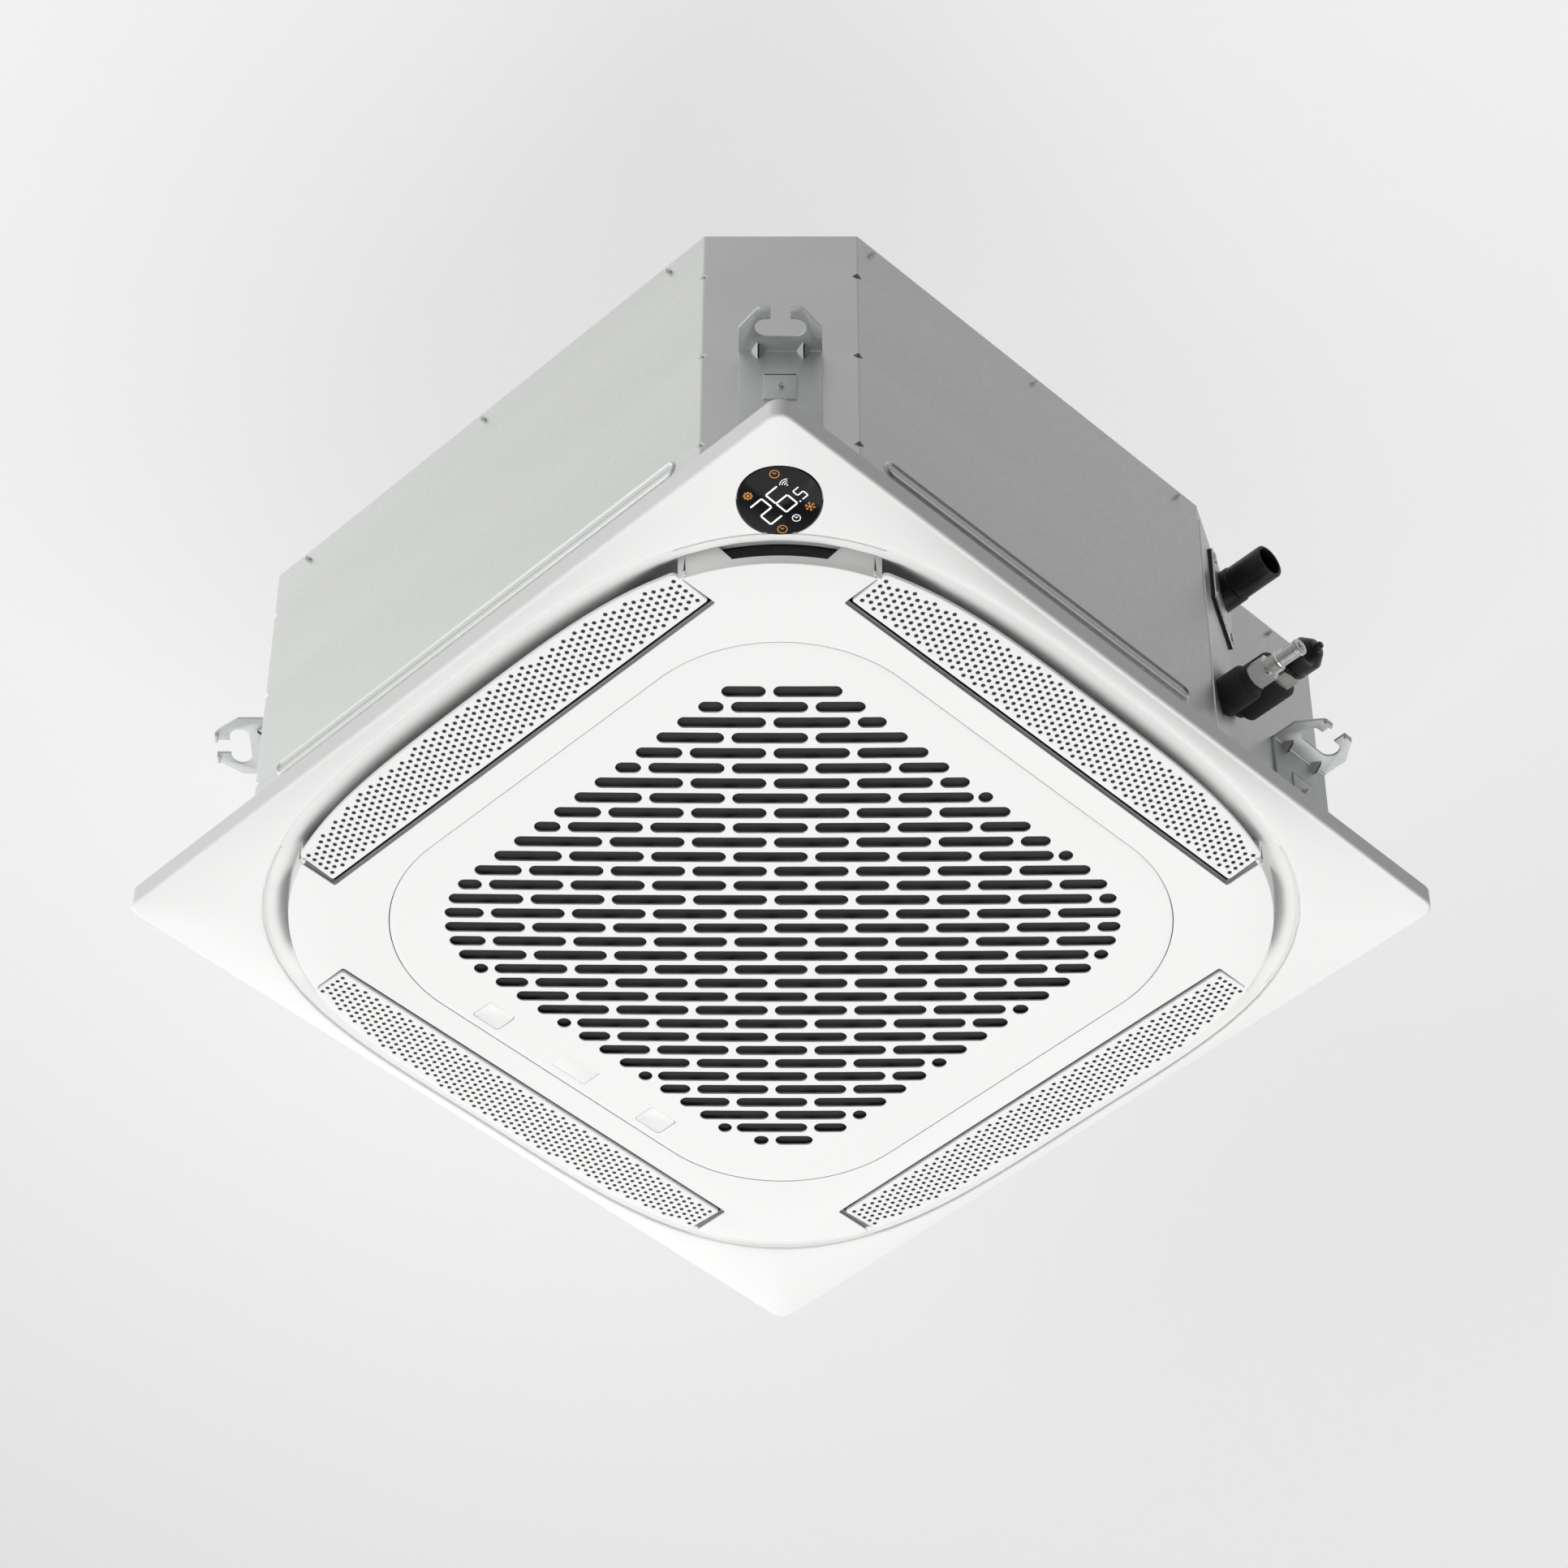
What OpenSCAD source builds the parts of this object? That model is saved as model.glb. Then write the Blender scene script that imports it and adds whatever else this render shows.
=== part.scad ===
// Ceiling cassette air conditioner, four outlets, hung on four rods above the ceiling.
// The origin is the plan centre at the ceiling plane, with +Z up into the ceiling void.
// The front is -Y, the right side is +X and the pipes leave at the +X +Y corner.

/* [Casing] */
// Width of the casing across its flat sides
casing_w = 570; // [560:1:580]
// Height of the casing above the ceiling plane
casing_h = 260; // [250:1:290]
// Length taken off each side at a chamfered corner
corner_cut = 71; // [64:1:78]
// Thickness of the galvanised sheet
sheet_t = 1; // [0.8:0.1:1.4]
// Thickness of the foam lining
foam_t = 9; // [7:0.5:10]
// Gap between two lining boards where they meet
foam_seam = 0.3; // [0.1:0.1:0.8]
// Depth of the top plate's folded flange
flange_h = 16; // [12:1:20]
// How far the pipe corner steps in from the right side
step_depth = 40; // [34:1:44]
// Distance from the centre to the start of the slanted pipe wall
slant_start = 120.5; // [116:0.5:124]
// Distance from the centre to the end of the slanted pipe wall
slant_end = 196; // [192:1:200]
// Height of the pressed bead on each side
bead_w = 14; // [10:1:18]
// Height of the bead's middle above the ceiling plane
bead_z = 50; // [42:1:60]

/* [Hangers] */
// Height of the suspension brackets above the ceiling plane
hanger_z = 141; // [130:1:160]
// Width of a suspension bracket
hanger_w = 53.5; // [48:0.5:58]
// Reach of a bracket out from the casing
hanger_reach = 38; // [34:1:42]
// Thickness of the bracket's sheet
hanger_t = 2; // [1.5:0.5:3]
// Width of the rod slot across the bracket
rod_slot_l = 33; // [29:1:36]
// Width of the mouth that lets the rod in
rod_mouth = 12.5; // [10:0.5:13.5]

/* [Bezel] */
// Width of the square bezel
panel_w = 620; // [612:1:636]
// Corner radius of the bezel seen from below
panel_corner_r = 10; // [6:1:16]
// Height of the bezel's rim
rim_h = 15; // [12:1:16]
// Wall thickness of the moulded panel
panel_t = 2.5; // [2:0.5:3]
// Distance from the rim to the lip at the middle of a side
lip_inset = 12; // [10:1:14]
// Roundness of the lip's outline, where 2 is a circle
lip_power = 3.46; // [3.3:0.02:3.7]
// Drop of the lip below the rim at the middle of a side
lip_drop_side = 3.6; // [2:0.2:5]
// Drop of the lip below the rim at a corner
lip_drop_corner = 8.5; // [6:0.5:10]
// Width of the sloping duct wall above the lip
duct_wall_run = 22; // [18:1:24]

/* [Face] */
// Depth of the inner face below the ceiling plane
face_drop = 31.4; // [29:0.2:33]
// Distance from the lip to the face's edge at the middle of a side
face_inset = 11.5; // [10:0.5:13]
// Roundness of the face's outline, where 2 is a circle
face_power = 3.28; // [3.1:0.02:3.4]
// Distance from the centre to the inner edge of an outlet
outlet_inner = 236.5; // [233:0.5:240]
// Length of an outlet
outlet_len = 360; // [350:1:366]
// Width of a corner slot on its lip side
corner_slot_w = 78; // [60:1:84]

/* [Louvers] */
// Gap between a louver and the outlet's inner edge
louver_gap = 4; // [3:0.5:5]
// Thickness of a louver
louver_t = 3; // [2:0.5:4]
// Distance from the louver's inner edge to its pivot
louver_pivot_inset = 13; // [11:0.5:15]
// Radius of a louver's pivot pins
louver_pin_r = 2; // [1.5:0.5:2.5]

/* [Grille] */
// Width of the intake grille
grille_w = 432; // [424:1:436]
// Corner radius of the intake grille
grille_corner_r = 103; // [92:1:110]
// Thickness of the grille
grille_t = 2.5; // [2:0.5:3]
// How much the grille's middle bulges
grille_crown = 2.2; // [1:0.2:2.6]
// Seam between the grille and the face
seam = 0.6; // [0.4:0.1:1]
// Length of a full slot
slot_l = 49.1; // [44:0.5:50]
// Width of a slot
slot_w = 9.6; // [8:0.2:11]
// Distance between slots along a row
slot_pitch = 53.77; // [53:0.5:60]
// Distance between rows of slots
row_pitch = 13.58; // [12.5:0.1:15]
// Half width of the slotted field
field_half = 182; // [172:1:186]
// Corner radius of the slotted field
field_corner_r = 80; // [70:1:90]
// Distance of the latches from the middle of the grille's left side
latch_offset = 76; // [60:1:90]
// Length of a latch button along the grille's side
latch_l = 23; // [18:1:28]
// Width of a latch button
latch_w = 18; // [14:1:20]
// Thickness of the air filter
filter_t = 4; // [3:0.5:5]

/* [Display] */
// Diameter of the display glass
display_d = 53.5; // [44:0.5:56]
// Distance of the display from the centre along X and along Y
display_offset = 262; // [260:1:266]

/* [Pipes] */
// Outer diameter of the drain stub
drain_d = 25; // [20:1:28]
// Height of the drain stub
drain_z = 225; // [215:1:228]
// Distance of the drain stub from the centre plane
drain_y = 170; // [166:1:174]
// Outer diameter of the liquid pipe
liquid_d = 6.35; // [5:0.05:8]
// Height of the liquid pipe
liquid_z = 93; // [88:1:98]
// Distance of the liquid pipe from the centre plane
liquid_y = 145; // [142:1:148]
// Outer diameter of the liquid pipe's foam sleeve
liquid_sleeve_d = 26.4; // [20:0.2:30]
// Outer diameter of the gas pipe
gas_d = 12.7; // [9:0.1:14]
// Height of the gas pipe
gas_z = 134; // [130:1:140]
// Distance of the gas pipe from the centre plane
gas_y = 185; // [182:1:188]
// Outer diameter of the gas pipe's foam sleeve
gas_sleeve_d = 35; // [30:0.5:38]

/* [Coil and fan] */
// Half width of the evaporator ring, outside
coil_half = 228; // [224:1:230]
// Depth of the evaporator's fins
coil_t = 27; // [22:1:28]
// Diameter of the fan wheel
wheel_d = 300; // [280:2:310]
// Height of the fan wheel's blade passage
wheel_h = 120; // [100:1:125]
// Number of fan blades
blade_count = 7; // [5:1:9]
// Diameter of the motor shaft
shaft_d = 10; // [8:1:12]
// Radius of the fan motor
motor_r = 55; // [48:1:58]
// Radius of the bell mouth's throat
throat_r = 112; // [100:1:116]

/* [Hidden] */
$fn = 64;

// Gap between pieces that sit on each other
gap = 0.3;
// Running fit of a pin in its bore, on the radius
fit = 0.05;
// How far a cut runs past the face it opens
overrun = 1;

// Places worked out from the casing
half = casing_w / 2;
shell_in = sheet_t + gap;
liner_in = shell_in + foam_t;
stepped_half = half - step_depth;
slant_angle = atan(step_depth / (slant_end - slant_start));
slant_len = norm([step_depth, slant_end - slant_start]);
slant_shift_share = (1 - cos(slant_angle)) / sin(slant_angle);
plate_z = casing_h - sheet_t;
chamfer_mid = half - corner_cut / 2;

// Beads: end margins from the casing's bends, height over the sheet
bead_h = 1.5;
bead_margin = 22;
bead_margin_slant = 24.5;

// Casing screws: head, shank, depth below the top, places as shares of the casing width
screw_head_r = 4;
screw_head_h = 1.8;
screw_shank_r = 2;
screw_shank_l = 3;
screw_drop = 9;
front_screw_shares = [-0.3175, 0, 0.3175];
right_screw_shares = [-0.353, -0.079, 0.174];
back_screw_shares = [-0.3, 0, 0.284];
left_screw_shares = [-0.28, 0, 0.28];
step_screw_share = 0.4228;

// Top plate: pressed ring and spokes that stiffen it
ring_r = 110;
ring_w = 12;
rib_h = 2;
rib_start = 125;
rib_end = 235;
rib_w = 12;

// Brackets: leg, slot, lips, gussets, tab and its screw
leg_h = 95;
slot_inset = 14.2;
slot_r = 7;
tip_half_share = 0.5;
shoulder_share = 0.56;
tip_chamfer = 2.5;
lip_h = 3;
lip_inner = 7;
lip_outer = 13.5;
gusset_y = 14.6;
gusset_w = 9.5;
gusset_l = 8;
tab_w = 21;
tab_h = 25.5;
tab_t = 1.2;
tab_top_drop = 23.5;
tab_screw_drop = 37;
right_hanger_y = 260;

// Pipe plate, drain gasket and flange on the slanted wall
window_z0 = 60;
window_margin = 15;
window_far = 4;
plate_margin = 3;
plate_z0 = 20;
plate_top_drop = 12;
gasket_start = 24.3;
gasket_w = 51;
gasket_t = 2.5;
gasket_below = 35;
gasket_above = 15;
flange_screw_inset = 5;
flange_screw_r = 2;
stub_end = 306;
stub_start = 214;
stub_wall = 2.5;
stub_collar_r = 13.4;
stub_collar_end = 276;

// Refrigerant lines: places along X of each fitting's ends
liquid_sleeve_end = 297;
liquid_step_r = 10;
liquid_step_end = 303;
liquid_nut_af = 17;
liquid_nut_end = 316;
liquid_collar_r = 6.6;
liquid_collar_end = 324;
liquid_barrel_r = 5.2;
liquid_barrel_end = 340;
liquid_tip_r = 6;
liquid_tip_end = 343;
liquid_bend_r = 16;
gas_neck_r = 11.6;
gas_sleeve_start = 258;
gas_sleeve_end = 292;
gas_nut_af = 24;
gas_nut_end = 304;
gas_cap_r = 12.3;
gas_cap_end = 320;
gas_cap_tip_r = 6.5;
gas_cap_tip_end = 327;
gas_nipple_r = 2.5;
gas_nipple_end = 331;
gas_bend_r = 20;
pipe_wall = 1;

// Evaporator: corner radii, ends, tube pitch, tubes, headers
coil_corner_r = 60;
coil_end = 110;
coil_end_plate_t = 1.2;
coil_plate_over = 3;
tube_r = 3.5;
tube_pitch = 21;
row_share = 0.25;
header_r = 7;
header_gap = 20;
header_margin = 16;
distributor_r = 6;
distributor_l = 14;

// Drain pan and what it carries
pan_z0 = 1;
pan_floor = 28;
pan_h = 46;
trough_margin = 4;
trough_wall = 6;
duct_margin = 0.8;
bell_r = 158;
bell_h = 40;
bell_t = 2;
bell_lip_h = 18;
bell_flange = 12;

// Fan wheel, motor and mounts
inlet_gap = 2;
inlet_ring_h = 14;
inlet_overlap = 6;
shroud_h = 30;
wheel_t = 2.5;
blade_start_r = 90;
blade_sweep = 38;
dish_r = 82;
dish_bottom_r = 58;
dish_h = 38;
hub_r = 16;
hub_h = 30;
hub_rise = 18;
nut_h = 7;
nut_af = 17;
shaft_below = 12;
motor_h = 64;
motor_boss_r = 20;
motor_boss_h = 3.5;
motor_ear_t = 3;
motor_ear_r = 72;
motor_ear_w = 18;
mount_r = 8.5;
bolt_r = 3;
bolt_head_af = 10;
bolt_head_h = 3;
foam_hole_r = 92;

// Drain pump, its impeller, float and hose
pump_x = 185;
pump_y = 205;
pump_r = 20;
pump_foot_h = 6;
pump_foot_r = 3;
volute_h = 26;
volute_bore_r = 16;
volute_floor = 4;
volute_bore_h = 16;
pump_motor_r = 17;
pump_motor_h = 45;
pump_inlet_r = 6;
impeller_r = 14;
impeller_h = 9;
impeller_lift = 2.5;
impeller_shaft_r = 2;
impeller_shaft_l = 26;
vane_t = 1.6;
hose_r = 8;
hose_wall = 2;
nozzle_drop = 14;
hose_low_bend = 12;
hose_high_bend = 14;
float_x = 150;
float_y = 190;
float_r = 10;
float_h = 18;
float_clear = 0.35;
stem_r = 2.5;
stem_h = 48;
stem_foot_h = 4;
stem_stop_h = 6;
stem_stop_r = 5;

// Electrical box beside the bell mouth
box_w = 300;
box_d = 58;
box_centre_y = 202;
box_top = 18;
box_bottom = -4;
box_t = 1.2;
board_w = 190;
board_d = 46;
board_t = 1.6;
board_drop = 7;
board_inset = 20;
board_post_r = 2.5;
relay_w = 14;
relay_h = 6;
terminal_w = 60;
terminal_d = 16;
terminal_h = 10;
terminal_screw_r = 2.4;
terminal_count = 6;
grommet_x = 150;
grommet_z = 120;
grommet_r = 12;
grommet_bore_r = 7;
grommet_lip = 2;

// Bezel and face
rim_edge_r = 2.5;
lip_r = 1.5;
wall_low = 4;
wall_mid = 9;
wall_mid_share = 0.55;
face_top = -2;
shoulder_start = 34.1;
slot_taper = 9.5;
slot_near = 2;
slot_far = 6;
shoulder_sink = 0.4;
shoulder_root = 3;
ledge_half = 186;
ledge_r = 80;
seal_t = 5;
panel_screw_reach = 246;
panel_screw_r = 2.5;
panel_screw_head_r = 5;
panel_screw_head_h = 2.5;
panel_screw_l = 20;

// Louvers and their motors
louver_end_gap = 2.5;
louver_inner_drop = 30.5;
louver_rise = 3;
louver_pivot_drop = 24.5;
louver_inner_r = 3;
louver_outer_r = 8;
ear_w = 3;
ear_r = 4;
motor_can_r = 9;
motor_can_l = 10;
motor_offset_x = 3.3;
motor_offset_z = 5.6;
motor_pin_l = 2;

// Grille hinge, latches, inset plate and filter
hinge_reach = 14.5;
hinge_lift = 0.4;
hinge_pin_r = 1.5;
hinge_eye_r = 2.9;
arm_gap = 0.5;
arm_clear = 1.1;
arm_t = 2.6;
arm_post_back = 2.6;
arm_post_front = 1.4;
arm_foot_l = 9;
arm_foot_t = 1.6;
rim_rebate = 1.2;
hinge_y = 92;
hinge_w = 7.5;
latch_inset = 16;
latch_seam = 0.3;
latch_flange = 2;
latch_flange_t = 1.5;
latch_h = 6;
latch_tongue_w = 10;
latch_tongue_t = 2.5;
latch_reach_gap = 2.6;
plate_w = 16;
plate_l = 30;
plate_t = 1;
plate_seam = 0.15;
filter_half = 184;
filter_r = 78;
filter_rim = 6;
filter_gap = 1.2;
filter_mesh_t = 1;
mesh_ribs = 6;
filter_rib_w = 3;
display_t = 3;
display_slope = 5.4;
display_drop = 21;
display_seam = 0.2;
display_board_t = 1.6;
display_board_gap = 0.5;

// Colours of the finishes
galvanised = [0.76, 0.79, 0.79];
white_abs = [0.95, 0.95, 0.94];
black_foam = [0.13, 0.13, 0.13];
nickel = [0.82, 0.82, 0.8];
copper = [0.72, 0.45, 0.3];
foam_grey = [0.3, 0.31, 0.32];
polystyrene = [0.93, 0.94, 0.95];

function lerp(a, b, share) = a + (b - a) * share;

// Corner points of the casing's outline, moved in by an inset.
function casing_outline(inset) =
  let (
    h = half - inset,
    cut = corner_cut - inset * (2 - sqrt(2)),
    shift = inset * slant_shift_share,
    s = stepped_half - inset
  )
  [
    [h, cut - h], [h, slant_start - shift], [s, slant_end - shift], [s, h], [cut - h, h],
    [-h, h - cut], [-h, cut - h], [cut - h, -h], [h - cut, -h]
  ];

// The point one lining seam away from a corner, on the way to the next.
function stepped_along(from, to) = from + (to - from) * foam_seam / norm(to - from);

// Distance from the centre to a superellipse at an angle.
function curve_radius(angle, half_width, power) =
  half_width / pow(pow(abs(cos(angle)), power) + pow(abs(sin(angle)), power), 1 / power);

// Distance from the centre to a rounded square at an angle.
function square_radius(angle, half_width, corner_r) =
  let (
    c = max(abs(cos(angle)), abs(sin(angle))),
    s = min(abs(cos(angle)), abs(sin(angle))),
    q = half_width - corner_r
  )
  half_width * s / c <= q
    ? half_width / c
    : q * (c + s) + sqrt(pow(q * (c + s), 2) - 2 * q * q + corner_r * corner_r);

lip_half = panel_w / 2 - lip_inset;
face_half = lip_half - face_inset;
lip_corner = curve_radius(45, lip_half, lip_power);
corner_angle = atan((panel_w / 2 - panel_corner_r) / (panel_w / 2));

function lip_radius(angle) = curve_radius(angle, lip_half, lip_power);
function face_radius(angle) = curve_radius(angle, face_half, face_power);
function lip_z(angle) =
  -rim_h - lerp(
    lip_drop_side, lip_drop_corner, (lip_radius(angle) - lip_half) / (lip_corner - lip_half)
  );

// Angles of the bezel's sections, closer together at the corners.
octant = [0, 6, 12, 18, 24, 30, 34, 38, 41, 43, corner_angle, (corner_angle + 45) / 2];
quadrant = concat(octant, [45], [for (i = [len(octant) - 1:-1:1]) 90 - octant[i]]);
stations = [for (turn = [0:90:270]) for (angle = quadrant) angle + turn];

function polar(radius, angle, z) = [radius * cos(angle), radius * sin(angle), z];

// Section of the bezel at an angle: rim, underside, lip, duct wall and back.
function bezel_section(angle) =
  let (
    out = square_radius(angle, panel_w / 2, panel_corner_r),
    lip = lip_radius(angle),
    z = lip_z(angle),
    bevel = rim_edge_r * (1 - sqrt(0.5)),
    under = out - rim_edge_r
  )
  [
    [out, 0],
    [out, rim_edge_r - rim_h],
    [out - bevel, bevel - rim_h],
    [under, -rim_h],
    [lerp(under, lip + lip_r, 1 / 3), lerp(-rim_h, z, 0.42)],
    [lerp(under, lip + lip_r, 2 / 3), lerp(-rim_h, z, 0.74)],
    [lip + lip_r, z],
    [lip, z + lip_r / 2],
    [lip - wall_low, z + wall_low],
    [lip - wall_mid, z * wall_mid_share],
    [lip - duct_wall_run, 0],
    [lip - duct_wall_run + panel_t, 0],
    [lip - wall_mid + panel_t, z * wall_mid_share + panel_t / 2],
    [lip + lip_r, z + panel_t + lip_r],
    [lerp(under, lip + lip_r, 1 / 3), lerp(-rim_h, z, 0.42) + panel_t],
    [out - panel_t, rim_edge_r + panel_t - rim_h],
    [out - panel_t, 0]
  ];

// Triangles that join section i to section k, each of n points, all round.
function band(i, k, n) = [
  for (j = [0:n - 1])
    let (m = (j + 1) % n)
    for (t = [[i * n + j, k * n + j, k * n + m], [i * n + j, k * n + m, i * n + m]]) t
];

// Section of a corner shoulder, between the face's edge and the lip.
function shoulder_section(angle) =
  let (
    lip = lip_radius(angle) - gap,
    z = lip_z(angle),
    edge = face_radius(angle),
    low = shoulder_sink - face_drop
  )
  [
    [lip - panel_t, z + panel_t],
    [lip, z + gap],
    [lip, z],
    [edge, low],
    [edge - shoulder_root, low],
    [edge - shoulder_root, panel_t - face_drop - shoulder_sink]
  ];

module prism(points, z0, z1) {
  translate([0, 0, z0]) linear_extrude(z1 - z0) polygon(points);
}

module casing_ring(outer_inset, inner_inset, z0, z1) {
  difference() {
    prism(casing_outline(outer_inset), z0, z1);
    prism(casing_outline(inner_inset), z0 - overrun, z1 + overrun);
  }
}

// The straight board on one side of the casing, between two insets and two heights.
module casing_board(side, outer_inset, inner_inset, z0, z1) {
  outer = casing_outline(outer_inset);
  inner = casing_outline(inner_inset);
  next = (side + 1) % len(outer);
  prism([
    stepped_along(outer[side], outer[next]), stepped_along(outer[next], outer[side]),
    stepped_along(inner[next], inner[side]), stepped_along(inner[side], inner[next])
  ], z0, z1);
}

// A square with round corners, centred, between two heights.
module round_square(half_width, corner_r, z0, z1) {
  q = half_width - corner_r;
  translate([0, 0, z0]) linear_extrude(z1 - z0) union() {
    square([2 * half_width, 2 * q], center = true);
    square([2 * q, 2 * half_width], center = true);
    for (x = [-q, q]) for (y = [-q, q]) translate([x, y]) circle(corner_r);
  }
}

// A block from low corner to high corner.
module block(low, high) {
  translate(low) cube(high - low);
}

// A rod along Z, X or Y between two places.
module rod_z(r, x, y, z0, z1) {
  translate([x, y, z0]) cylinder(r = r, h = z1 - z0);
}

module rod_x(r, x0, x1, y, z, sides = $fn) {
  translate([x0, y, z]) rotate([0, 90, 0]) cylinder(r = r, h = x1 - x0, $fn = sides);
}

module rod_y(r, x, y0, y1, z) {
  translate([x, y0, z]) rotate([-90, 0, 0]) cylinder(r = r, h = y1 - y0);
}

// A flat bar with round ends, centred, along X.
module stadium(length, width, height) {
  linear_extrude(height) union() {
    square([length - width, width], center = true);
    for (x = [-1, 1]) translate([x * (length - width) / 2, 0]) circle(d = width);
  }
}

module four_sides() {
  for (turn = [0:90:270]) rotate([0, 0, turn]) children();
}

// Puts children on the slanted pipe wall: X points out of it and Y runs along it.
module at_slant() {
  translate([half, slant_start, 0]) rotate([0, 0, slant_angle]) children();
}

// Everything on the casing's side of a plane that is lifted off the slanted wall.
module behind_slant(lift) {
  at_slant() block([-casing_w, -casing_w, -casing_h], [lift, casing_w, 2 * casing_h]);
}

// Puts children on a side at a share of its width: X points out of the casing.
module at_face(turn, offset, out, z) {
  rotate([0, 0, turn]) translate([out, offset, z]) children();
}

// Every casing screw's place, with X out of the casing.
module each_casing_screw() {
  z = casing_h - screw_drop;
  for (share = right_screw_shares) at_face(0, share * casing_w, half, z) children();
  for (share = back_screw_shares) at_face(90, -share * casing_w, half, z) children();
  for (share = left_screw_shares) at_face(180, share * casing_w, half, z) children();
  for (share = front_screw_shares) at_face(270, share * casing_w, half, z) children();
  at_face(0, step_screw_share * casing_w, stepped_half, z) children();
}

// Every bracket's place: X points out of the casing, with its foot on the sheet.
module at_near_corner() {
  rotate([0, 0, -45]) translate([chamfer_mid * sqrt(2), 0, hanger_z]) children();
}

module at_left_corner() {
  rotate([0, 0, -90]) at_near_corner() children();
}

module at_far_corner() {
  rotate([0, 0, 180]) at_near_corner() children();
}

module at_right_corner() {
  translate([stepped_half, right_hanger_y, hanger_z]) children();
}

module each_hanger() {
  at_near_corner() children();
  at_left_corner() children();
  at_far_corner() children();
  at_right_corner() children();
}

module screw_hole() {
  rotate([0, 90, 0]) translate([0, 0, -flange_h])
    cylinder(r = screw_shank_r + fit, h = 2 * flange_h);
}

// A pressed bead on a side, its ends at y0 and y1.
module bead(y0, y1, width, height) {
  translate([half - overrun, (y0 + y1) / 2, bead_z]) rotate([90, 0, 90])
    stadium(y1 - y0, width, height + overrun);
}

module beads(width, height) {
  straight = half - corner_cut - bead_margin;
  bead(-straight, slant_start - bead_margin_slant, width, height);
  for (turn = [90, 180, 270]) rotate([0, 0, turn]) bead(-straight, straight, width, height);
}

module top_plate() color(galvanised) {
  difference() {
    union() {
      prism(casing_outline(shell_in), plate_z, casing_h);
      casing_ring(shell_in, shell_in + sheet_t, casing_h - flange_h, plate_z + sheet_t / 2);
      translate([0, 0, casing_h]) difference() {
        cylinder(r = ring_r + ring_w / 2, h = rib_h);
        translate([0, 0, -overrun])
          cylinder(r = ring_r - ring_w / 2, h = rib_h + 2 * overrun);
      }
      for (turn = [0:90:270]) rotate([0, 0, turn]) translate(
        [(rib_start + rib_end) / 2, 0, casing_h - sheet_t / 2]
      ) stadium(rib_end - rib_start, rib_w, rib_h + sheet_t / 2);
    }
    each_casing_screw() screw_hole();
    each_motor_ear() rod_z(bolt_r + fit, 0, 0, plate_z - overrun, casing_h + overrun);
  }
}

module side_shell() color(galvanised) {
  difference() {
    union() {
      prism(casing_outline(0), gap, casing_h);
      beads(bead_w, bead_h);
    }
    prism(casing_outline(sheet_t), -overrun, casing_h + overrun);
    beads_inside();
    each_casing_screw() screw_hole();
    each_hanger() translate([0, 0, -tab_screw_drop]) screw_hole();
    at_slant() block(
      [-2 * sheet_t, window_margin, window_z0],
      [2 * sheet_t, slant_len - window_far, casing_h - window_margin]
    );
    at_grommet() rod_x(grommet_r - grommet_lip + fit, -foam_t, foam_t, 0, 0);
  }
}

// Hollow backs of the beads, one sheet inside their faces.
module beads_inside() {
  straight = half - corner_cut - bead_margin;
  width = bead_w - 2 * sheet_t;
  depth = bead_h - sheet_t;
  for (turn = [90, 180, 270]) rotate([0, 0, turn])
    translate([-sheet_t, 0, 0]) bead(-straight, straight, width, depth + sheet_t);
  translate([-sheet_t, 0, 0])
    bead(-straight, slant_start - bead_margin_slant, width, depth + sheet_t);
}

// The cable's rubber grommet sits on the back: X points out of the casing.
module at_grommet() {
  rotate([0, 0, 90]) translate([half, -grommet_x, grommet_z]) children();
}

module foam_liner() color(foam_grey) {
  top = plate_z - gap;
  tip = sheet_t + screw_shank_l;
  difference() {
    for (side = [0:len(casing_outline(0)) - 1]) {
      casing_board(side, shell_in, liner_in, gap, casing_h - flange_h - gap);
      casing_board(side, tip, liner_in, casing_h - flange_h - overrun, top);
    }
    rod_x(stub_collar_r + gap, stub_start, half, drain_y, drain_z);
    rod_x(gas_d / 2 + gap, stub_start, half, gas_y, gas_z);
    rod_x(liquid_d / 2 + gap, stub_start, half, liquid_y, liquid_z);
    at_grommet() rod_x(grommet_r + gap, -2 * foam_t, foam_t, 0, 0);
    each_hanger() translate([0, 0, -tab_screw_drop]) screw_hole();
  }
}

module foam_top() color(foam_grey) {
  top = plate_z - gap;
  difference() {
    prism(casing_outline(liner_in + foam_seam), top - foam_t, top);
    rod_z(foam_hole_r, 0, 0, top - foam_t - overrun, top + overrun);
  }
}

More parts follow.
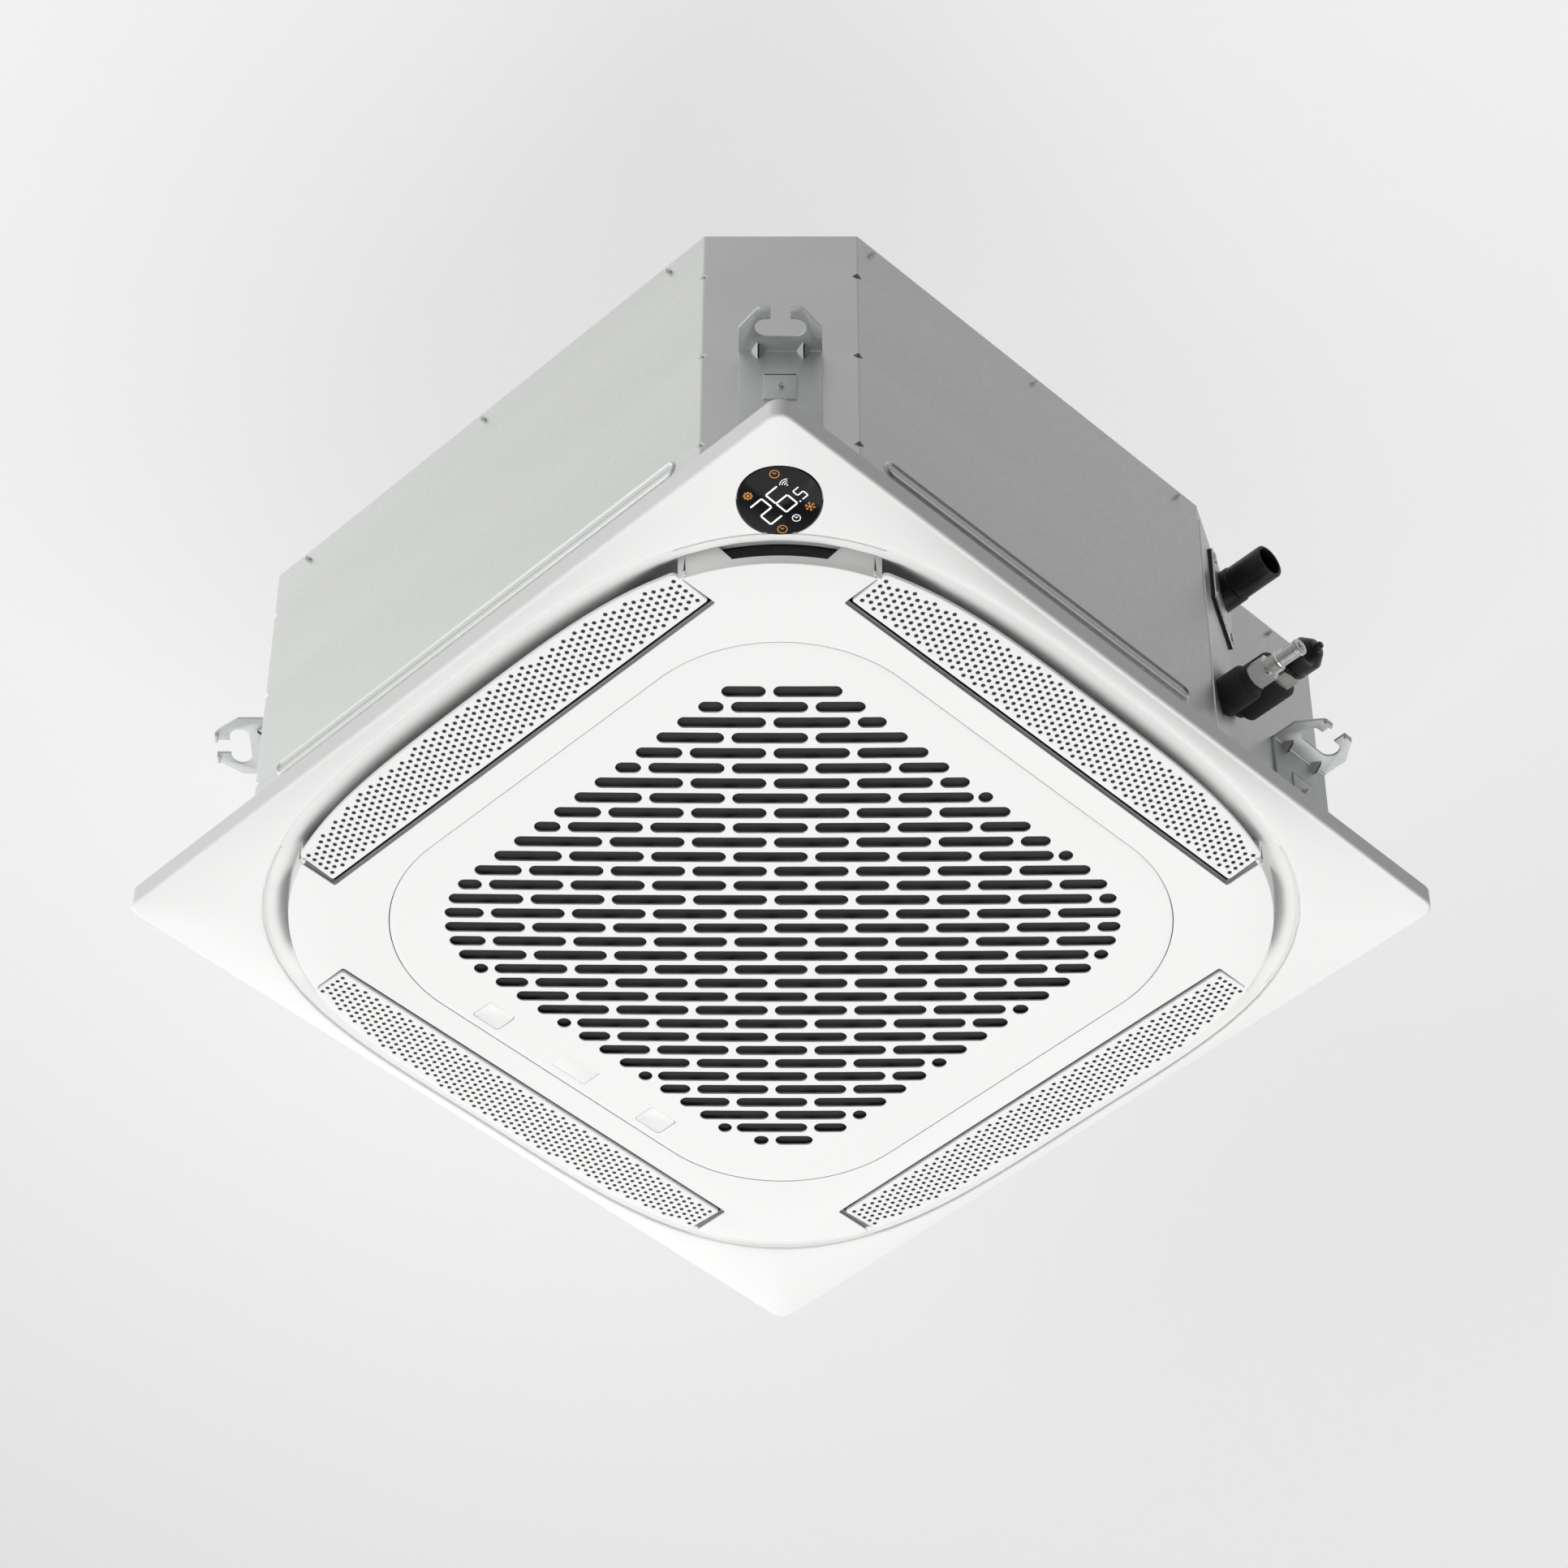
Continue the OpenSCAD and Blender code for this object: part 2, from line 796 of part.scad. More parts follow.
// A suspension bracket with its foot at the origin and X pointing out.
module hanger() color(galvanised) {
  w = hanger_w / 2;
  tip = w * tip_half_share;
  slot_x = slot_inset + slot_r;
  z0 = -hanger_t / 2;
  difference() {
    union() {
      translate([0, 0, z0]) linear_extrude(hanger_t) polygon([
        [0, -w], [hanger_reach * shoulder_share, -w],
        [hanger_reach - tip_chamfer, -tip - tip_chamfer], [hanger_reach, -tip],
        [hanger_reach, tip], [hanger_reach - tip_chamfer, tip + tip_chamfer],
        [hanger_reach * shoulder_share, w], [0, w]
      ]);
      block([0, -w, -leg_h], [hanger_t, w, z0 + hanger_t]);
      block(
        [0, -tab_w / 2, -tab_top_drop - tab_h],
        [hanger_t + tab_t, tab_w / 2, -tab_top_drop]
      );
      for (side = [-1, 1]) {
        translate([0, side * gusset_y + gusset_w / 2, 0]) rotate([90, 0, 0])
          linear_extrude(gusset_w) polygon([
            [0, 0], [hanger_t + gusset_l, 0], [hanger_t + gusset_l, z0],
            [hanger_t, z0 - gusset_l], [0, z0 - gusset_l]
          ]);
        block(
          [hanger_reach - hanger_t, min(side * lip_inner, side * lip_outer), z0 - lip_h],
          [hanger_reach, max(side * lip_inner, side * lip_outer), 0]
        );
      }
    }
    translate([slot_x, 0, -hanger_t]) rotate([0, 0, 90])
      stadium(rod_slot_l, 2 * slot_r, 2 * hanger_t);
    block(
      [slot_x, -rod_mouth / 2, -hanger_t - lip_h],
      [hanger_reach + overrun, rod_mouth / 2, hanger_t]
    );
    translate([0, 0, -tab_screw_drop]) screw_hole();
  }
}

module hanger_near() at_near_corner() hanger();
module hanger_left() at_left_corner() hanger();
module hanger_far() at_far_corner() hanger();
module hanger_right() at_right_corner() hanger();

// A screw whose head sits at x on its sheet.
module screw(x, shank_l) {
  rod_x(screw_head_r, x, x + screw_head_h, 0, 0);
  rod_x(screw_shank_r, x - shank_l, x + overrun, 0, 0);
}

module hanger_screws() color(nickel) {
  face = hanger_t + tab_t;
  each_hanger() translate([0, 0, -tab_screw_drop]) screw(face, face + sheet_t + foam_t / 2);
}

module casing_screws() color(nickel) {
  each_casing_screw() screw(0, screw_shank_l);
}

module pipe_plate() color(galvanised) {
  difference() {
    at_slant() block(
      [0, plate_margin, plate_z0],
      [sheet_t, slant_len - plate_margin, casing_h - plate_top_drop]
    );
    rod_x(drain_d / 2 + gap, stub_start, stub_end, drain_y, drain_z);
    rod_x(gas_d / 2 + gap, stub_start, stub_end, gas_y, gas_z);
    rod_x(liquid_d / 2 + gap, stub_start, stub_end, liquid_y, liquid_z);
    each_flange_screw() rod_x(flange_screw_r + fit, -gasket_t, 2 * gasket_t, 0, 0);
  }
}

// Every screw of the drain flange, with X out of the slanted wall.
module each_flange_screw() {
  for (y = [gasket_start + flange_screw_inset, gasket_start + gasket_w - flange_screw_inset])
    for (z = [drain_z - gasket_below + flange_screw_inset,
              drain_z + gasket_above - flange_screw_inset])
      at_slant() translate([0, y, z]) children();
}

module drain_sheet(x0, x1, hole_r) {
  difference() {
    at_slant() block(
      [x0, gasket_start, drain_z - gasket_below],
      [x1, gasket_start + gasket_w, drain_z + gasket_above]
    );
    rod_x(hole_r, stub_start, stub_end, drain_y, drain_z);
    each_flange_screw() rod_x(flange_screw_r + fit, -gasket_t, 3 * gasket_t, 0, 0);
  }
}

module drain_gasket() color(black_foam) {
  drain_sheet(sheet_t, sheet_t + gasket_t, drain_d / 2 + gap);
}

module drain_flange() color(galvanised) {
  face = 2 * sheet_t + gasket_t;
  drain_sheet(sheet_t + gasket_t, face, stub_collar_r + gap);
  each_flange_screw() {
    rod_x(2 * flange_screw_r, face, face + sheet_t, 0, 0);
    rod_x(flange_screw_r, 0, face + sheet_t, 0, 0);
  }
}

// The evaporator's top and bottom
coil_z0 = pan_floor + gap;
coil_z1 = plate_z - foam_t - 2 * gap;

module evaporator_fins() color([0.8, 0.82, 0.84]) {
  inner = coil_half - coil_t;
  difference() {
    round_square(coil_half, coil_corner_r, coil_z0, coil_z1);
    round_square(inner, coil_corner_r - coil_t, coil_z0 - overrun, coil_z1 + overrun);
    block(
      [coil_end, coil_end, coil_z0 - overrun],
      [coil_half + overrun, coil_half + overrun, coil_z1 + overrun]
    );
    block(
      [coil_half - coil_t - overrun, coil_end, coil_z0 - overrun],
      [coil_half + overrun, coil_half, coil_z1 + overrun]
    );
    block(
      [coil_end, coil_half - coil_t - overrun, coil_z0 - overrun],
      [coil_half, coil_half + overrun, coil_z1 + overrun]
    );
  }
}

// Depths of the two rows of tubes in the coil
inner_row = coil_half - coil_t * (1 - row_share);
outer_row = coil_half - coil_t * row_share;
bend_face = coil_end + coil_end_plate_t;

// A return bend that stands out along Y and joins two tubes a pitch apart.
module return_bend(x, y, z) {
  translate([x, y, z]) rotate([0, -90, 0]) rotate_extrude(angle = 180)
    translate([tube_pitch / 2, 0]) circle(tube_r);
}

module return_bends() color(copper) {
  for (i = [-1:2])
    return_bend(inner_row, bend_face, liquid_z + (2 * i + 1) * tube_pitch);
  mirror([1, -1, 0]) for (x = [inner_row, outer_row]) for (i = [-1:3])
    return_bend(x, bend_face, liquid_z + 2 * i * tube_pitch);
}

module coil_end_plates() color(galvanised) {
  low = coil_half - coil_t - coil_plate_over;
  for (flip = [0, 1]) mirror([flip, -flip, 0])
    block([low, coil_end, coil_z0], [coil_half, bend_face, coil_z1]);
  partition();
}

// The diagonal sheet that closes the ring between the two coil ends.
module partition() {
  a = coil_half - coil_t - coil_plate_over;
  b = bend_face;
  prism([
    [a, b - coil_end_plate_t], [a, b], [b, a], [b - coil_end_plate_t, a]
  ], coil_z0, coil_z1);
}

// Heights of the fan
wheel_z0 = bell_h + bell_lip_h - inlet_overlap;
shroud_z0 = wheel_z0 + inlet_ring_h;
wheel_top = shroud_z0 + wheel_h;
inlet_r = throat_r + bell_t + inlet_gap;
dish_z = wheel_top - dish_h;
hub_z0 = dish_z - hub_h + hub_rise;
shaft_z0 = hub_z0 - shaft_below;
boss_z0 = dish_z + hub_rise + overrun;
motor_z0 = boss_z0 + motor_boss_h;
motor_z1 = motor_z0 + motor_h;

module each_motor_ear() {
  for (turn = [45:90:315]) rotate([0, 0, turn]) translate([motor_ear_r, 0, 0]) children();
}

module fan_motor() color([0.55, 0.56, 0.57]) {
  difference() {
    union() {
      rod_z(motor_r, 0, 0, motor_z0, motor_z1);
      rod_z(motor_boss_r, 0, 0, boss_z0, motor_z0 + overrun);
      each_motor_ear() rod_z(motor_ear_w / 2, 0, 0, motor_z1 - motor_ear_t, motor_z1);
      for (turn = [45, 135]) rotate([0, 0, turn]) block(
        [-motor_ear_r, -motor_ear_w / 2, motor_z1 - motor_ear_t],
        [motor_ear_r, motor_ear_w / 2, motor_z1]
      );
    }
    rod_z(shaft_d / 2 + fit, 0, 0, boss_z0 - overrun, motor_z1 - motor_h / 3);
    each_motor_ear() rod_z(bolt_r + fit, 0, 0, motor_z0, motor_z1 + overrun);
  }
}

module motor_shaft() color(nickel) {
  rod_z(shaft_d / 2, 0, 0, shaft_z0, motor_z1 - motor_h / 3 - gap);
}

module motor_mounts() color([0.12, 0.12, 0.12]) {
  each_motor_ear() difference() {
    rod_z(mount_r, 0, 0, motor_z1, plate_z - gap);
    rod_z(bolt_r + fit, 0, 0, motor_z1 - overrun, plate_z + overrun);
  }
}

module motor_bolts() color(nickel) {
  each_motor_ear() {
    rod_z(bolt_r, 0, 0, motor_z1 - 2 * motor_ear_t, casing_h + overrun);
    translate([0, 0, casing_h])
      cylinder(d = bolt_head_af / cos(30), h = bolt_head_h, $fn = 6);
  }
}

// Section of the shroud at an angle, a wall's depth below its flow side.
function shroud_point(turn, depth) = [
  inlet_r + depth * cos(turn) + (wheel_d / 2 - inlet_r) * (1 - cos(turn)),
  shroud_z0 - depth * sin(turn) + shroud_h * sin(turn)
];

// One blade's plan: a band that sweeps back from the inner to the outer radius.
function blade_edge(turn0) = [
  for (share = [0:0.125:1])
    let (r = lerp(blade_start_r, wheel_d / 2 - wheel_t / 2, share), a = turn0 - blade_sweep * share)
    [r * cos(a), r * sin(a)]
];

module fan_wheel() color([0.2, 0.21, 0.22]) {
  turns = [0:15:90];
  blade_turn = wheel_t / blade_start_r * 180 / PI;
  back = blade_edge(blade_turn);
  difference() {
    union() {
      rotate_extrude() polygon(concat(
        [[inlet_r, wheel_z0]],
        [for (turn = turns) shroud_point(turn, 0)],
        [for (turn = turns) shroud_point(90 - turn, wheel_t)],
        [[inlet_r + wheel_t, wheel_z0]]
      ));
      rotate_extrude() polygon([
        [0, dish_z], [dish_bottom_r, dish_z], [dish_r, wheel_top - wheel_t],
        [wheel_d / 2, wheel_top - wheel_t], [wheel_d / 2, wheel_top], [dish_r, wheel_top],
        [dish_bottom_r, dish_z + wheel_t], [0, dish_z + wheel_t]
      ]);
      rod_z(hub_r, 0, 0, hub_z0, dish_z + hub_rise);
      intersection() {
        for (i = [0:blade_count - 1]) rotate([0, 0, i * 360 / blade_count])
          prism(concat(
            blade_edge(0), [for (k = [len(back) - 1:-1:0]) back[k]]
          ), shroud_z0, wheel_top - wheel_t / 2);
        rotate_extrude() polygon(concat(
          [[inlet_r - overrun, shroud_z0 + wheel_t]],
          [for (turn = turns) shroud_point(turn, wheel_t / 2) + [overrun, 0]],
          [[wheel_d / 2, wheel_top], [hub_r, wheel_top], [hub_r, shroud_z0 + wheel_t]]
        ));
      }
    }
    rod_z(shaft_d / 2 + fit, 0, 0, hub_z0 - overrun, dish_z + hub_rise + overrun);
  }
}

module fan_nut() color(nickel) {
  translate([0, 0, hub_z0 - nut_h]) difference() {
    cylinder(d = nut_af / cos(30), h = nut_h, $fn = 6);
    translate([0, 0, -overrun]) cylinder(r = shaft_d / 2 + fit, h = nut_h + 2 * overrun);
  }
}

module bell_mouth() color(white_abs) {
  run = bell_r - throat_r;
  curve = [for (turn = [0:10:90]) [bell_r - run * sin(turn), bell_h * (1 - cos(turn))]];
  back = [
    for (turn = [90:-10:0])
      [bell_r - run * sin(turn) + bell_t * sin(turn), bell_h * (1 - cos(turn)) + bell_t * cos(turn)]
  ];
  translate([0, 0, pan_z0 - gap - bell_t]) rotate_extrude() polygon(concat(
    [[bell_r + bell_flange, bell_t], [bell_r + bell_flange, 0]],
    curve,
    [[throat_r, bell_h + bell_lip_h], [throat_r + bell_t, bell_h + bell_lip_h]],
    back
  ));
}

// The four outlet ducts, moved out of the outlet's edges by a margin.
module ducts(margin, z0, z1) {
  four_sides() block(
    [outlet_inner - margin, -outlet_len / 2 - margin, z0], [half, outlet_len / 2 + margin, z1]
  );
}

module drain_pan() color(polystyrene) {
  outer = coil_half + trough_margin;
  inner = coil_half - coil_t - trough_margin;
  difference() {
    prism(casing_outline(liner_in + gap), pan_z0, pan_h);
    ducts(0, pan_z0 - overrun, pan_h + overrun);
    difference() {
      round_square(outer, coil_corner_r, pan_floor, pan_h + overrun);
      round_square(inner, coil_corner_r - coil_t, pan_floor - overrun, pan_h + 2 * overrun);
    }
    block([coil_end, coil_end, pan_floor], [outer - trough_margin, outer - trough_margin, pan_h]);
    rod_z(bell_r + bell_t + gap, 0, 0, pan_z0 - overrun, pan_h + overrun);
    block(
      [-box_w / 2 - gap, -box_centre_y - box_d / 2 - gap, pan_z0 - overrun],
      [box_w / 2 + gap, -box_centre_y + box_d / 2 + gap, box_top + gap]
    );
    each_panel_screw() rod_z(
      panel_screw_r + gap, 0, 0, pan_z0 - overrun, panel_screw_l
    );
  }
}

module drain_pump() color([0.9, 0.9, 0.88]) {
  z0 = pan_floor + gap + pump_foot_h;
  z1 = z0 + volute_h;
  bore_z = z0 + volute_floor;
  nozzle_z = z1 - nozzle_drop;
  difference() {
    union() {
      rod_z(pump_r, pump_x, pump_y, z0, z1);
      rod_z(pump_motor_r, pump_x, pump_y, z1 - overrun, z1 + pump_motor_h);
      rod_y(hose_r, pump_x, drain_y + hose_low_bend, pump_y, nozzle_z);
      for (turn = [0:120:240]) translate([pump_x, pump_y, 0]) rotate([0, 0, turn])
        rod_z(pump_foot_r, pump_r - 2 * pump_foot_r, 0, pan_floor + gap, z0 + overrun);
    }
    rod_z(volute_bore_r, pump_x, pump_y, bore_z, bore_z + volute_bore_h);
    rod_z(pump_inlet_r, pump_x, pump_y, z0 - overrun, bore_z + overrun);
    rod_y(hose_r - hose_wall, pump_x, drain_y, pump_y, nozzle_z);
    rod_z(
      impeller_shaft_r + fit, pump_x, pump_y, bore_z, bore_z + impeller_lift + impeller_shaft_l + gap
    );
  }
}

module pump_impeller() color([0.25, 0.45, 0.6]) {
  z0 = pan_floor + gap + pump_foot_h + volute_floor + impeller_lift;
  rod_z(impeller_shaft_r, pump_x, pump_y, z0, z0 + impeller_shaft_l);
  rod_z(impeller_r, pump_x, pump_y, z0 + impeller_h - vane_t, z0 + impeller_h);
  translate([pump_x, pump_y, 0]) for (turn = [0, 60, 120]) rotate([0, 0, turn])
    block([-impeller_r, -vane_t / 2, z0], [impeller_r, vane_t / 2, z0 + impeller_h]);
}

module float_stem() color(white_abs) {
  z0 = pan_floor + gap;
  rod_z(stem_r, float_x, float_y, z0, z0 + stem_h);
  rod_z(stem_stop_r, float_x, float_y, z0, z0 + stem_foot_h);
  rod_z(stem_stop_r, float_x, float_y, z0 + stem_h - overrun, z0 + stem_h + stem_stop_h);
}

module pump_float() color([0.85, 0.35, 0.2]) {
  z0 = pan_floor + 2 * gap + stem_foot_h;
  difference() {
    rod_z(float_r, float_x, float_y, z0, z0 + float_h);
    rod_z(stem_r + float_clear, float_x, float_y, z0 - overrun, z0 + float_h + overrun);
  }
}

// A quarter bend of tube that starts at the origin along +X and ends along +Y.
module quarter_bend(bend_r, r, wall) {
  translate([0, bend_r, 0]) rotate([0, 0, -90]) rotate_extrude(angle = 90)
    translate([bend_r, 0]) difference() {
      circle(r);
      if (wall > 0) circle(r - wall);
    }
}

module tube_z(r, wall, x, y, z0, z1) {
  difference() {
    rod_z(r, x, y, z0, z1);
    rod_z(r - wall, x, y, z0 - overrun, z1 + overrun);
  }
}

module tube_x(r, wall, x0, x1, y, z) {
  difference() {
    rod_x(r, x0, x1, y, z);
    rod_x(r - wall, x0 - overrun, x1 + overrun, y, z);
  }
}

module drain_hose() color(black_foam) {
  z0 = pan_floor + gap + pump_foot_h + volute_h - nozzle_drop;
  z1 = drain_z - hose_high_bend;
  translate([pump_x, drain_y + hose_low_bend, z0]) rotate([90, 0, -90])
    quarter_bend(hose_low_bend, hose_r, hose_wall);
  tube_z(hose_r, hose_wall, pump_x, drain_y, z0 + hose_low_bend, z1);
  translate([pump_x, drain_y, z1]) rotate([90, -90, 180])
    quarter_bend(hose_high_bend, hose_r, hose_wall);
  tube_x(hose_r, hose_wall, pump_x + hose_high_bend, stub_start, drain_y, drain_z);
}

module drain_stub() color(black_foam) {
  difference() {
    union() {
      rod_x(drain_d / 2, stub_start, stub_end, drain_y, drain_z);
      difference() {
        rod_x(stub_collar_r, stub_start + hub_r, stub_collar_end, drain_y, drain_z);
        behind_slant(2 * sheet_t + gasket_t - sheet_t / 2);
      }
    }
    rod_x(drain_d / 2 - stub_wall, stub_start + stub_wall, stub_end + overrun, drain_y, drain_z);
    rod_x(hose_r - hose_wall, stub_start - overrun, stub_end, drain_y, drain_z);
  }
}

module refrigerant_pipe(x_end, row, y, z, bend_r, r, y_end) {
  rod_x(r, row + bend_r, x_end, y, z);
  translate([row, y - bend_r, z]) rotate([0, 0, 90]) mirror([0, 1, 0])
    quarter_bend(bend_r, r, 0);
  rod_y(r, row, y_end, y - bend_r, z);
}

module liquid_pipe() color(copper) {
  refrigerant_pipe(
    liquid_step_end, inner_row, liquid_y, liquid_z, liquid_bend_r, liquid_d / 2, bend_face
  );
  rod_y(distributor_r, inner_row, bend_face, bend_face + distributor_l, liquid_z);
}

module gas_pipe() color(copper) {
  header_y = bend_face + header_gap;
  refrigerant_pipe(
    gas_sleeve_end, outer_row, gas_y, gas_z, gas_bend_r, gas_d / 2, header_y
  );
  rod_z(header_r, outer_row, header_y, coil_z0 + header_margin, coil_z1 - header_margin);
  for (i = [-1:3])
    rod_y(tube_r, outer_row, bend_face, header_y, liquid_z + 2 * i * tube_pitch);
}

module liquid_sleeve() color(black_foam) {
  bore = liquid_d / 2 + fit;
  difference() {
    union() {
      rod_x(liquid_sleeve_d / 2, stub_start, liquid_sleeve_end, liquid_y, liquid_z);
      rod_x(liquid_step_r, liquid_sleeve_end - overrun, liquid_step_end, liquid_y, liquid_z);
    }
    rod_x(bore, stub_start - overrun, liquid_step_end + overrun, liquid_y, liquid_z);
    behind_slant(sheet_t);
  }
}

module hex_nut(x0, x1, y, z, across_flats, bore_r) {
  difference() {
    rod_x(across_flats / 2 / cos(30), x0, x1, y, z, 6);
    rod_x(bore_r, x0 - overrun, x1 + overrun, y, z);
  }
}

module liquid_nut() color(nickel) {
  hex_nut(
    liquid_step_end, liquid_nut_end, liquid_y, liquid_z, liquid_nut_af, liquid_d / 2 + fit
  );
}

module liquid_union() color(nickel) {
  rod_x(liquid_collar_r, liquid_nut_end, liquid_collar_end, liquid_y, liquid_z);
  rod_x(liquid_barrel_r, liquid_nut_end, liquid_barrel_end, liquid_y, liquid_z);
  difference() {
    rod_x(liquid_tip_r, liquid_barrel_end, liquid_tip_end, liquid_y, liquid_z);
    rod_x(liquid_d / 2, liquid_barrel_end + overrun, liquid_tip_end + overrun, liquid_y, liquid_z);
  }
}

module gas_sleeve() color(black_foam) {
  difference() {
    union() {
      rod_x(gas_neck_r, stub_start, gas_sleeve_start + overrun, gas_y, gas_z);
      rod_x(gas_sleeve_d / 2, gas_sleeve_start, gas_sleeve_end, gas_y, gas_z);
    }
    rod_x(gas_d / 2 + fit, stub_start - overrun, gas_sleeve_end + overrun, gas_y, gas_z);
    behind_slant(sheet_t);
  }
}

module gas_nut() color(nickel) {
  hex_nut(gas_sleeve_end, gas_nut_end, gas_y, gas_z, gas_nut_af, gas_d / 2 + fit);
}

module gas_cap() color(black_foam) {
  rod_x(gas_cap_r, gas_nut_end, gas_cap_end, gas_y, gas_z);
  translate([gas_cap_end, gas_y, gas_z]) rotate([0, 90, 0])
    cylinder(r1 = gas_cap_r, r2 = gas_cap_tip_r, h = gas_cap_tip_end - gas_cap_end);
  rod_x(gas_nipple_r, gas_cap_tip_end - overrun, gas_nipple_end, gas_y, gas_z);
}

box_y0 = -box_centre_y - box_d / 2;
box_y1 = -box_centre_y + box_d / 2;
board_z1 = box_top - board_drop;

module electrical_box() color(galvanised) {
  difference() {
    block([-box_w / 2, box_y0, box_bottom], [box_w / 2, box_y1, box_top]);
    block(
      [box_t - box_w / 2, box_y0 + box_t, box_bottom - overrun],
      [box_w / 2 - box_t, box_y1 - box_t, box_top - box_t]
    );
  }
  for (x = [-1, 1]) for (y = [-1, 1]) rod_z(
    board_post_r, -board_inset + x * (board_w / 2 - board_post_r * 2),
    -box_centre_y + y * (board_d / 2 - board_post_r * 2), board_z1, box_top - box_t / 2
  );
}

module electrical_cover() color(galvanised) {
  block(
    [-box_w / 2, box_y0, box_bottom - gap - box_t],
    [box_w / 2, box_y1, box_bottom - gap]
  );
}

module control_board() color([0.1, 0.35, 0.2]) {
  z0 = board_z1 - board_t;
  block(
    [-board_inset - board_w / 2, -box_centre_y - board_d / 2, z0],
    [-board_inset + board_w / 2, -box_centre_y + board_d / 2, board_z1]
  );
  for (share = [-0.4, -0.2, 0, 0.2, 0.4]) block(
    [-board_inset + share * board_w - relay_w / 2, -box_centre_y - relay_w / 2, z0 - relay_h],
    [-board_inset + share * board_w + relay_w / 2, -box_centre_y + relay_w / 2, z0]
  );
}

module terminal_block() color([0.15, 0.15, 0.16]) {
  x0 = box_w / 2 - box_t - gap - terminal_d;
  z1 = box_top - box_t;
  difference() {
    block(
      [x0, -box_centre_y - board_d / 2, z1 - terminal_h],
      [x0 + terminal_d, -box_centre_y + board_d / 2, z1]
    );
    for (i = [0:terminal_count - 1]) rod_z(
      terminal_screw_r, x0 + terminal_d / 2,
      -box_centre_y + board_d * ((i + 0.5) / terminal_count - 0.5),
      z1 - terminal_h - overrun, z1 - terminal_h / 2
    );
  }
}

module cable_grommet() color(black_foam) {
  neck = grommet_r - grommet_lip;
  at_grommet() difference() {
    union() {
      rod_x(neck, -liner_in, grommet_lip, 0, 0);
      rod_x(grommet_r, gap, grommet_lip, 0, 0);
      rod_x(grommet_r, -shell_in - grommet_lip, -shell_in, 0, 0);
    }
    rod_x(grommet_bore_r, -liner_in - overrun, grommet_lip + overrun, 0, 0);
  }
}

// Puts children on the display's spot: Z points down out of the sloping bezel.
module at_display() {
  rotate([0, 0, -45]) translate([display_offset * sqrt(2), 0, -display_drop])
    rotate([0, 180 - display_slope, 0]) children();
}

module display_hole() {
  at_display() translate([0, 0, -2 * display_t])
    cylinder(d = display_d + 2 * display_seam, h = 4 * display_t);
}

module panel_bezel() color(white_abs) {
  sections = [for (angle = stations) bezel_section(angle)];
  count = len(stations);
  size = len(sections[0]);
  difference() {
    polyhedron(
      points = [
        for (i = [0:count - 1]) for (p = sections[i]) polar(p[0], stations[i], p[1])
      ],
      faces = [for (i = [0:count - 1]) for (f = band(i, (i + 1) % count, size)) f],
      convexity = 8
    );
    display_hole();
  }
}

// The sloping wall between the face and the lip at one corner.
module shoulder() {
  steps = 12;
  angles = [for (i = [0:steps]) lerp(shoulder_start, 90 - shoulder_start, i / steps)];
  sections = [for (angle = angles) shoulder_section(angle)];
  size = len(sections[0]);
  difference() {
    polyhedron(
      points = [for (i = [0:steps]) for (p = sections[i]) polar(p[0], angles[i], p[1])],
      faces = concat(
        [for (i = [0:steps - 1]) for (f = band(i, i + 1, size)) f],
        [[for (j = [0:size - 1]) j]],
        [[for (j = [size - 1:-1:0]) steps * size + j]]
      ),
      convexity = 6
    );
    rotate([0, 0, 45]) prism([
      [face_radius(45) + slot_near, corner_slot_w / 2 - slot_taper],
      [face_radius(45) + slot_near, slot_taper - corner_slot_w / 2],
      [face_radius(45) + slot_near + slot_far, -corner_slot_w / 2],
      [face_radius(45) + slot_near + slot_far, corner_slot_w / 2]
    ], -2 * face_drop, 0);
  }
}

// The height under which the face's walls may reach the lip
neck_z = -rim_h - lip_drop_side;
grille_half = grille_w / 2;
hinge_x = grille_half + hinge_reach;
hinge_z = panel_t - face_drop + hinge_eye_r + hinge_lift;
ledge_z = -10;
face_outline = [for (angle = stations) [for (c = polar(face_radius(angle), angle, 0)) c]];
neck_outline = [
  for (angle = stations) polar(lip_radius(angle) - duct_wall_run - gap, angle, 0)
];
pivot_x = outlet_inner + louver_gap + louver_pivot_inset;

function flat(points) = [for (p = points) [p[0], p[1]]];

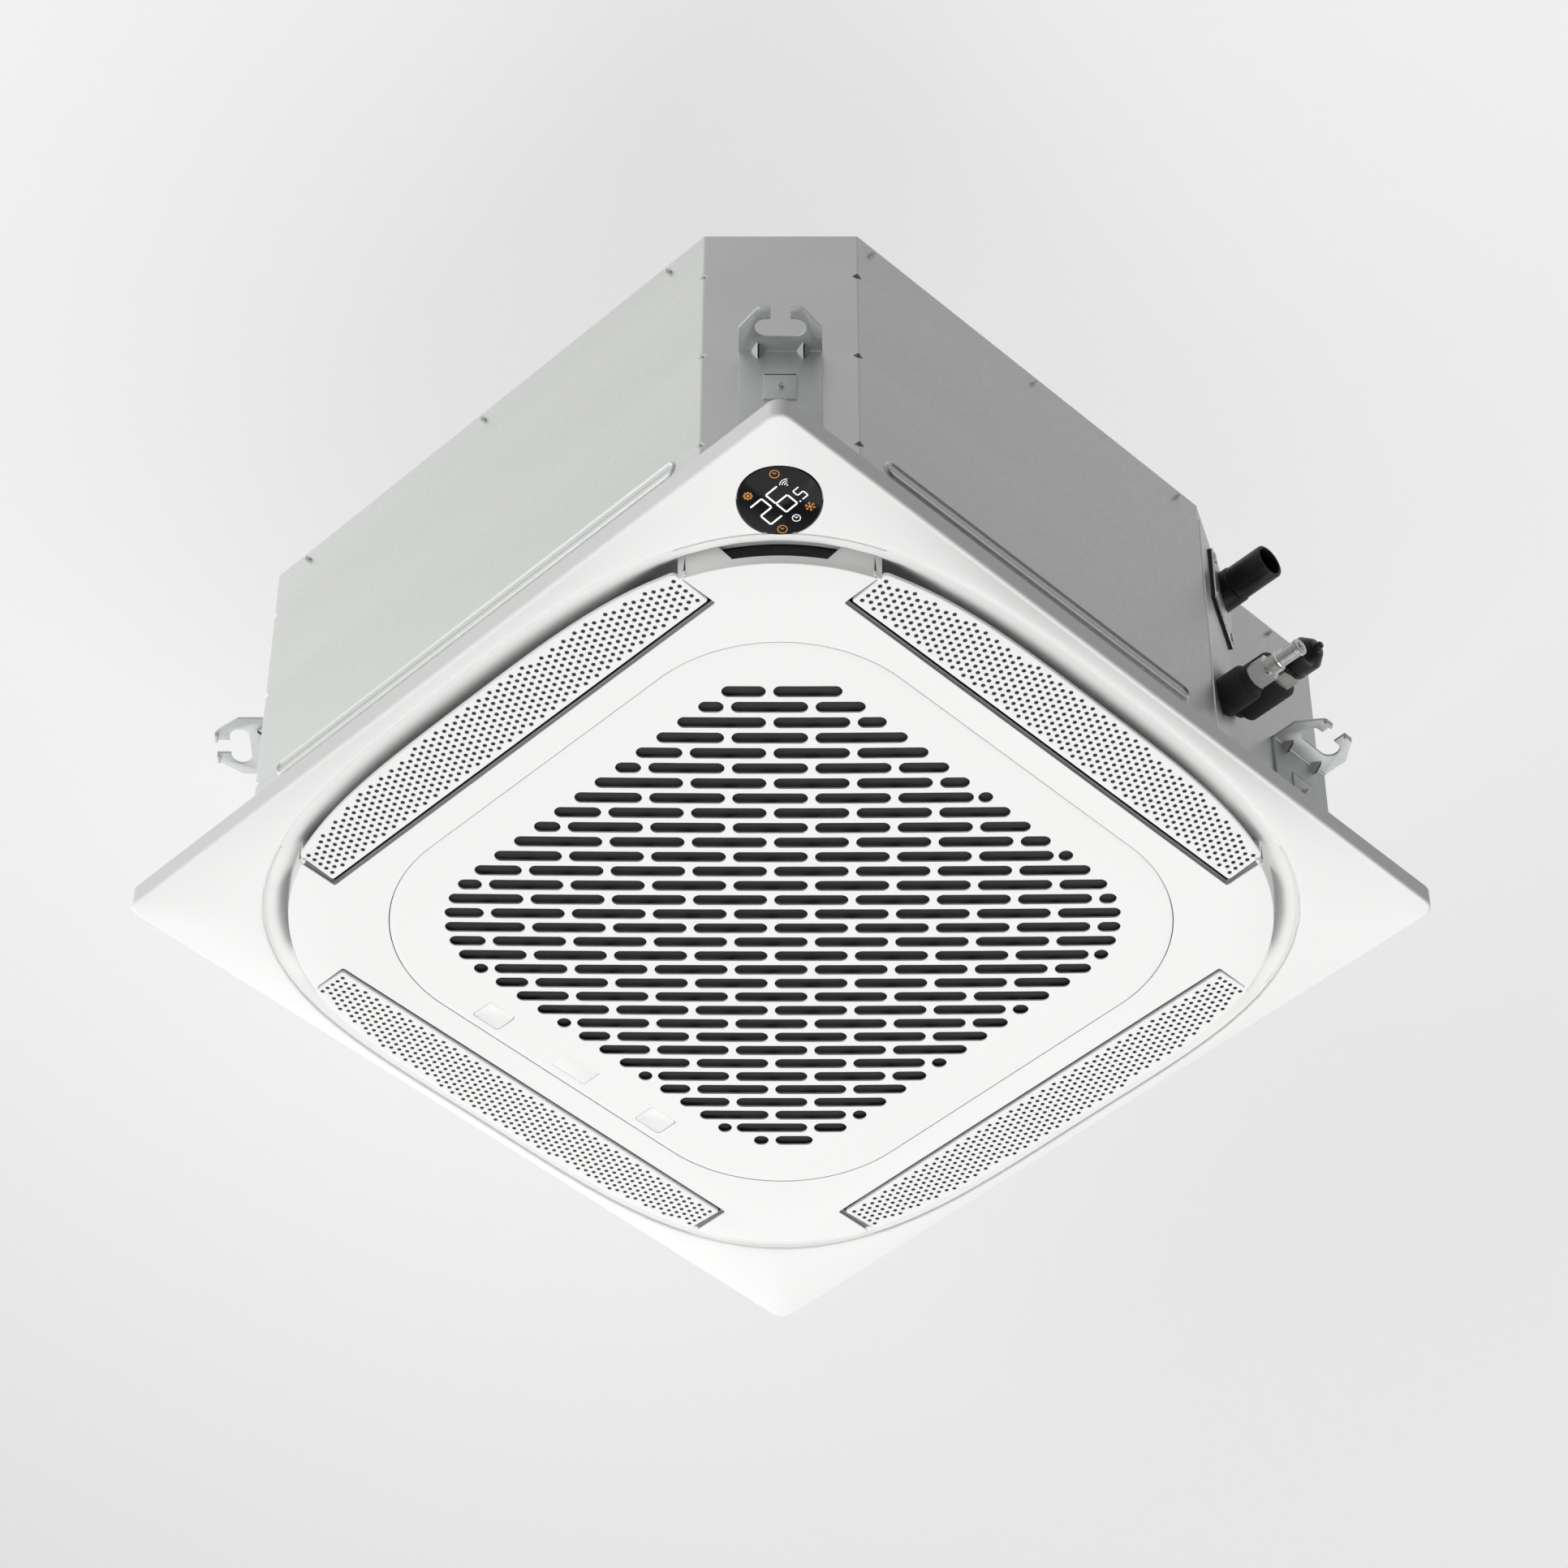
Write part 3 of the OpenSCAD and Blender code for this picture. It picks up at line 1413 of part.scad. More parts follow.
module panel_face() color(white_abs) {
  opening = grille_half + seam;
  difference() {
    union() {
      difference() {
        prism(flat(face_outline), -face_drop, panel_t - face_drop);
        four_sides() block(
          [outlet_inner, -outlet_len / 2, -face_drop - overrun],
          [panel_w / 2, outlet_len / 2, 0]
        );
      }
      intersection() {
        union() {
          prism(flat(face_outline), -face_drop, neck_z);
          prism(flat(neck_outline), neck_z - overrun, face_top);
        }
        four_sides() {
          block(
            [outlet_inner - panel_t, -outlet_len / 2 - panel_t, -face_drop + panel_t / 2],
            [outlet_inner, outlet_len / 2 + panel_t, face_top]
          );
          for (side = [0, 1]) mirror([0, side, 0]) block(
            [outlet_inner - panel_t, outlet_len / 2, -face_drop + panel_t / 2],
            [face_half, outlet_len / 2 + panel_t, face_top]
          );
        }
      }
      four_sides() shoulder();
      round_square(
        opening + panel_t, grille_corner_r + seam + panel_t, -face_drop + panel_t / 2,
        ledge_z + panel_t
      );
    }
    round_square(opening, grille_corner_r + seam, -2 * face_drop, ledge_z);
    round_square(ledge_half, ledge_r, ledge_z - overrun, overrun);
    four_sides() rod_y(
      louver_pin_r + fit, pivot_x, -panel_w / 2, panel_w / 2, -louver_pivot_drop
    );
    each_panel_screw() rod_z(panel_screw_r + fit, 0, 0, -face_drop, overrun);
    display_hole();
    for (side = [0, 1]) mirror([0, side, 0]) block(
      [opening - overrun, hinge_y - arm_gap, panel_t - face_drop],
      [opening + panel_t + overrun, hinge_y + hinge_w + arm_gap, ledge_z]
    );
  }
  for (side = [0, 1]) mirror([0, side, 0]) {
    for (y = [hinge_y - arm_gap - panel_t, hinge_y + hinge_w + arm_gap]) block(
      [hinge_x - hinge_eye_r, y, panel_t / 2 - face_drop],
      [outlet_inner - panel_t + overrun, y + panel_t, hinge_z + hinge_eye_r]
    );
    rod_y(
      hinge_pin_r, hinge_x, hinge_y - arm_gap - panel_t / 2,
      hinge_y + hinge_w + arm_gap + panel_t / 2, hinge_z
    );
  }
}

module panel_seal() color(foam_grey) {
  four_sides() block(
    [outlet_inner - seal_t, -outlet_len / 2, face_top + gap],
    [outlet_inner - gap, outlet_len / 2, pan_z0 - gap]
  );
}

// Every panel screw's place, in the corners of the intake.
module each_panel_screw() {
  for (turn = [45:90:315])
    rotate([0, 0, turn]) translate([panel_screw_reach, 0, 0]) children();
}

module panel_screws() color(nickel) {
  each_panel_screw() {
    rod_z(panel_screw_head_r, 0, 0, ledge_z - panel_screw_head_h, ledge_z);
    rod_z(panel_screw_r, 0, 0, ledge_z - overrun, ledge_z + panel_screw_l);
  }
}

// Distance from the centre to the face's edge, straight out at a place along the side.
function face_edge(y) = pow(pow(face_half, face_power) - pow(abs(y), face_power), 1 / face_power);

// The louver on the right side.
module louver() color(white_abs) {
  inner = outlet_inner + louver_gap;
  end = outlet_len / 2 - louver_end_gap;
  tilt = atan(louver_rise / (face_half - inner));
  curve = [
    for (share = [-1:0.1:1])
      let (y = share * (end - louver_outer_r))
      [face_edge(y) - inner, y]
  ];
  outer = face_edge(end) - inner - louver_outer_r;
  translate([inner, 0, -louver_inner_drop]) rotate([0, -tilt, 0]) linear_extrude(louver_t)
    polygon(concat(
      [
        [0, end - louver_inner_r], [0, louver_inner_r - end], [louver_inner_r, -end],
        [outer, -end]
      ],
      curve,
      [[outer, end], [louver_inner_r, end]]
    ));
  for (side = [0, 1]) mirror([0, side, 0]) {
    block(
      [pivot_x - ear_r, end - ear_w, -louver_inner_drop + (louver_t + louver_rise) / 2],
      [pivot_x + ear_r, end, -louver_pivot_drop]
    );
    rod_y(ear_r, pivot_x, end - ear_w, end, -louver_pivot_drop);
    rod_y(
      louver_pin_r, pivot_x, end - ear_w, outlet_len / 2 + panel_t + motor_pin_l,
      -louver_pivot_drop
    );
  }
}

module louver_right() louver();
module louver_back() rotate([0, 0, 90]) louver();
module louver_left() rotate([0, 0, 180]) louver();
module louver_front() rotate([0, 0, 270]) louver();

module louver_motors() color([0.75, 0.76, 0.78]) {
  y0 = outlet_len / 2 + panel_t + gap;
  four_sides() difference() {
    rod_y(
      motor_can_r, pivot_x - motor_offset_x, y0, y0 + motor_can_l,
      motor_offset_z - louver_pivot_drop
    );
    rod_y(
      louver_pin_r + fit, pivot_x, y0 - overrun, y0 + motor_pin_l + gap, -louver_pivot_drop
    );
  }
}

// Half length of the slotted field along a row that lies at u from the middle.
function row_half(u) =
  let (
    c = (field_half - field_corner_r) * sqrt(2),
    k = field_corner_r / sqrt(2)
  )
  abs(u) <= k ? c + sqrt(field_corner_r * field_corner_r - u * u)
  : abs(u) <= c + k ? field_half * sqrt(2) - abs(u)
  : abs(u) < c + field_corner_r ? sqrt(pow(field_corner_r, 2) - pow(abs(u) - c, 2))
  : 0;

row_count = floor((field_half - field_corner_r + field_corner_r / sqrt(2)) * sqrt(2) / row_pitch);
slots_each_way = ceil(field_half * sqrt(2) / slot_pitch) + 1;
row_shift_share = 0.374;

// Start and end of every slot along its row, with the row's place.
slots = [
  for (row = [-row_count:row_count])
    let (
      u = row * row_pitch,
      limit = row_half(u),
      shift = (row % 2 == 0 ? row_shift_share : row_shift_share - 0.5) * slot_pitch
    )
    for (k = [-slots_each_way:slots_each_way])
      let (
        middle = shift + k * slot_pitch,
        low = max(middle - slot_l / 2, -limit),
        high = min(middle + slot_l / 2, limit)
      )
      if (high - low >= slot_w) [low, high, u]
];

// Section of the grille's bulging underside, out from the middle.
function crown_points(z) = [
  [0, z],
  [grille_half / 2, z],
  [grille_half, z + grille_crown],
  [grille_half * 1.25, z + grille_crown]
];

module grille_slots() {
  rotate([0, 0, 45]) for (s = slots) translate([(s[0] + s[1]) / 2, -s[2], -2 * face_drop])
    stadium(s[1] - s[0], slot_w, 2 * face_drop);
}

module intake_grille() color(white_abs) {
  bottom = -face_drop - grille_crown;
  top = grille_t - face_drop;
  difference() {
    union() {
      intersection() {
        round_square(grille_half, grille_corner_r, bottom - overrun, top - rim_rebate);
        rotate_extrude() polygon(concat(
          crown_points(bottom), [[grille_half * 1.25, top], [0, top]]
        ));
      }
      round_square(
        grille_half - rim_rebate, grille_corner_r - rim_rebate, top - rim_rebate - overrun, top
      );
    }
    grille_slots();
    for (side = [0, 1]) mirror([0, side, 0]) latch_window();
    block(
      [latch_x - plate_w / 2 - plate_seam, -plate_l / 2 - plate_seam, -2 * face_drop],
      [latch_x + plate_w / 2 + plate_seam, plate_l / 2 + plate_seam, plate_t - face_drop]
    );
  }
}

// Bent arms that reach round the face's edge to the hinge pins.
module grille_hinges() color(galvanised) {
  inner = hinge_reach + arm_clear;
  top = grille_t - face_drop - hinge_z;
  for (side = [0, 1]) mirror([0, side, 0])
    translate([hinge_x, hinge_y + hinge_w, hinge_z]) rotate([90, 0, 0])
      linear_extrude(hinge_w) difference() {
        union() {
          circle(hinge_eye_r);
          translate([-arm_post_back, 0])
            square([arm_post_back + arm_post_front, inner + arm_t / 2]);
          intersection() {
            difference() {
              circle(inner + arm_t);
              circle(inner);
            }
            translate([-2 * inner, 0]) square([2 * inner + arm_post_front, 2 * inner]);
          }
          translate([-inner - arm_t, top]) square([arm_t, overrun - top]);
          translate([-inner - arm_foot_l, top]) square([arm_foot_l, arm_foot_t]);
        }
        circle(hinge_pin_r + fit);
      }
}

latch_x = latch_inset - grille_half;

module latch_window() {
  block(
    [latch_x - latch_w / 2 - latch_seam, latch_offset - latch_l / 2 - latch_seam, -2 * face_drop],
    [latch_x + latch_w / 2 + latch_seam, latch_offset + latch_l / 2 + latch_seam, 0]
  );
}

// A push latch: button, flange behind the grille and tongue towards the frame.
module latch() color(white_abs) {
  flange_z = grille_t - face_drop + gap;
  block(
    [latch_x - latch_w / 2, latch_offset - latch_l / 2, -face_drop],
    [latch_x + latch_w / 2, latch_offset + latch_l / 2, flange_z + overrun]
  );
  block(
    [latch_x - latch_w / 2 - latch_flange, latch_offset - latch_l / 2 - latch_flange, flange_z],
    [
      latch_x + latch_w / 2 - latch_flange, latch_offset + latch_l / 2 + latch_flange,
      flange_z + latch_flange_t
    ]
  );
  block(
    [
      latch_reach_gap - grille_half - seam, latch_offset - latch_tongue_w / 2,
      flange_z + latch_flange_t - overrun
    ],
    [latch_x, latch_offset + latch_tongue_w / 2, flange_z + latch_flange_t + latch_tongue_t]
  );
}

module latch_back() latch();
module latch_front() mirror([0, 1, 0]) latch();

module blank_plate() color(white_abs) {
  block(
    [latch_x - plate_w / 2, -plate_l / 2, -face_drop],
    [latch_x + plate_w / 2, plate_l / 2, plate_t - face_drop - gap]
  );
}

module air_filter() color([0.16, 0.16, 0.17]) {
  z0 = grille_t - face_drop + gap;
  z1 = z0 + filter_t;
  difference() {
    round_square(filter_half, filter_r, z0, z1);
    round_square(
      filter_half - filter_rim, filter_r - filter_rim, z0 + filter_mesh_t, z1 + overrun
    );
  }
  for (i = [1:mesh_ribs - 1]) {
    c = (2 * i / mesh_ribs - 1) * (filter_half - filter_rim);
    reach = filter_half - filter_r / 2;
    block([c - filter_rib_w / 2, -reach, z0], [c + filter_rib_w / 2, reach, z1]);
  }
}

module display_lens() color([0.04, 0.04, 0.05]) {
  at_display() translate([0, 0, -display_t]) cylinder(d = display_d, h = display_t);
}

module display_board() color([0.1, 0.35, 0.2]) {
  at_display() translate([0, 0, -display_t - display_board_gap - display_board_t])
    cylinder(d = display_d * 0.8, h = display_board_t);
}

top_plate();
side_shell();
foam_liner();
foam_top();
hanger_near();
hanger_left();
hanger_far();
hanger_right();
hanger_screws();
casing_screws();
pipe_plate();
drain_gasket();
drain_flange();
evaporator_fins();
return_bends();
coil_end_plates();
fan_motor();
motor_shaft();
motor_mounts();
motor_bolts();
fan_wheel();
fan_nut();
bell_mouth();
drain_pan();
drain_pump();
pump_impeller();
float_stem();
pump_float();
drain_hose();
drain_stub();
liquid_pipe();
liquid_sleeve();
liquid_nut();
liquid_union();
gas_pipe();
gas_sleeve();
gas_nut();
gas_cap();
electrical_box();
electrical_cover();
control_board();
terminal_block();
cable_grommet();
panel_bezel();
panel_face();
panel_seal();
louver_right();
louver_back();
louver_left();
louver_front();
louver_motors();
intake_grille();
grille_hinges();
air_filter();
latch_back();
latch_front();
blank_plate();
display_lens();
display_board();
panel_screws();
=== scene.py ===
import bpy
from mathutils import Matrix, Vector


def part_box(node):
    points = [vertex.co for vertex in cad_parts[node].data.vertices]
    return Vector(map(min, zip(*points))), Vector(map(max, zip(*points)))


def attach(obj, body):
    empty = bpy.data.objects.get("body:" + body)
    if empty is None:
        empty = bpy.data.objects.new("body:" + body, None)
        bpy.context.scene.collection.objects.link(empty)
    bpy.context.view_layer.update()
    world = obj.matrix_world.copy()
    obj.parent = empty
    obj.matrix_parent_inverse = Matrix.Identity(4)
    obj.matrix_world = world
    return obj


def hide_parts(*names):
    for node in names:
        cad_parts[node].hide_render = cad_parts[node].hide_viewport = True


bl_info = {
    "name": "Ceiling cassette air conditioner",
    "version": (1, 0, 0),
    "blender": (4, 5, 0),
    "location": "View3D > Sidebar > Cassette",
    "description": "Dresses the ceiling cassette's frame with its mouldings, metalwork and studio",
    "category": "Object",
}

import math

import bmesh
import bpy
from bpy.props import FloatProperty, FloatVectorProperty, IntProperty, PointerProperty
from mathutils import Matrix, Vector

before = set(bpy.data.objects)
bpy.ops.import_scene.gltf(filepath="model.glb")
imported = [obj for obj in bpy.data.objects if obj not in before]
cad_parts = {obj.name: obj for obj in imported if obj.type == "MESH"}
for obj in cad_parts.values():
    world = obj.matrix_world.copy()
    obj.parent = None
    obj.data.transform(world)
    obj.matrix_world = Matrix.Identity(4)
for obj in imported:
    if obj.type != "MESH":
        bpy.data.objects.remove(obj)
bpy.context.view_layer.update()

MM = 0.001
QUARTERS = (("right", 0), ("back", 90), ("left", 180), ("front", 270))


def length(name, description, millimetres):
    """A size that a user may change, kept in metres."""
    return FloatProperty(
        name=name, description=description, default=millimetres * MM, min=0.0,
        subtype="DISTANCE", unit="LENGTH", precision=5,
    )


def linear(code):
    """An sRGB hex colour as linear red, green, blue and alpha."""
    out = []
    for i in (1, 3, 5):
        c = int(code[i:i + 2], 16) / 255
        out.append(c / 12.92 if c <= 0.04045 else ((c + 0.055) / 1.055) ** 2.4)
    return (*out, 1.0)


def colour(name, description, code):
    """A finish's colour that a user may change."""
    return FloatVectorProperty(
        name=name, description=description, default=linear(code), size=4, subtype="COLOR",
        min=0.0, max=1.0,
    )


class BezelSizes(bpy.types.PropertyGroup):
    """Sizes of the square bezel and its round-cornered lip."""

    half: length("Half width", "From the centre to the bezel's side", 310)
    corner: length("Corner radius", "Radius of the bezel's corners", 10)
    rim: length("Rim height", "Height of the bezel's rim", 15)
    edge: length("Edge rounding", "Radius of the rim's lower edge", 2.5)
    wall: length("Wall", "Thickness of the moulding", 2.5)
    lip_half: length("Lip half width", "From the centre to the lip at the middle of a side", 298)
    lip_power: FloatProperty(name="Lip roundness", description="Power of the lip's curve", default=3.46)
    lip_side: length("Lip drop at a side", "Lip below the rim at the middle of a side", 3.6)
    lip_corner: length("Lip drop at a corner", "Lip below the rim at a corner", 8.5)
    duct: length("Duct run", "How far the outlet's wall runs inwards above the lip", 35)


class FaceSizes(bpy.types.PropertyGroup):
    """Sizes of the inner face around the intake."""

    drop: length("Drop", "Face below the ceiling plane", 31.4)
    half: length("Half width", "From the centre to the face's edge", 286.5)
    power: FloatProperty(name="Roundness", description="Power of the face's curve", default=3.28)
    outlet: length("Outlet edge", "From the centre to an outlet's inner edge", 236.5)
    outlet_half: length("Outlet half length", "Half the length of an outlet", 180)
    slot_lip: length("Slot at the lip", "Width of a corner slot on its lip side", 78)
    slot_face: length("Slot at the face", "Width of a corner slot on its face side", 59)


class LouverSizes(bpy.types.PropertyGroup):
    """Sizes of a louver and its perforations."""

    gap: length("Gap", "From the outlet's inner edge to the louver", 4)
    half: length("Half length", "Half the length of a louver", 177.5)
    thick: length("Thickness", "Thickness of a louver", 3)
    hole: length("Perforation", "Diameter of a perforation", 3.1)
    across: length("Pitch across", "Distance between perforations across the louver", 5.2)
    along: length("Pitch along", "Distance between rows of perforations", 5.08)
    margin: length("Margin", "Least distance from a perforation's centre to the edge", 3.4)
    power: FloatProperty(name="Roundness", description="Power of the louver's outer curve", default=3.5)


class GrilleSizes(bpy.types.PropertyGroup):
    """Sizes of the intake grille and its slots."""

    half: length("Half width", "From the centre to the grille's edge", 216)
    corner: length("Corner radius", "Radius of the grille's corners", 108)
    crown: length("Crown", "How far the middle bulges", 2.2)
    slot: length("Slot length", "Length of a full slot", 49.1)
    width: length("Slot width", "Width of a slot", 9.6)
    pitch: length("Slot pitch", "Distance between slots along a row", 53.77)
    row: length("Row pitch", "Distance between rows", 13.58)
    field: length("Field half width", "Half width of the slotted field", 178.5)
    field_corner: length("Field corner", "Corner radius of the slotted field", 66)
    ahead: length("Field shift", "Shift of the slotted field towards the display", 5.8)
    aside: length("Field side shift", "Shift of the slotted field towards the pipes", 1.1)
    least: length("Least slot", "Shortest piece of a slot that is kept", 5.5)
    rows: IntProperty(name="Rows each way", description="Rows on each side of the middle", default=16)


class CasingSizes(bpy.types.PropertyGroup):
    """Sizes of the galvanised casing."""

    half: length("Half width", "From the centre to the casing's side", 285)
    height: length("Height", "Height of the casing", 260)
    cut: length("Chamfer", "Length taken off a side at a corner", 71)
    bend: length("Bend radius", "Outer radius of the folded corners", 2.5)
    sheet: length("Sheet", "Thickness of the sheet", 1)
    bead: length("Bead width", "Height of the pressed bead", 14)
    bead_z: length("Bead place", "Height of the bead's middle", 50)


class HangerSizes(bpy.types.PropertyGroup):
    """Sizes of a suspension bracket."""

    place: length("Height", "Slotted plate above the ceiling plane", 141)
    width: length("Width", "Width of a bracket", 53.5)
    reach: length("Reach", "How far the plate reaches out", 38)
    leg: length("Leg", "Length of the leg on the casing", 95)
    slot: length("Slot length", "Length of the rod slot", 33)
    slot_r: length("Slot end radius", "Radius of the rod slot's ends", 7)
    slot_x: length("Slot place", "From the casing to the slot's middle", 21.2)
    mouth: length("Mouth", "Width of the mouth that lets the rod in", 12.5)
    gusset: length("Gusset place", "From the bracket's middle to a gusset", 14.6)
    tab_drop: length("Tab drop", "Screw tab below the plate", 25.6)
    tab: length("Tab height", "Height of the screw tab", 23.4)
    tab_w: length("Tab width", "Width of the screw tab", 21)


class FinishColours(bpy.types.PropertyGroup):
    """Colours of the finishes."""

    white: colour("White ABS", "Colour of the moulded panel", "#F3F3F2")
    zinc: colour("Galvanised steel", "Colour of the casing", "#E5E7E5")
    foam: colour("Black foam", "Colour of the pipe sleeves", "#191A1B")
    amber: colour("Amber signs", "Colour of the display's amber signs", "#B97A2E")
    backdrop: colour("Backdrop", "Colour of the pale backdrop", "#ECECEC")


class CassetteSettings(bpy.types.PropertyGroup):
    """Everything that a user may change."""

    bezel: PointerProperty(type=BezelSizes)
    face: PointerProperty(type=FaceSizes)
    louver: PointerProperty(type=LouverSizes)
    grille: PointerProperty(type=GrilleSizes)
    casing: PointerProperty(type=CasingSizes)
    hanger: PointerProperty(type=HangerSizes)
    finish: PointerProperty(type=FinishColours)


def settings():
    return bpy.context.scene.cassette


# Node trees

def node(tree, kind, values=None, links=None, **options):
    """Adds one node with its options, input values and input links."""
    made = tree.nodes.new(kind)
    for key, value in options.items():
        setattr(made, key, value)
    for key, value in (values or {}).items():
        made.inputs[key].default_value = value
    for key, source in (links or {}).items():
        tree.links.new(source, made.inputs[key])
    return made


def reckon(tree, operation, *given):
    """The output of a Math node on numbers and other nodes' outputs."""
    values = {k: v for k, v in enumerate(given) if not isinstance(v, bpy.types.NodeSocket)}
    links = {k: v for k, v in enumerate(given) if isinstance(v, bpy.types.NodeSocket)}
    return node(tree, "ShaderNodeMath", values, links, operation=operation).outputs[0]


def open_tree(name, inputs):
    """A Geometry Nodes tree with named inputs, as (tree, the inputs, their identifiers)."""
    tree = bpy.data.node_groups.new(name, "GeometryNodeTree")
    face = tree.interface
    face.new_socket(name="Geometry", in_out="INPUT", socket_type="NodeSocketGeometry")
    wanted = {}
    for label, kind in inputs:
        made = face.new_socket(name=label, in_out="INPUT", socket_type="NodeSocket" + kind)
        wanted[label] = made.identifier
    face.new_socket(name="Geometry", in_out="OUTPUT", socket_type="NodeSocketGeometry")
    return tree, node(tree, "NodeGroupInput").outputs, wanted


def carve(tree, body, tools):
    """A body with tools taken out of it, by the manifold solver where there is one."""
    holed = node(
        tree, "GeometryNodeMeshBoolean", links={"Mesh 1": body, "Mesh 2": tools},
        operation="DIFFERENCE",
    )
    if "MANIFOLD" in [i.identifier for i in holed.bl_rna.properties["solver"].enum_items]:
        holed.solver = "MANIFOLD"
    return holed.outputs["Mesh"]


def close_tree(tree, given, geometry):
    """Ends a tree with real instances in the finish that it is given."""
    real = node(tree, "GeometryNodeRealizeInstances", links={0: geometry})
    dressed = node(
        tree, "GeometryNodeSetMaterial",
        links={"Geometry": real.outputs[0], "Material": given["Finish"]},
    )
    node(tree, "NodeGroupOutput", links={0: dressed.outputs[0]})


def surface(name, values):
    """A material with one Principled shader, as (material, tree, shader)."""
    made = bpy.data.materials.new(name)
    made.use_nodes = True
    tree = made.node_tree
    tree.nodes.clear()
    shader = node(tree, "ShaderNodeBsdfPrincipled", values)
    node(tree, "ShaderNodeOutputMaterial", links={"Surface": shader.outputs["BSDF"]})
    return made, tree, shader


def roughen(tree, shader, place, scale, strength, distance, detail=2.0):
    """Gives a shader a grain of noise at a scale, as bump."""
    grain = node(
        tree, "ShaderNodeTexNoise", {"Scale": scale, "Detail": detail, "Roughness": 0.6},
        {"Vector": place},
    )
    bump = node(
        tree, "ShaderNodeBump", {"Strength": strength, "Distance": distance},
        {"Height": grain.outputs["Fac"]},
    )
    tree.links.new(bump.outputs["Normal"], shader.inputs["Normal"])
    return grain


def shade_between(tree, shader, factor, dark, light, socket="Base Color"):
    """Drives a colour between two values by a factor."""
    ramp = node(tree, "ShaderNodeValToRGB", links={"Fac": factor})
    ramp.color_ramp.elements[0].color = dark
    ramp.color_ramp.elements[1].color = light
    tree.links.new(ramp.outputs["Color"], shader.inputs[socket])
    return ramp


def rough_between(tree, shader, factor, low, high):
    """Drives the roughness between two values by a factor."""
    spread = node(
        tree, "ShaderNodeMapRange", {"From Min": 0.3, "From Max": 0.7, "To Min": low, "To Max": high},
        {"Value": factor},
    )
    tree.links.new(spread.outputs["Result"], shader.inputs["Roughness"])


def darker(code, share):
    """A linear colour scaled by a share."""
    return (*(c * share for c in code[:3]), 1.0)


FINISH = {}


def moulded_abs(name, base, rough):
    """Injection-moulded ABS from a spark-eroded tool: an even, soft sheen with a fine grain."""
    made, tree, shader = surface(name, {"Roughness": rough, "IOR": 1.53})
    place = node(tree, "ShaderNodeTexCoord").outputs["Object"]
    # Grain of 0.5 mm, coarser than the tool's real 0.1 mm so that it shows.
    grain = roughen(tree, shader, place, 2000.0, 0.10, 0.00005)
    tone = node(tree, "ShaderNodeTexNoise", {"Scale": 6.0, "Detail": 3.0}, {"Vector": place})
    shade_between(tree, shader, tone.outputs["Fac"], darker(base, 0.985), base)
    rough_between(tree, shader, grain.outputs["Fac"], rough - 0.04, rough + 0.05)
    return made


def zinc_sheet(name, base, rough):
    """Hot-dip galvanised steel, skin-passed: a half-matt grey metal with a fine, flat spangle."""
    made, tree, shader = surface(name, {"Metallic": 1.0, "Roughness": rough})
    place = node(tree, "ShaderNodeTexCoord").outputs["Object"]
    # Spangle grains of about 2.5 mm.
    cells = node(
        tree, "ShaderNodeTexVoronoi", {"Scale": 400.0, "Randomness": 1.0}, {"Vector": place},
        feature="F1",
    )
    fine = node(
        tree, "ShaderNodeTexNoise", {"Scale": 900.0, "Detail": 3.0, "Roughness": 0.7},
        {"Vector": place},
    )
    # A colour Mix keeps its colour sockets after its number and vector ones.
    mixed = node(
        tree, "ShaderNodeMix", {"Factor": 0.45},
        {6: cells.outputs["Color"], 7: fine.outputs["Color"]}, data_type="RGBA",
    )
    grey = node(tree, "ShaderNodeRGBToBW", links={"Color": mixed.outputs[2]})
    shade_between(tree, shader, grey.outputs["Val"], darker(base, 0.92), darker(base, 1.07))
    rough_between(tree, shader, grey.outputs["Val"], rough - 0.04, rough + 0.05)
    bump = node(
        tree, "ShaderNodeBump", {"Strength": 0.08, "Distance": 0.0001},
        {"Height": grey.outputs["Val"]},
    )
    tree.links.new(bump.outputs["Normal"], shader.inputs["Normal"])
    return made


def plated_metal(name, base, rough):
    """Bright plated or drawn metal: sharp reflections, slightly softened by handling marks."""
    made, tree, shader = surface(name, {"Metallic": 1.0, "Roughness": rough})
    place = node(tree, "ShaderNodeTexCoord").outputs["Object"]
    # Smudges of about 8 mm.
    smudge = node(
        tree, "ShaderNodeTexNoise", {"Scale": 120.0, "Detail": 4.0, "Roughness": 0.6},
        {"Vector": place},
    )
    shade_between(tree, shader, smudge.outputs["Fac"], darker(base, 0.88), base)
    rough_between(tree, shader, smudge.outputs["Fac"], rough * 0.7, rough * 1.5)
    return made


def cell_foam(name, base, rough):
    """Closed-cell elastomer foam: a dull skin with fine pores."""
    made, tree, shader = surface(
        name, {"Roughness": rough, "Sheen Weight": 0.15, "Sheen Roughness": 0.5}
    )
    place = node(tree, "ShaderNodeTexCoord").outputs["Object"]
    # Pores of about 1 mm.
    pores = node(
        tree, "ShaderNodeTexVoronoi", {"Scale": 1000.0}, {"Vector": place}, feature="F1"
    )
    bump = node(
        tree, "ShaderNodeBump", {"Strength": 0.35, "Distance": 0.0003},
        {"Height": pores.outputs["Distance"]},
    )
    tree.links.new(bump.outputs["Normal"], shader.inputs["Normal"])
    tone = node(tree, "ShaderNodeTexNoise", {"Scale": 60.0, "Detail": 4.0}, {"Vector": place})
    shade_between(tree, shader, tone.outputs["Fac"], darker(base, 0.8), darker(base, 1.25))
    return made


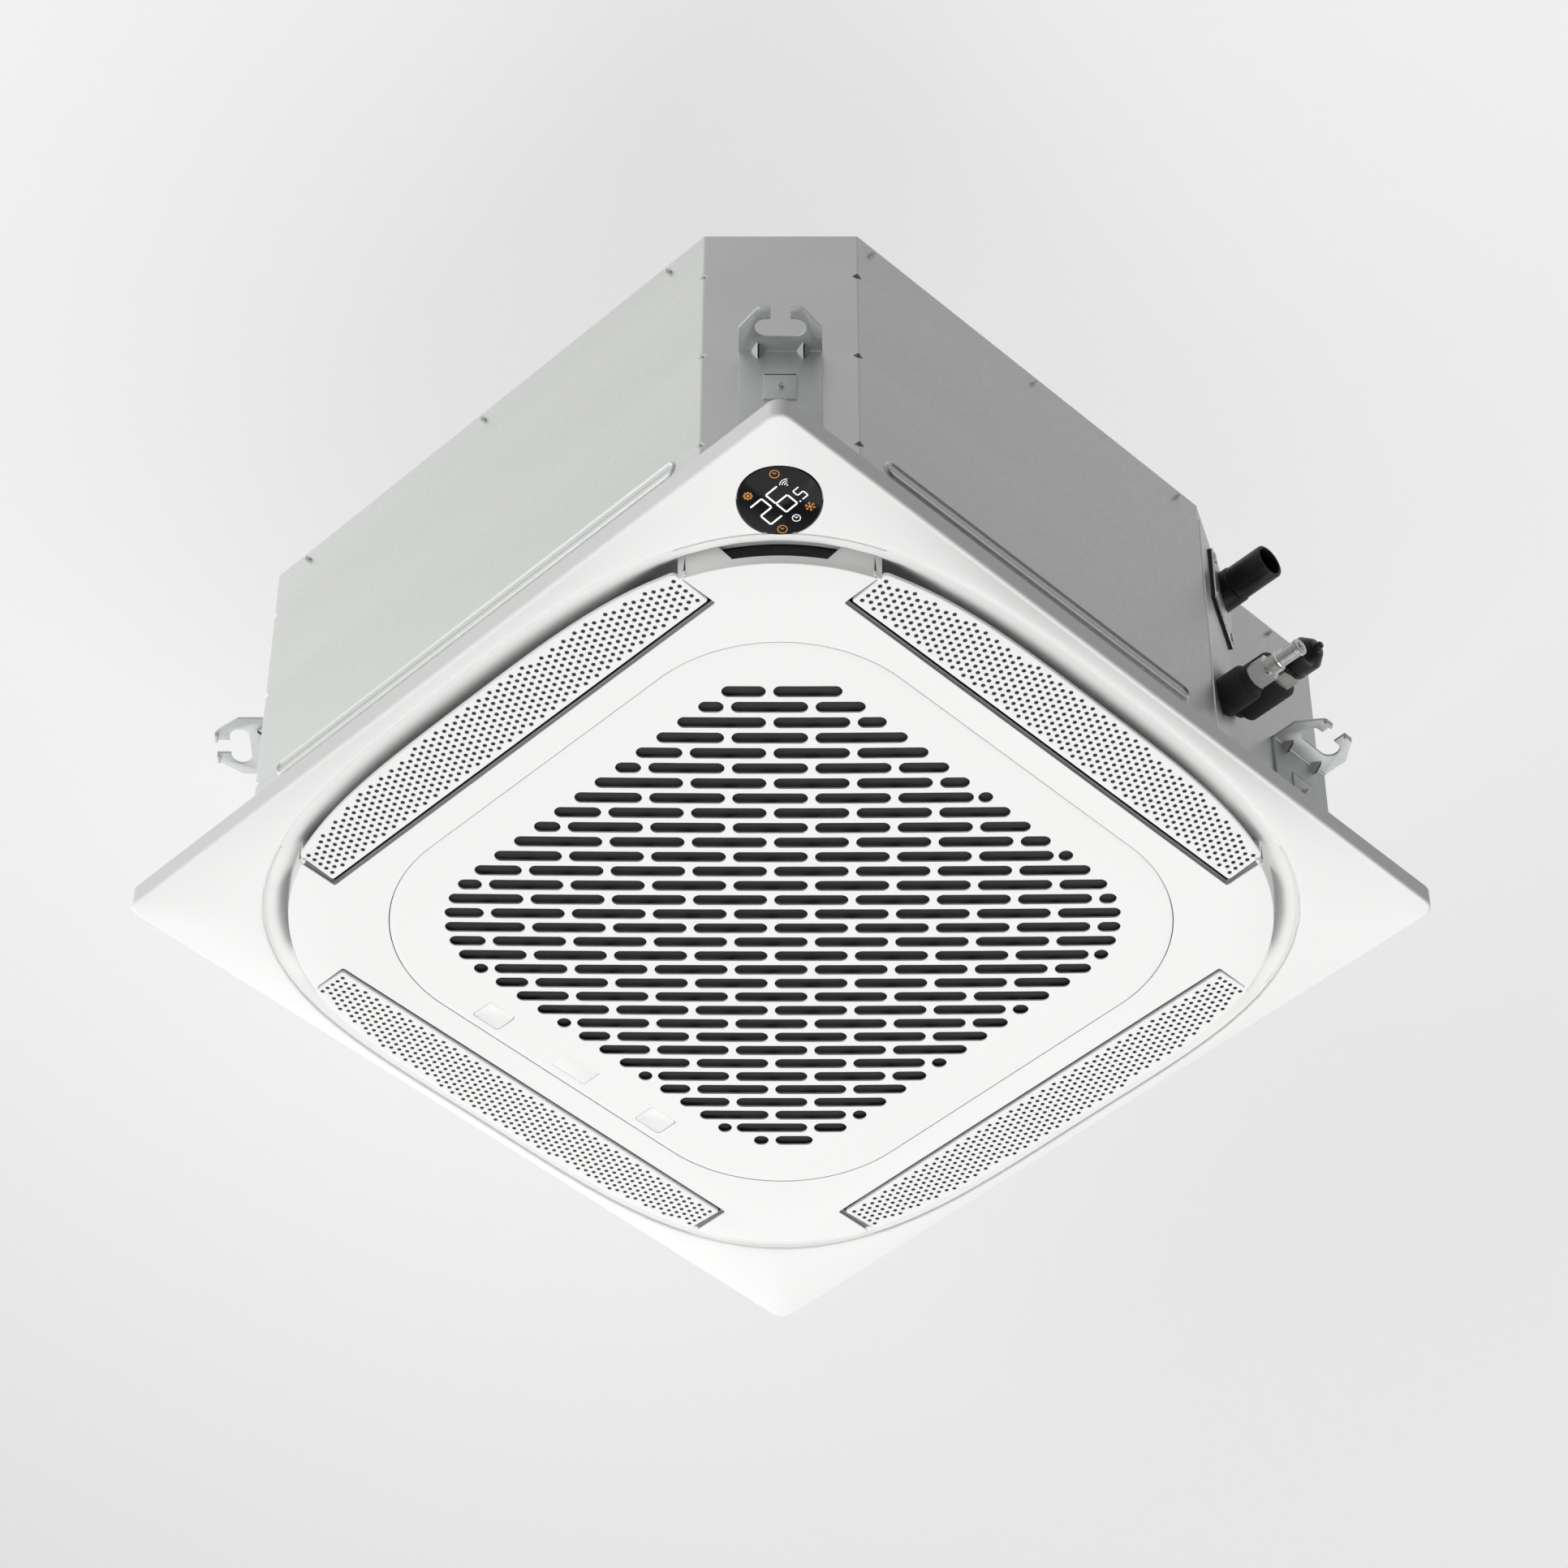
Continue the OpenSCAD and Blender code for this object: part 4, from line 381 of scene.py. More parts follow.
def dark_moulding(name, base, rough):
    """Black moulded plastic: low sheen with a fine grain."""
    made, tree, shader = surface(name, {"Roughness": rough, "IOR": 1.5})
    place = node(tree, "ShaderNodeTexCoord").outputs["Object"]
    grain = roughen(tree, shader, place, 1500.0, 0.15, 0.0001)
    shade_between(tree, shader, grain.outputs["Fac"], darker(base, 0.85), darker(base, 1.15))
    return made


def filter_cloth(name, base):
    """Woven nylon filter mesh: fine square openings between dull threads."""
    made, tree, shader = surface(name, {"Roughness": 0.75})
    place = node(tree, "ShaderNodeTexCoord").outputs["Object"]
    # Threads coarser than the real 0.7 mm so that they show.
    thread_scale = 714.0 / math.pi
    warp = node(
        tree, "ShaderNodeTexWave", {"Scale": thread_scale}, {"Vector": place},
        bands_direction="X",
    )
    weft = node(
        tree, "ShaderNodeTexWave", {"Scale": thread_scale}, {"Vector": place},
        bands_direction="Y",
    )
    net = node(
        tree, "ShaderNodeMath", links={0: warp.outputs["Fac"], 1: weft.outputs["Fac"]},
        operation="MAXIMUM",
    )
    shade_between(tree, shader, net.outputs[0], darker(base, 0.35), base)
    return made


def bead_foam(name, base):
    """Expanded polystyrene: fused 3 mm beads with a faint crazed skin."""
    made, tree, shader = surface(name, {"Roughness": 0.8})
    place = node(tree, "ShaderNodeTexCoord").outputs["Object"]
    beads = node(
        tree, "ShaderNodeTexVoronoi", {"Scale": 330.0}, {"Vector": place},
        feature="DISTANCE_TO_EDGE",
    )
    bump = node(
        tree, "ShaderNodeBump", {"Strength": 0.4, "Distance": 0.0004},
        {"Height": beads.outputs["Distance"]},
    )
    tree.links.new(bump.outputs["Normal"], shader.inputs["Normal"])
    shade_between(tree, shader, beads.outputs["Distance"], darker(base, 0.9), base)
    return made


def fin_stack(name, base):
    """Stacked aluminium fins: bright upright lines 1.6 mm apart, with painted shade in the dark gaps
    between them.
    """
    made, tree, shader = surface(name, {"Metallic": 1.0, "Roughness": 0.35})
    place = node(tree, "ShaderNodeTexCoord").outputs["Object"]
    fin_lines_and_gap_shade = node(
        tree, "ShaderNodeTexWave", {"Scale": 200.0, "Distortion": 0.4}, {"Vector": place},
        bands_direction="DIAGONAL",
    )
    # The dark share between the lines is painted shade in the gaps between fins.
    shade_between(tree, shader, fin_lines_and_gap_shade.outputs["Fac"], darker(base, 0.25), base)
    return made


def smoked_window(name):
    """Gloss-moulded smoked acrylic: near black, with a clear reflection."""
    # The anti-glare hard coat takes most of the reflection away.
    made, tree, shader = surface(name, {
        "Roughness": 0.12, "IOR": 1.49, "Base Color": linear("#0D0E10"),
        "Specular IOR Level": 0.14,
    })
    place = node(tree, "ShaderNodeTexCoord").outputs["Object"]
    haze = node(tree, "ShaderNodeTexNoise", {"Scale": 90.0, "Detail": 3.0}, {"Vector": place})
    rough_between(tree, shader, haze.outputs["Fac"], 0.10, 0.18)
    return made


def lit_sign(name, base, strength):
    """A lit sign behind the window: an even glow over a base colour that varies in small patches."""
    made, tree, shader = surface(
        name, {"Roughness": 0.4, "Emission Color": base, "Emission Strength": strength}
    )
    place = node(tree, "ShaderNodeTexCoord").outputs["Object"]
    patch = node(tree, "ShaderNodeTexNoise", {"Scale": 800.0}, {"Vector": place})
    shade_between(tree, shader, patch.outputs["Fac"], darker(base, 0.4), darker(base, 0.5))
    return made


def make_finishes(f):
    """Fills the table of finishes."""
    FINISH.update(
        white_abs=moulded_abs("white_moulded_abs", tuple(f.white), 0.42),
        zinc=zinc_sheet("galvanised_sheet", tuple(f.zinc), 0.42),
        zinc_bright=zinc_sheet("galvanised_bracket", linear("#E4E6E6"), 0.58),
        screw=plated_metal("zinc_plated_screw", linear("#EAEBE9"), 0.48),
        nickel=plated_metal("nickel_plated_brass", linear("#EDEDEB"), 0.24),
        copper=plated_metal("drawn_copper", linear("#B8734A"), 0.28),
        motor=dark_moulding("grey_enamel", linear("#8B8D8F"), 0.45),
        foam=cell_foam("black_elastomer_foam", tuple(f.foam), 0.7),
        grey_foam=cell_foam("grey_lining_foam", linear("#47494B"), 0.8),
        rubber=dark_moulding("black_rubber", linear("#151617"), 0.5),
        black=dark_moulding("black_moulded_plastic", linear("#131415"), 0.35),
        cap=dark_moulding("black_cap_plastic", linear("#1C1D1F"), 0.3),
        eps=bead_foam("white_expanded_polystyrene", linear("#ECEEF0")),
        fins=fin_stack("aluminium_fin_stack", linear("#C4C8CA")),
        cloth=filter_cloth("black_nylon_filter", linear("#2E2F31")),
        blue=dark_moulding("blue_moulded_plastic", linear("#3F6F95"), 0.4),
        orange=dark_moulding("orange_moulded_plastic", linear("#D3592F"), 0.4),
        grey=dark_moulding("grey_moulded_plastic", linear("#BDBFC2"), 0.4),
        board=dark_moulding("green_solder_mask", linear("#1E5A35"), 0.3),
        window=smoked_window("smoked_acrylic_window"),
        lit=lit_sign("white_lit_sign", linear("#F4F5F5"), 0.9),
        amber=lit_sign("amber_lit_sign", tuple(f.amber), 0.9),
    )


# Meshes, drawn in millimetres and kept in metres

def make_mesh(name, points, faces, finish, smooth_angle=35.0, recalc=False):
    """An object from points in millimetres, shaded smooth except at its sharp edges."""
    mesh = bpy.data.meshes.new(name)
    mesh.from_pydata([Vector(p) * MM for p in points], [], faces)
    mesh.validate()
    if recalc:
        shape = bmesh.new()
        shape.from_mesh(mesh)
        bmesh.ops.remove_doubles(shape, verts=shape.verts, dist=0.000001)
        bmesh.ops.recalc_face_normals(shape, faces=shape.faces)
        shape.to_mesh(mesh)
        shape.free()
    mesh.polygons.foreach_set("use_smooth", [True] * len(mesh.polygons))
    mesh.set_sharp_from_angle(angle=math.radians(smooth_angle))
    mesh.materials.append(FINISH[finish])
    made = bpy.data.objects.new(name, mesh)
    bpy.context.scene.collection.objects.link(made)
    return made


def loop_skin(loops, closed=False):
    """Faces between loops of equal length, with end caps unless the row of loops closes."""
    size = len(loops[0])
    points = [p for loop in loops for p in loop]
    faces = []
    count = len(loops)
    for i in range(count if closed else count - 1):
        k = (i + 1) % count
        for j in range(size):
            m = (j + 1) % size
            faces.append((i * size + j, i * size + m, k * size + m, k * size + j))
    if not closed:
        faces.append(tuple(reversed(range(size))))
        faces.append(tuple((count - 1) * size + j for j in range(size)))
    return points, faces


def shrink(outline, inset):
    """A convex outline moved inwards, each corner along the bisector of its sides."""
    if abs(inset) < 1e-9:
        return list(outline)
    out = []
    count = len(outline)
    for i, (x, y) in enumerate(outline):
        ax, ay = outline[i - 1]
        bx, by = outline[(i + 1) % count]
        ux, uy = x - ax, y - ay
        vx, vy = bx - x, by - y
        lu, lv = math.hypot(ux, uy), math.hypot(vx, vy)
        nx, ny = -uy / lu - vy / lv, ux / lu + vx / lv
        ln = math.hypot(nx, ny)
        nx, ny = nx / ln, ny / ln
        cosine = max(0.3, nx * -uy / lu + ny * ux / lu)
        out.append((x + nx * inset / cosine, y + ny * inset / cosine))
    return out


def pillow(outline, layers):
    """A plate from a counter-clockwise outline: one loop for each (inset, height)."""
    loops = [[(x, y, z) for x, y in shrink(outline, inset)] for inset, z in layers]
    return loop_skin(loops)


def soft_plate(outline, z0, z1, edge, steps=3):
    """A plate whose lower and upper edges are rounded."""
    layers = []
    for i in range(steps + 1):
        a = math.pi / 2 * i / steps
        layers.append((edge * (1 - math.sin(a)), z0 + edge * (1 - math.cos(a))))
    upper = [(inset, z0 + z1 - z) for inset, z in reversed(layers)]
    return pillow(outline, layers + upper)


def rounded(corners, radius, steps=6):
    """An outline with each corner rounded by its own radius."""
    out = []
    count = len(corners)
    radii = radius if isinstance(radius, (list, tuple)) else [radius] * count
    for i, (x, y) in enumerate(corners):
        ax, ay = corners[i - 1]
        bx, by = corners[(i + 1) % count]
        r = radii[i]
        ux, uy = ax - x, ay - y
        vx, vy = bx - x, by - y
        lu, lv = math.hypot(ux, uy), math.hypot(vx, vy)
        ux, uy, vx, vy = ux / lu, uy / lu, vx / lv, vy / lv
        half = math.acos(max(-1, min(1, ux * vx + uy * vy))) / 2
        if r <= 0 or half > math.pi / 2 - 0.01:
            out.append((x, y))
            continue
        reach = r / math.tan(half)
        cx = x + (ux + vx) / math.hypot(ux + vx, uy + vy) * r / math.sin(half)
        cy = y + (uy + vy) / math.hypot(ux + vx, uy + vy) * r / math.sin(half)
        a0 = math.atan2(y + uy * reach - cy, x + ux * reach - cx)
        a1 = math.atan2(y + vy * reach - cy, x + vx * reach - cx)
        turn = (a1 - a0 + math.pi) % (2 * math.pi) - math.pi
        for k in range(steps + 1):
            a = a0 + turn * k / steps
            out.append((cx + r * math.cos(a), cy + r * math.sin(a)))
    return out


def rectangle(x0, y0, x1, y1):
    return [(x0, y0), (x1, y0), (x1, y1), (x0, y1)]


def circle(radius, steps):
    return [
        (radius * math.cos(math.tau * k / steps), radius * math.sin(math.tau * k / steps))
        for k in range(steps)
    ]


def lathe(profile, axis_point, steps=48):
    """A turned solid along +X from (x, radius) pairs whose ends are closed by caps."""
    _, y, z = axis_point
    loops = []
    for x, r in profile:
        loops.append([
            (x, y + r * math.cos(2 * math.pi * k / steps), z + r * math.sin(2 * math.pi * k / steps))
            for k in range(steps)
        ])
    return loop_skin(loops)


def turned(points, degrees):
    """Points turned about the vertical axis."""
    c, s = math.cos(math.radians(degrees)), math.sin(math.radians(degrees))
    return [(x * c - y * s, x * s + y * c, z) for x, y, z in points]


def plain(obj):
    """The evaluated object as a plain mesh, with its modifiers gone."""
    seen = obj.evaluated_get(bpy.context.evaluated_depsgraph_get())
    mesh = bpy.data.meshes.new_from_object(seen)
    obj.modifiers.clear()
    old = obj.data
    obj.data = mesh
    mesh.name = obj.name
    if old.users == 0:
        bpy.data.meshes.remove(old)
    return obj


def cut(obj, cutters, operation="DIFFERENCE"):
    """Cuts closed solids out of an object, or joins them to it, and keeps the result."""
    for cutter in cutters:
        step = obj.modifiers.new("cut", "BOOLEAN")
        step.operation = operation
        step.solver = "EXACT"
        step.object = cutter
        plain(obj)
        data = cutter.data
        bpy.data.objects.remove(cutter)
        bpy.data.meshes.remove(data)
    return obj


def tidy_shading(obj, angle=35.0):
    mesh = obj.data
    mesh.polygons.foreach_set("use_smooth", [True] * len(mesh.polygons))
    mesh.set_sharp_from_angle(angle=math.radians(angle))


def join(name, parts):
    """One object from several, in the order given, all at the origin."""
    shape = bmesh.new()
    slots = []
    for part in parts:
        mesh = part.data
        base = len(slots)
        slots.extend(mesh.materials)
        start = len(shape.faces)
        shape.from_mesh(mesh)
        shape.faces.ensure_lookup_table()
        for i in range(start, len(shape.faces)):
            shape.faces[i].material_index += base
    mesh = bpy.data.meshes.new(name)
    shape.to_mesh(mesh)
    shape.free()
    for material in slots:
        mesh.materials.append(material)
    made = bpy.data.objects.new(name, mesh)
    bpy.context.scene.collection.objects.link(made)
    for part in parts:
        data = part.data
        bpy.data.objects.remove(part)
        bpy.data.meshes.remove(data)
    return made


def piece(obj, body, slot, *nodes):
    """Hands a finished piece to the frame: its body and the nodes it stands for. Its record slot is not
    used.
    """
    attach(obj, body)
    if nodes:
        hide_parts(*nodes)
    return obj


# Outlines shared by the panel's pieces, in millimetres

def superellipse(angle, half, power):
    return half / (abs(math.cos(angle)) ** power + abs(math.sin(angle)) ** power) ** (1 / power)


def round_square(angle, half, corner):
    c = max(abs(math.cos(angle)), abs(math.sin(angle)))
    s = min(abs(math.cos(angle)), abs(math.sin(angle)))
    q = half - corner
    if half * s / c <= q:
        return half / c
    return q * (c + s) + math.sqrt(max(0.0, (q * (c + s)) ** 2 - 2 * q * q + corner * corner))


def stations(half, corner, flat=14, bend=10):
    """Angles of a ring's sections, closest together at the rounded corners."""
    start = math.atan((half - corner) / half)
    first = [start * i / flat for i in range(flat)]
    turn = [start + (math.pi / 4 - start) * i / bend for i in range(bend)]
    eighth = first + turn
    quarter = eighth + [math.pi / 4] + [math.pi / 2 - a for a in reversed(eighth[1:])]
    return [a + k * math.pi / 2 for k in range(4) for a in quarter]


def lip_radius(angle, b):
    return superellipse(angle, b.lip_half / MM, b.lip_power)


def lip_height(angle, b):
    side = lip_radius(0, b)
    corner = lip_radius(math.pi / 4, b)
    share = (lip_radius(angle, b) - side) / (corner - side)
    return -(b.rim + b.lip_side + (b.lip_corner - b.lip_side) * share) / MM


def along_curve(points, steps):
    """Points along a smooth curve through the given (radius, height) points."""
    out = []
    count = len(points)
    for i in range(count - 1):
        p0 = points[max(0, i - 1)]
        p1, p2 = points[i], points[i + 1]
        p3 = points[min(count - 1, i + 2)]
        for k in range(steps):
            t = k / steps
            out.append(tuple(
                0.5 * (2 * b + (c - a) * t + (2 * a - 5 * b + 4 * c - d) * t * t
                       + (3 * b - a - 3 * c + d) * t ** 3)
                for a, b, c, d in zip(p0, p1, p2, p3)
            ))
    out.append(points[-1])
    return out


# Sizes of the bezel's lip in millimetres, and where its inner wall turns steep, in degrees
LIP_LAND = 2.2
LIP_BEAD = 1.3
UNDERSIDE_POWER = 1.28
STEEP_FROM = 26
STEEP_WITHIN = 7


def bezel_profile(angle, b):
    """Section of the bezel at an angle as (radius, height) pairs, outer rim first."""
    out = round_square(angle, b.half / MM, b.corner / MM)
    edge, wall, rim = b.edge / MM, b.wall / MM, b.rim / MM
    lip, z = lip_radius(angle, b), lip_height(angle, b)
    under = out - edge
    profile = [(out, 0.0), (out, -rim * 0.5)]
    for k in range(6):
        a = math.pi / 2 * k / 5
        profile.append((under + edge * math.cos(a), edge - rim - edge * math.sin(a)))
    land = lip + LIP_LAND
    for k in range(1, 11):
        t = k / 11
        profile.append((under + (land - under) * t, -rim + (z + rim) * (1 - (1 - t) ** UNDERSIDE_POWER)))
    for k in range(6):
        a = math.pi * 0.75 * k / 5
        profile.append((land - LIP_BEAD * math.sin(a), z + LIP_BEAD * (1 - math.cos(a))))
    duct = b.duct / MM
    # The wall above the lip is flatter over an outlet than at a corner.
    turned_by = math.degrees(angle) % 90
    t = min(1.0, max(0.0, (min(turned_by, 90 - turned_by) - STEEP_FROM) / STEEP_WITHIN))
    inner = [(lip, z + 1.5)]
    # The way inwards, the rise over an outlet and the rise at a corner.
    for inwards, flat, steep in (
        (4, 1.9, 2.6), (9, 2.8, 4.4), (15, 5.0, -z * 0.5), (23, 9.0, -z * 0.78),
    ):
        inner.append((lip - inwards, z + flat + (steep - flat) * t))
    inner.append((lip - duct, 0.0))
    profile += along_curve(inner, 3)
    profile.append((lip - duct + wall * 2, 0.0))
    profile += [(lip - 12 + wall, z * 0.55 + 1.6), (lip + 1.5, z + wall + 1.5),
                (out - wall - 1.2, wall - rim + 0.6), (out - wall, edge + wall - rim),
                (out - wall, 0.0)]
    return profile


def polar(radius, angle, z):
    return (radius * math.cos(angle), radius * math.sin(angle), z)


# The display: its tilt in degrees, and its window and hole in millimetres
DISPLAY_TILT = 5.4
DISPLAY_PROUD = 1.5
WINDOW_R = 26.3
DISPLAY_HOLE_R = 27.0


def display_frame():
    """The display's centre and its right, up and outward directions, in millimetres."""
    low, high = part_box("display_lens")
    centre = (Vector(low) + Vector(high)) / 2 / MM
    tilt = math.radians(DISPLAY_TILT)
    diagonal = Vector((1, -1, 0)).normalized()
    outward = diagonal * math.sin(tilt) + Vector((0, 0, -math.cos(tilt)))
    right = (Vector((1, 0, 0)) - outward * outward.x).normalized()
    up = outward.cross(right).normalized()
    return centre + outward * DISPLAY_PROUD, right, up, outward


def placed(points, centre, right, up, outward):
    """Points drawn in a plane, moved to a place in the frame."""
    return [tuple(centre + right * x + up * y + outward * z) for x, y, z in points]


# Operators

class CASSETTE_OT_finishes(bpy.types.Operator):
    """Makes every finish and gives it to the nodes that stay as they are"""

    bl_idname = "cassette.finishes"
    bl_label = "Finishes"

    PLAIN = {
        "zinc": ("top_plate", "side_shell", "pipe_plate", "drain_flange", "coil_end_plates",
                 "electrical_box", "electrical_cover"),
        "zinc_bright": ("hanger_near", "hanger_left", "hanger_far", "hanger_right",
                        "grille_hinges"),
        "screw": ("hanger_screws", "casing_screws", "motor_shaft", "motor_bolts", "fan_nut",
                  "panel_screws"),
        "grey_foam": ("foam_liner", "foam_top", "panel_seal"),
        "foam": ("drain_gasket", "liquid_sleeve", "gas_sleeve"),
        "rubber": ("motor_mounts", "cable_grommet", "drain_hose"),
        "black": ("drain_stub", "fan_wheel", "terminal_block"),
        "cap": ("gas_cap",),
        "cloth": ("air_filter",),
        "fins": ("evaporator_fins",),
        "copper": ("return_bends", "liquid_pipe", "gas_pipe"),
        "motor": ("fan_motor",),
        "nickel": ("liquid_nut", "liquid_union", "gas_nut"),
        "white_abs": ("bell_mouth", "panel_bezel", "panel_face", "louver_right", "louver_back",
                      "louver_left", "louver_front", "intake_grille", "latch_back",
                      "latch_front", "blank_plate", "drain_pump", "float_stem"),
        "eps": ("drain_pan",),
        "blue": ("pump_impeller",),
        "orange": ("pump_float",),
        "board": ("control_board", "display_board"),
        "grey": ("louver_motors",),
        "window": ("display_lens",),
    }

    def execute(self, context):
        make_finishes(settings().finish)
        for finish, nodes in self.PLAIN.items():
            for name in nodes:
                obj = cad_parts[name]
                if not obj.material_slots:
                    obj.data.materials.append(FINISH[finish])
                for slot in obj.material_slots:
                    slot.link = "OBJECT"
                    slot.material = FINISH[finish]
        return {"FINISHED"}


class CASSETTE_OT_bezel(bpy.types.Operator):
    """Makes the bezel's smooth underside, lip and outlet walls"""

    bl_idname = "cassette.bezel"
    bl_label = "Bezel"

    def execute(self, context):
        b = settings().bezel
        angles = stations(b.half / MM, b.corner / MM)
        loops = [[polar(r, a, z) for r, z in bezel_profile(a, b)] for a in angles]
        points, faces = loop_skin(loops, closed=True)
        made = make_mesh("panel_bezel_moulding", points, faces, "white_abs", 40, recalc=True)
        centre, right, up, outward = display_frame()
        hole, sides = pillow(circle(DISPLAY_HOLE_R, 64), [(0, -8), (0, 4)])
        cutter = make_mesh(
            "display_hole", placed(hole, centre, right, up, outward), sides, "white_abs",
            recalc=True,
        )
        cut(made, [cutter])
        tidy_shading(made, 40)
        piece(made, "housing", "white_abs", "panel_bezel")
        return {"FINISHED"}


class CASSETTE_OT_face(bpy.types.Operator):
    """Makes the inner face, its outlet walls and its sloping corner shoulders"""

    bl_idname = "cassette.face"
    bl_label = "Face"

    # Lengths in millimetres: the face's sheet, the seam round the grille, the ledge that the
    # grille closes against and the places of its hinge slots.
    SHEET = 2.5
    SEAM = 0.6
    LEDGE_TOP, LEDGE_LOW = -7.5, -10
    LEDGE_HALF, LEDGE_CORNER = 186, 80
    HINGE_Y, HINGE_SLOT_HALF = 95.75, 4.25
    # Where an outlet's cut ends outside the face, and how far the walls beside it reach.
    PAST_EDGE, END_WALL = 330, 266
    # The corner walls begin at this angle from the middle of a side, in degrees.
    CORNER_FROM = 33.6

    def execute(self, context):
        b, f, g = settings().bezel, settings().face, settings().grille
        drop = f.drop / MM
        half, power = f.half / MM, f.power
        angles = stations(310, 80, 20, 16)
        outline = [(superellipse(a, half, power) * math.cos(a), superellipse(a, half, power) * math.sin(a))
                   for a in angles]
        points, faces = soft_plate(outline, -drop, -drop + self.SHEET, 0.8)
        plate = make_mesh("face_plate", points, faces, "white_abs", recalc=True)
        cutters = []
        edge, end = f.outlet / MM, f.outlet_half / MM
        for _, turn in QUARTERS:
            corners = rounded(rectangle(edge, -end, self.PAST_EDGE, end), [1.5, 0, 0, 1.5])
            p, s = pillow(corners, [(0, -drop - 5), (0, -drop + 6)])
            cutters.append(make_mesh("outlet", turned(p, turn), s, "white_abs", recalc=True))
        opening, corner = g.half / MM + self.SEAM, g.corner / MM + self.SEAM
        around = stations(opening, g.corner / MM, 10, 24)
        hole = [polar(round_square(a, opening, corner), a, 0)[:2] for a in around]
        p, s = pillow(hole, [(0, -drop - 5), (0, -drop + 6)])
        cutters.append(make_mesh("opening", p, s, "white_abs", recalc=True))
        cut(plate, cutters)
        tidy_shading(plate)
        parts = [plate]
        # Wall and ledge round the intake.
        rim = []
        for a in around:
            r = round_square(a, opening, corner)
            inner = round_square(a, self.LEDGE_HALF, self.LEDGE_CORNER)
            rim.append([
                polar(r, a, -drop + 1.2), polar(r + self.SHEET, a, -drop + 1.2),
                polar(r + self.SHEET, a, self.LEDGE_TOP), polar(inner, a, self.LEDGE_TOP),
                polar(inner, a, self.LEDGE_LOW), polar(r, a, self.LEDGE_LOW),
            ])
        p, s = loop_skin(rim, closed=True)
        wall = make_mesh("intake_wall", p, s, "white_abs", 30, recalc=True)
        slots = []
        for y in (-self.HINGE_Y, self.HINGE_Y):
            corners = rectangle(200, y - self.HINGE_SLOT_HALF, 224, y + self.HINGE_SLOT_HALF)
            p, s = pillow(corners, [(0, -drop + self.SHEET), (0, self.LEDGE_LOW + 0.1)])
            slots.append(make_mesh("hinge_slot", p, s, "white_abs", recalc=True))
        cut(wall, slots)
        tidy_shading(wall, 30)
        parts.append(wall)
        # Walls of the outlets on the face's side: white at the mouth, and above it a black sheet that is
        # painted shade deep in the outlet.
        mouth = -drop + 5.4
        for _, turn in QUARTERS:
            for x0, y0, x1, y1 in (
                (edge - self.SHEET, -end - self.SHEET, edge, end + self.SHEET),
                (edge - self.SHEET, end, self.END_WALL, end + self.SHEET),
                (edge - self.SHEET, -end - self.SHEET, self.END_WALL, -end),
            ):
                tall = (x1 - x0) < 5
                corners = rectangle(x0, y0, x1, y1)
                # The black upper part of each wall is painted shade deep in the outlet.
                for z0, z1, finish in (
                    (-drop + 1.5, mouth, "white_abs"), (mouth, -2 if tall else -12, "black"),
                ):
                    p, s = pillow(corners, [(0, z0), (0, z1)])
                    parts.append(make_mesh("outlet_wall", turned(p, turn), s, finish, recalc=True))
        # Corners between the face and the lip: the face's side wall rises to the slope inside
        # the lip, and has a notch in its middle.
        first = math.radians(self.CORNER_FROM)
        mid = superellipse(math.pi / 4, half, power)
        notch_low = math.asin(f.slot_face / 2 / MM / mid)
        notch_high = math.asin(f.slot_lip / 2 / MM / mid)
        sill, top = -drop + 6.4, -11.6

        def band(name, rows, finish, angle=30):
            p, s = loop_skin(rows)
            parts.append(make_mesh(name, turned(p, turn), s, finish, angle, recalc=True))

        for _, turn in QUARTERS:
            steps = [first + (math.pi / 2 - 2 * first) * k / 40 for k in range(41)]
            rows, walls = [], []
            for a in steps:
                low = superellipse(a, half, power)
                lip, z = lip_radius(a, b) - 0.4, lip_height(a, b)
                rows.append([
                    polar(low + 1.2, a, top), polar(lip, a, z + 0.7), polar(lip, a, z + 2.6),
                    polar(low + 1.2, a, top + 2.5), polar(low - 2, a, top + 2.5),
                    polar(low - 2, a, top),
                ])
                walls.append([
                    polar(low - 0.8, a, -drop + 0.8), polar(low, a, -drop + 1.4),
                    polar(low + 0.6, a, sill), polar(low - 2.2, a, sill),
                    polar(low - 2.2, a, -drop + 1.4),
                ])
            band("inner_slope", rows, "white_abs")
            band("face_wall", walls, "white_abs")
            for mirror in (False, True):
                rows = []
                for k in range(17):
                    t = k / 16
                    inner = first + (math.pi / 4 - notch_low - first) * t
                    outer = first + (math.pi / 4 - notch_high - first) * t
                    if mirror:
                        inner, outer = math.pi / 2 - inner, math.pi / 2 - outer
                    low, high = superellipse(inner, half, power), superellipse(outer, half, power)
                    rows.append([
                        polar(low + 0.6, inner, sill - 0.2), polar(high + 1.2, outer, top + 0.4),
                        polar(high - 1.8, outer, top + 0.4), polar(low - 2.2, inner, sill - 0.2),
                    ])
                band("shoulder", rows, "white_abs")
            # A black sheet inside each corner notch: painted shade for the notch's dark depth.
            dark = []
            for a in steps:
                if abs(a - math.pi / 4) < notch_high + 0.03:
                    low = superellipse(a, half, power)
                    dark.append([
                        polar(low - 2.6, a, -drop + 2.6), polar(low - 2.6, a, top + 1.5),
                        polar(low - 4.0, a, top + 1.5), polar(low - 4.0, a, -drop + 2.6),
                    ])
            band("notch_back", dark, "black")
        made = join("panel_face_moulding", parts)
        piece(made, "housing", "white_abs", "panel_face")
        return {"FINISHED"}


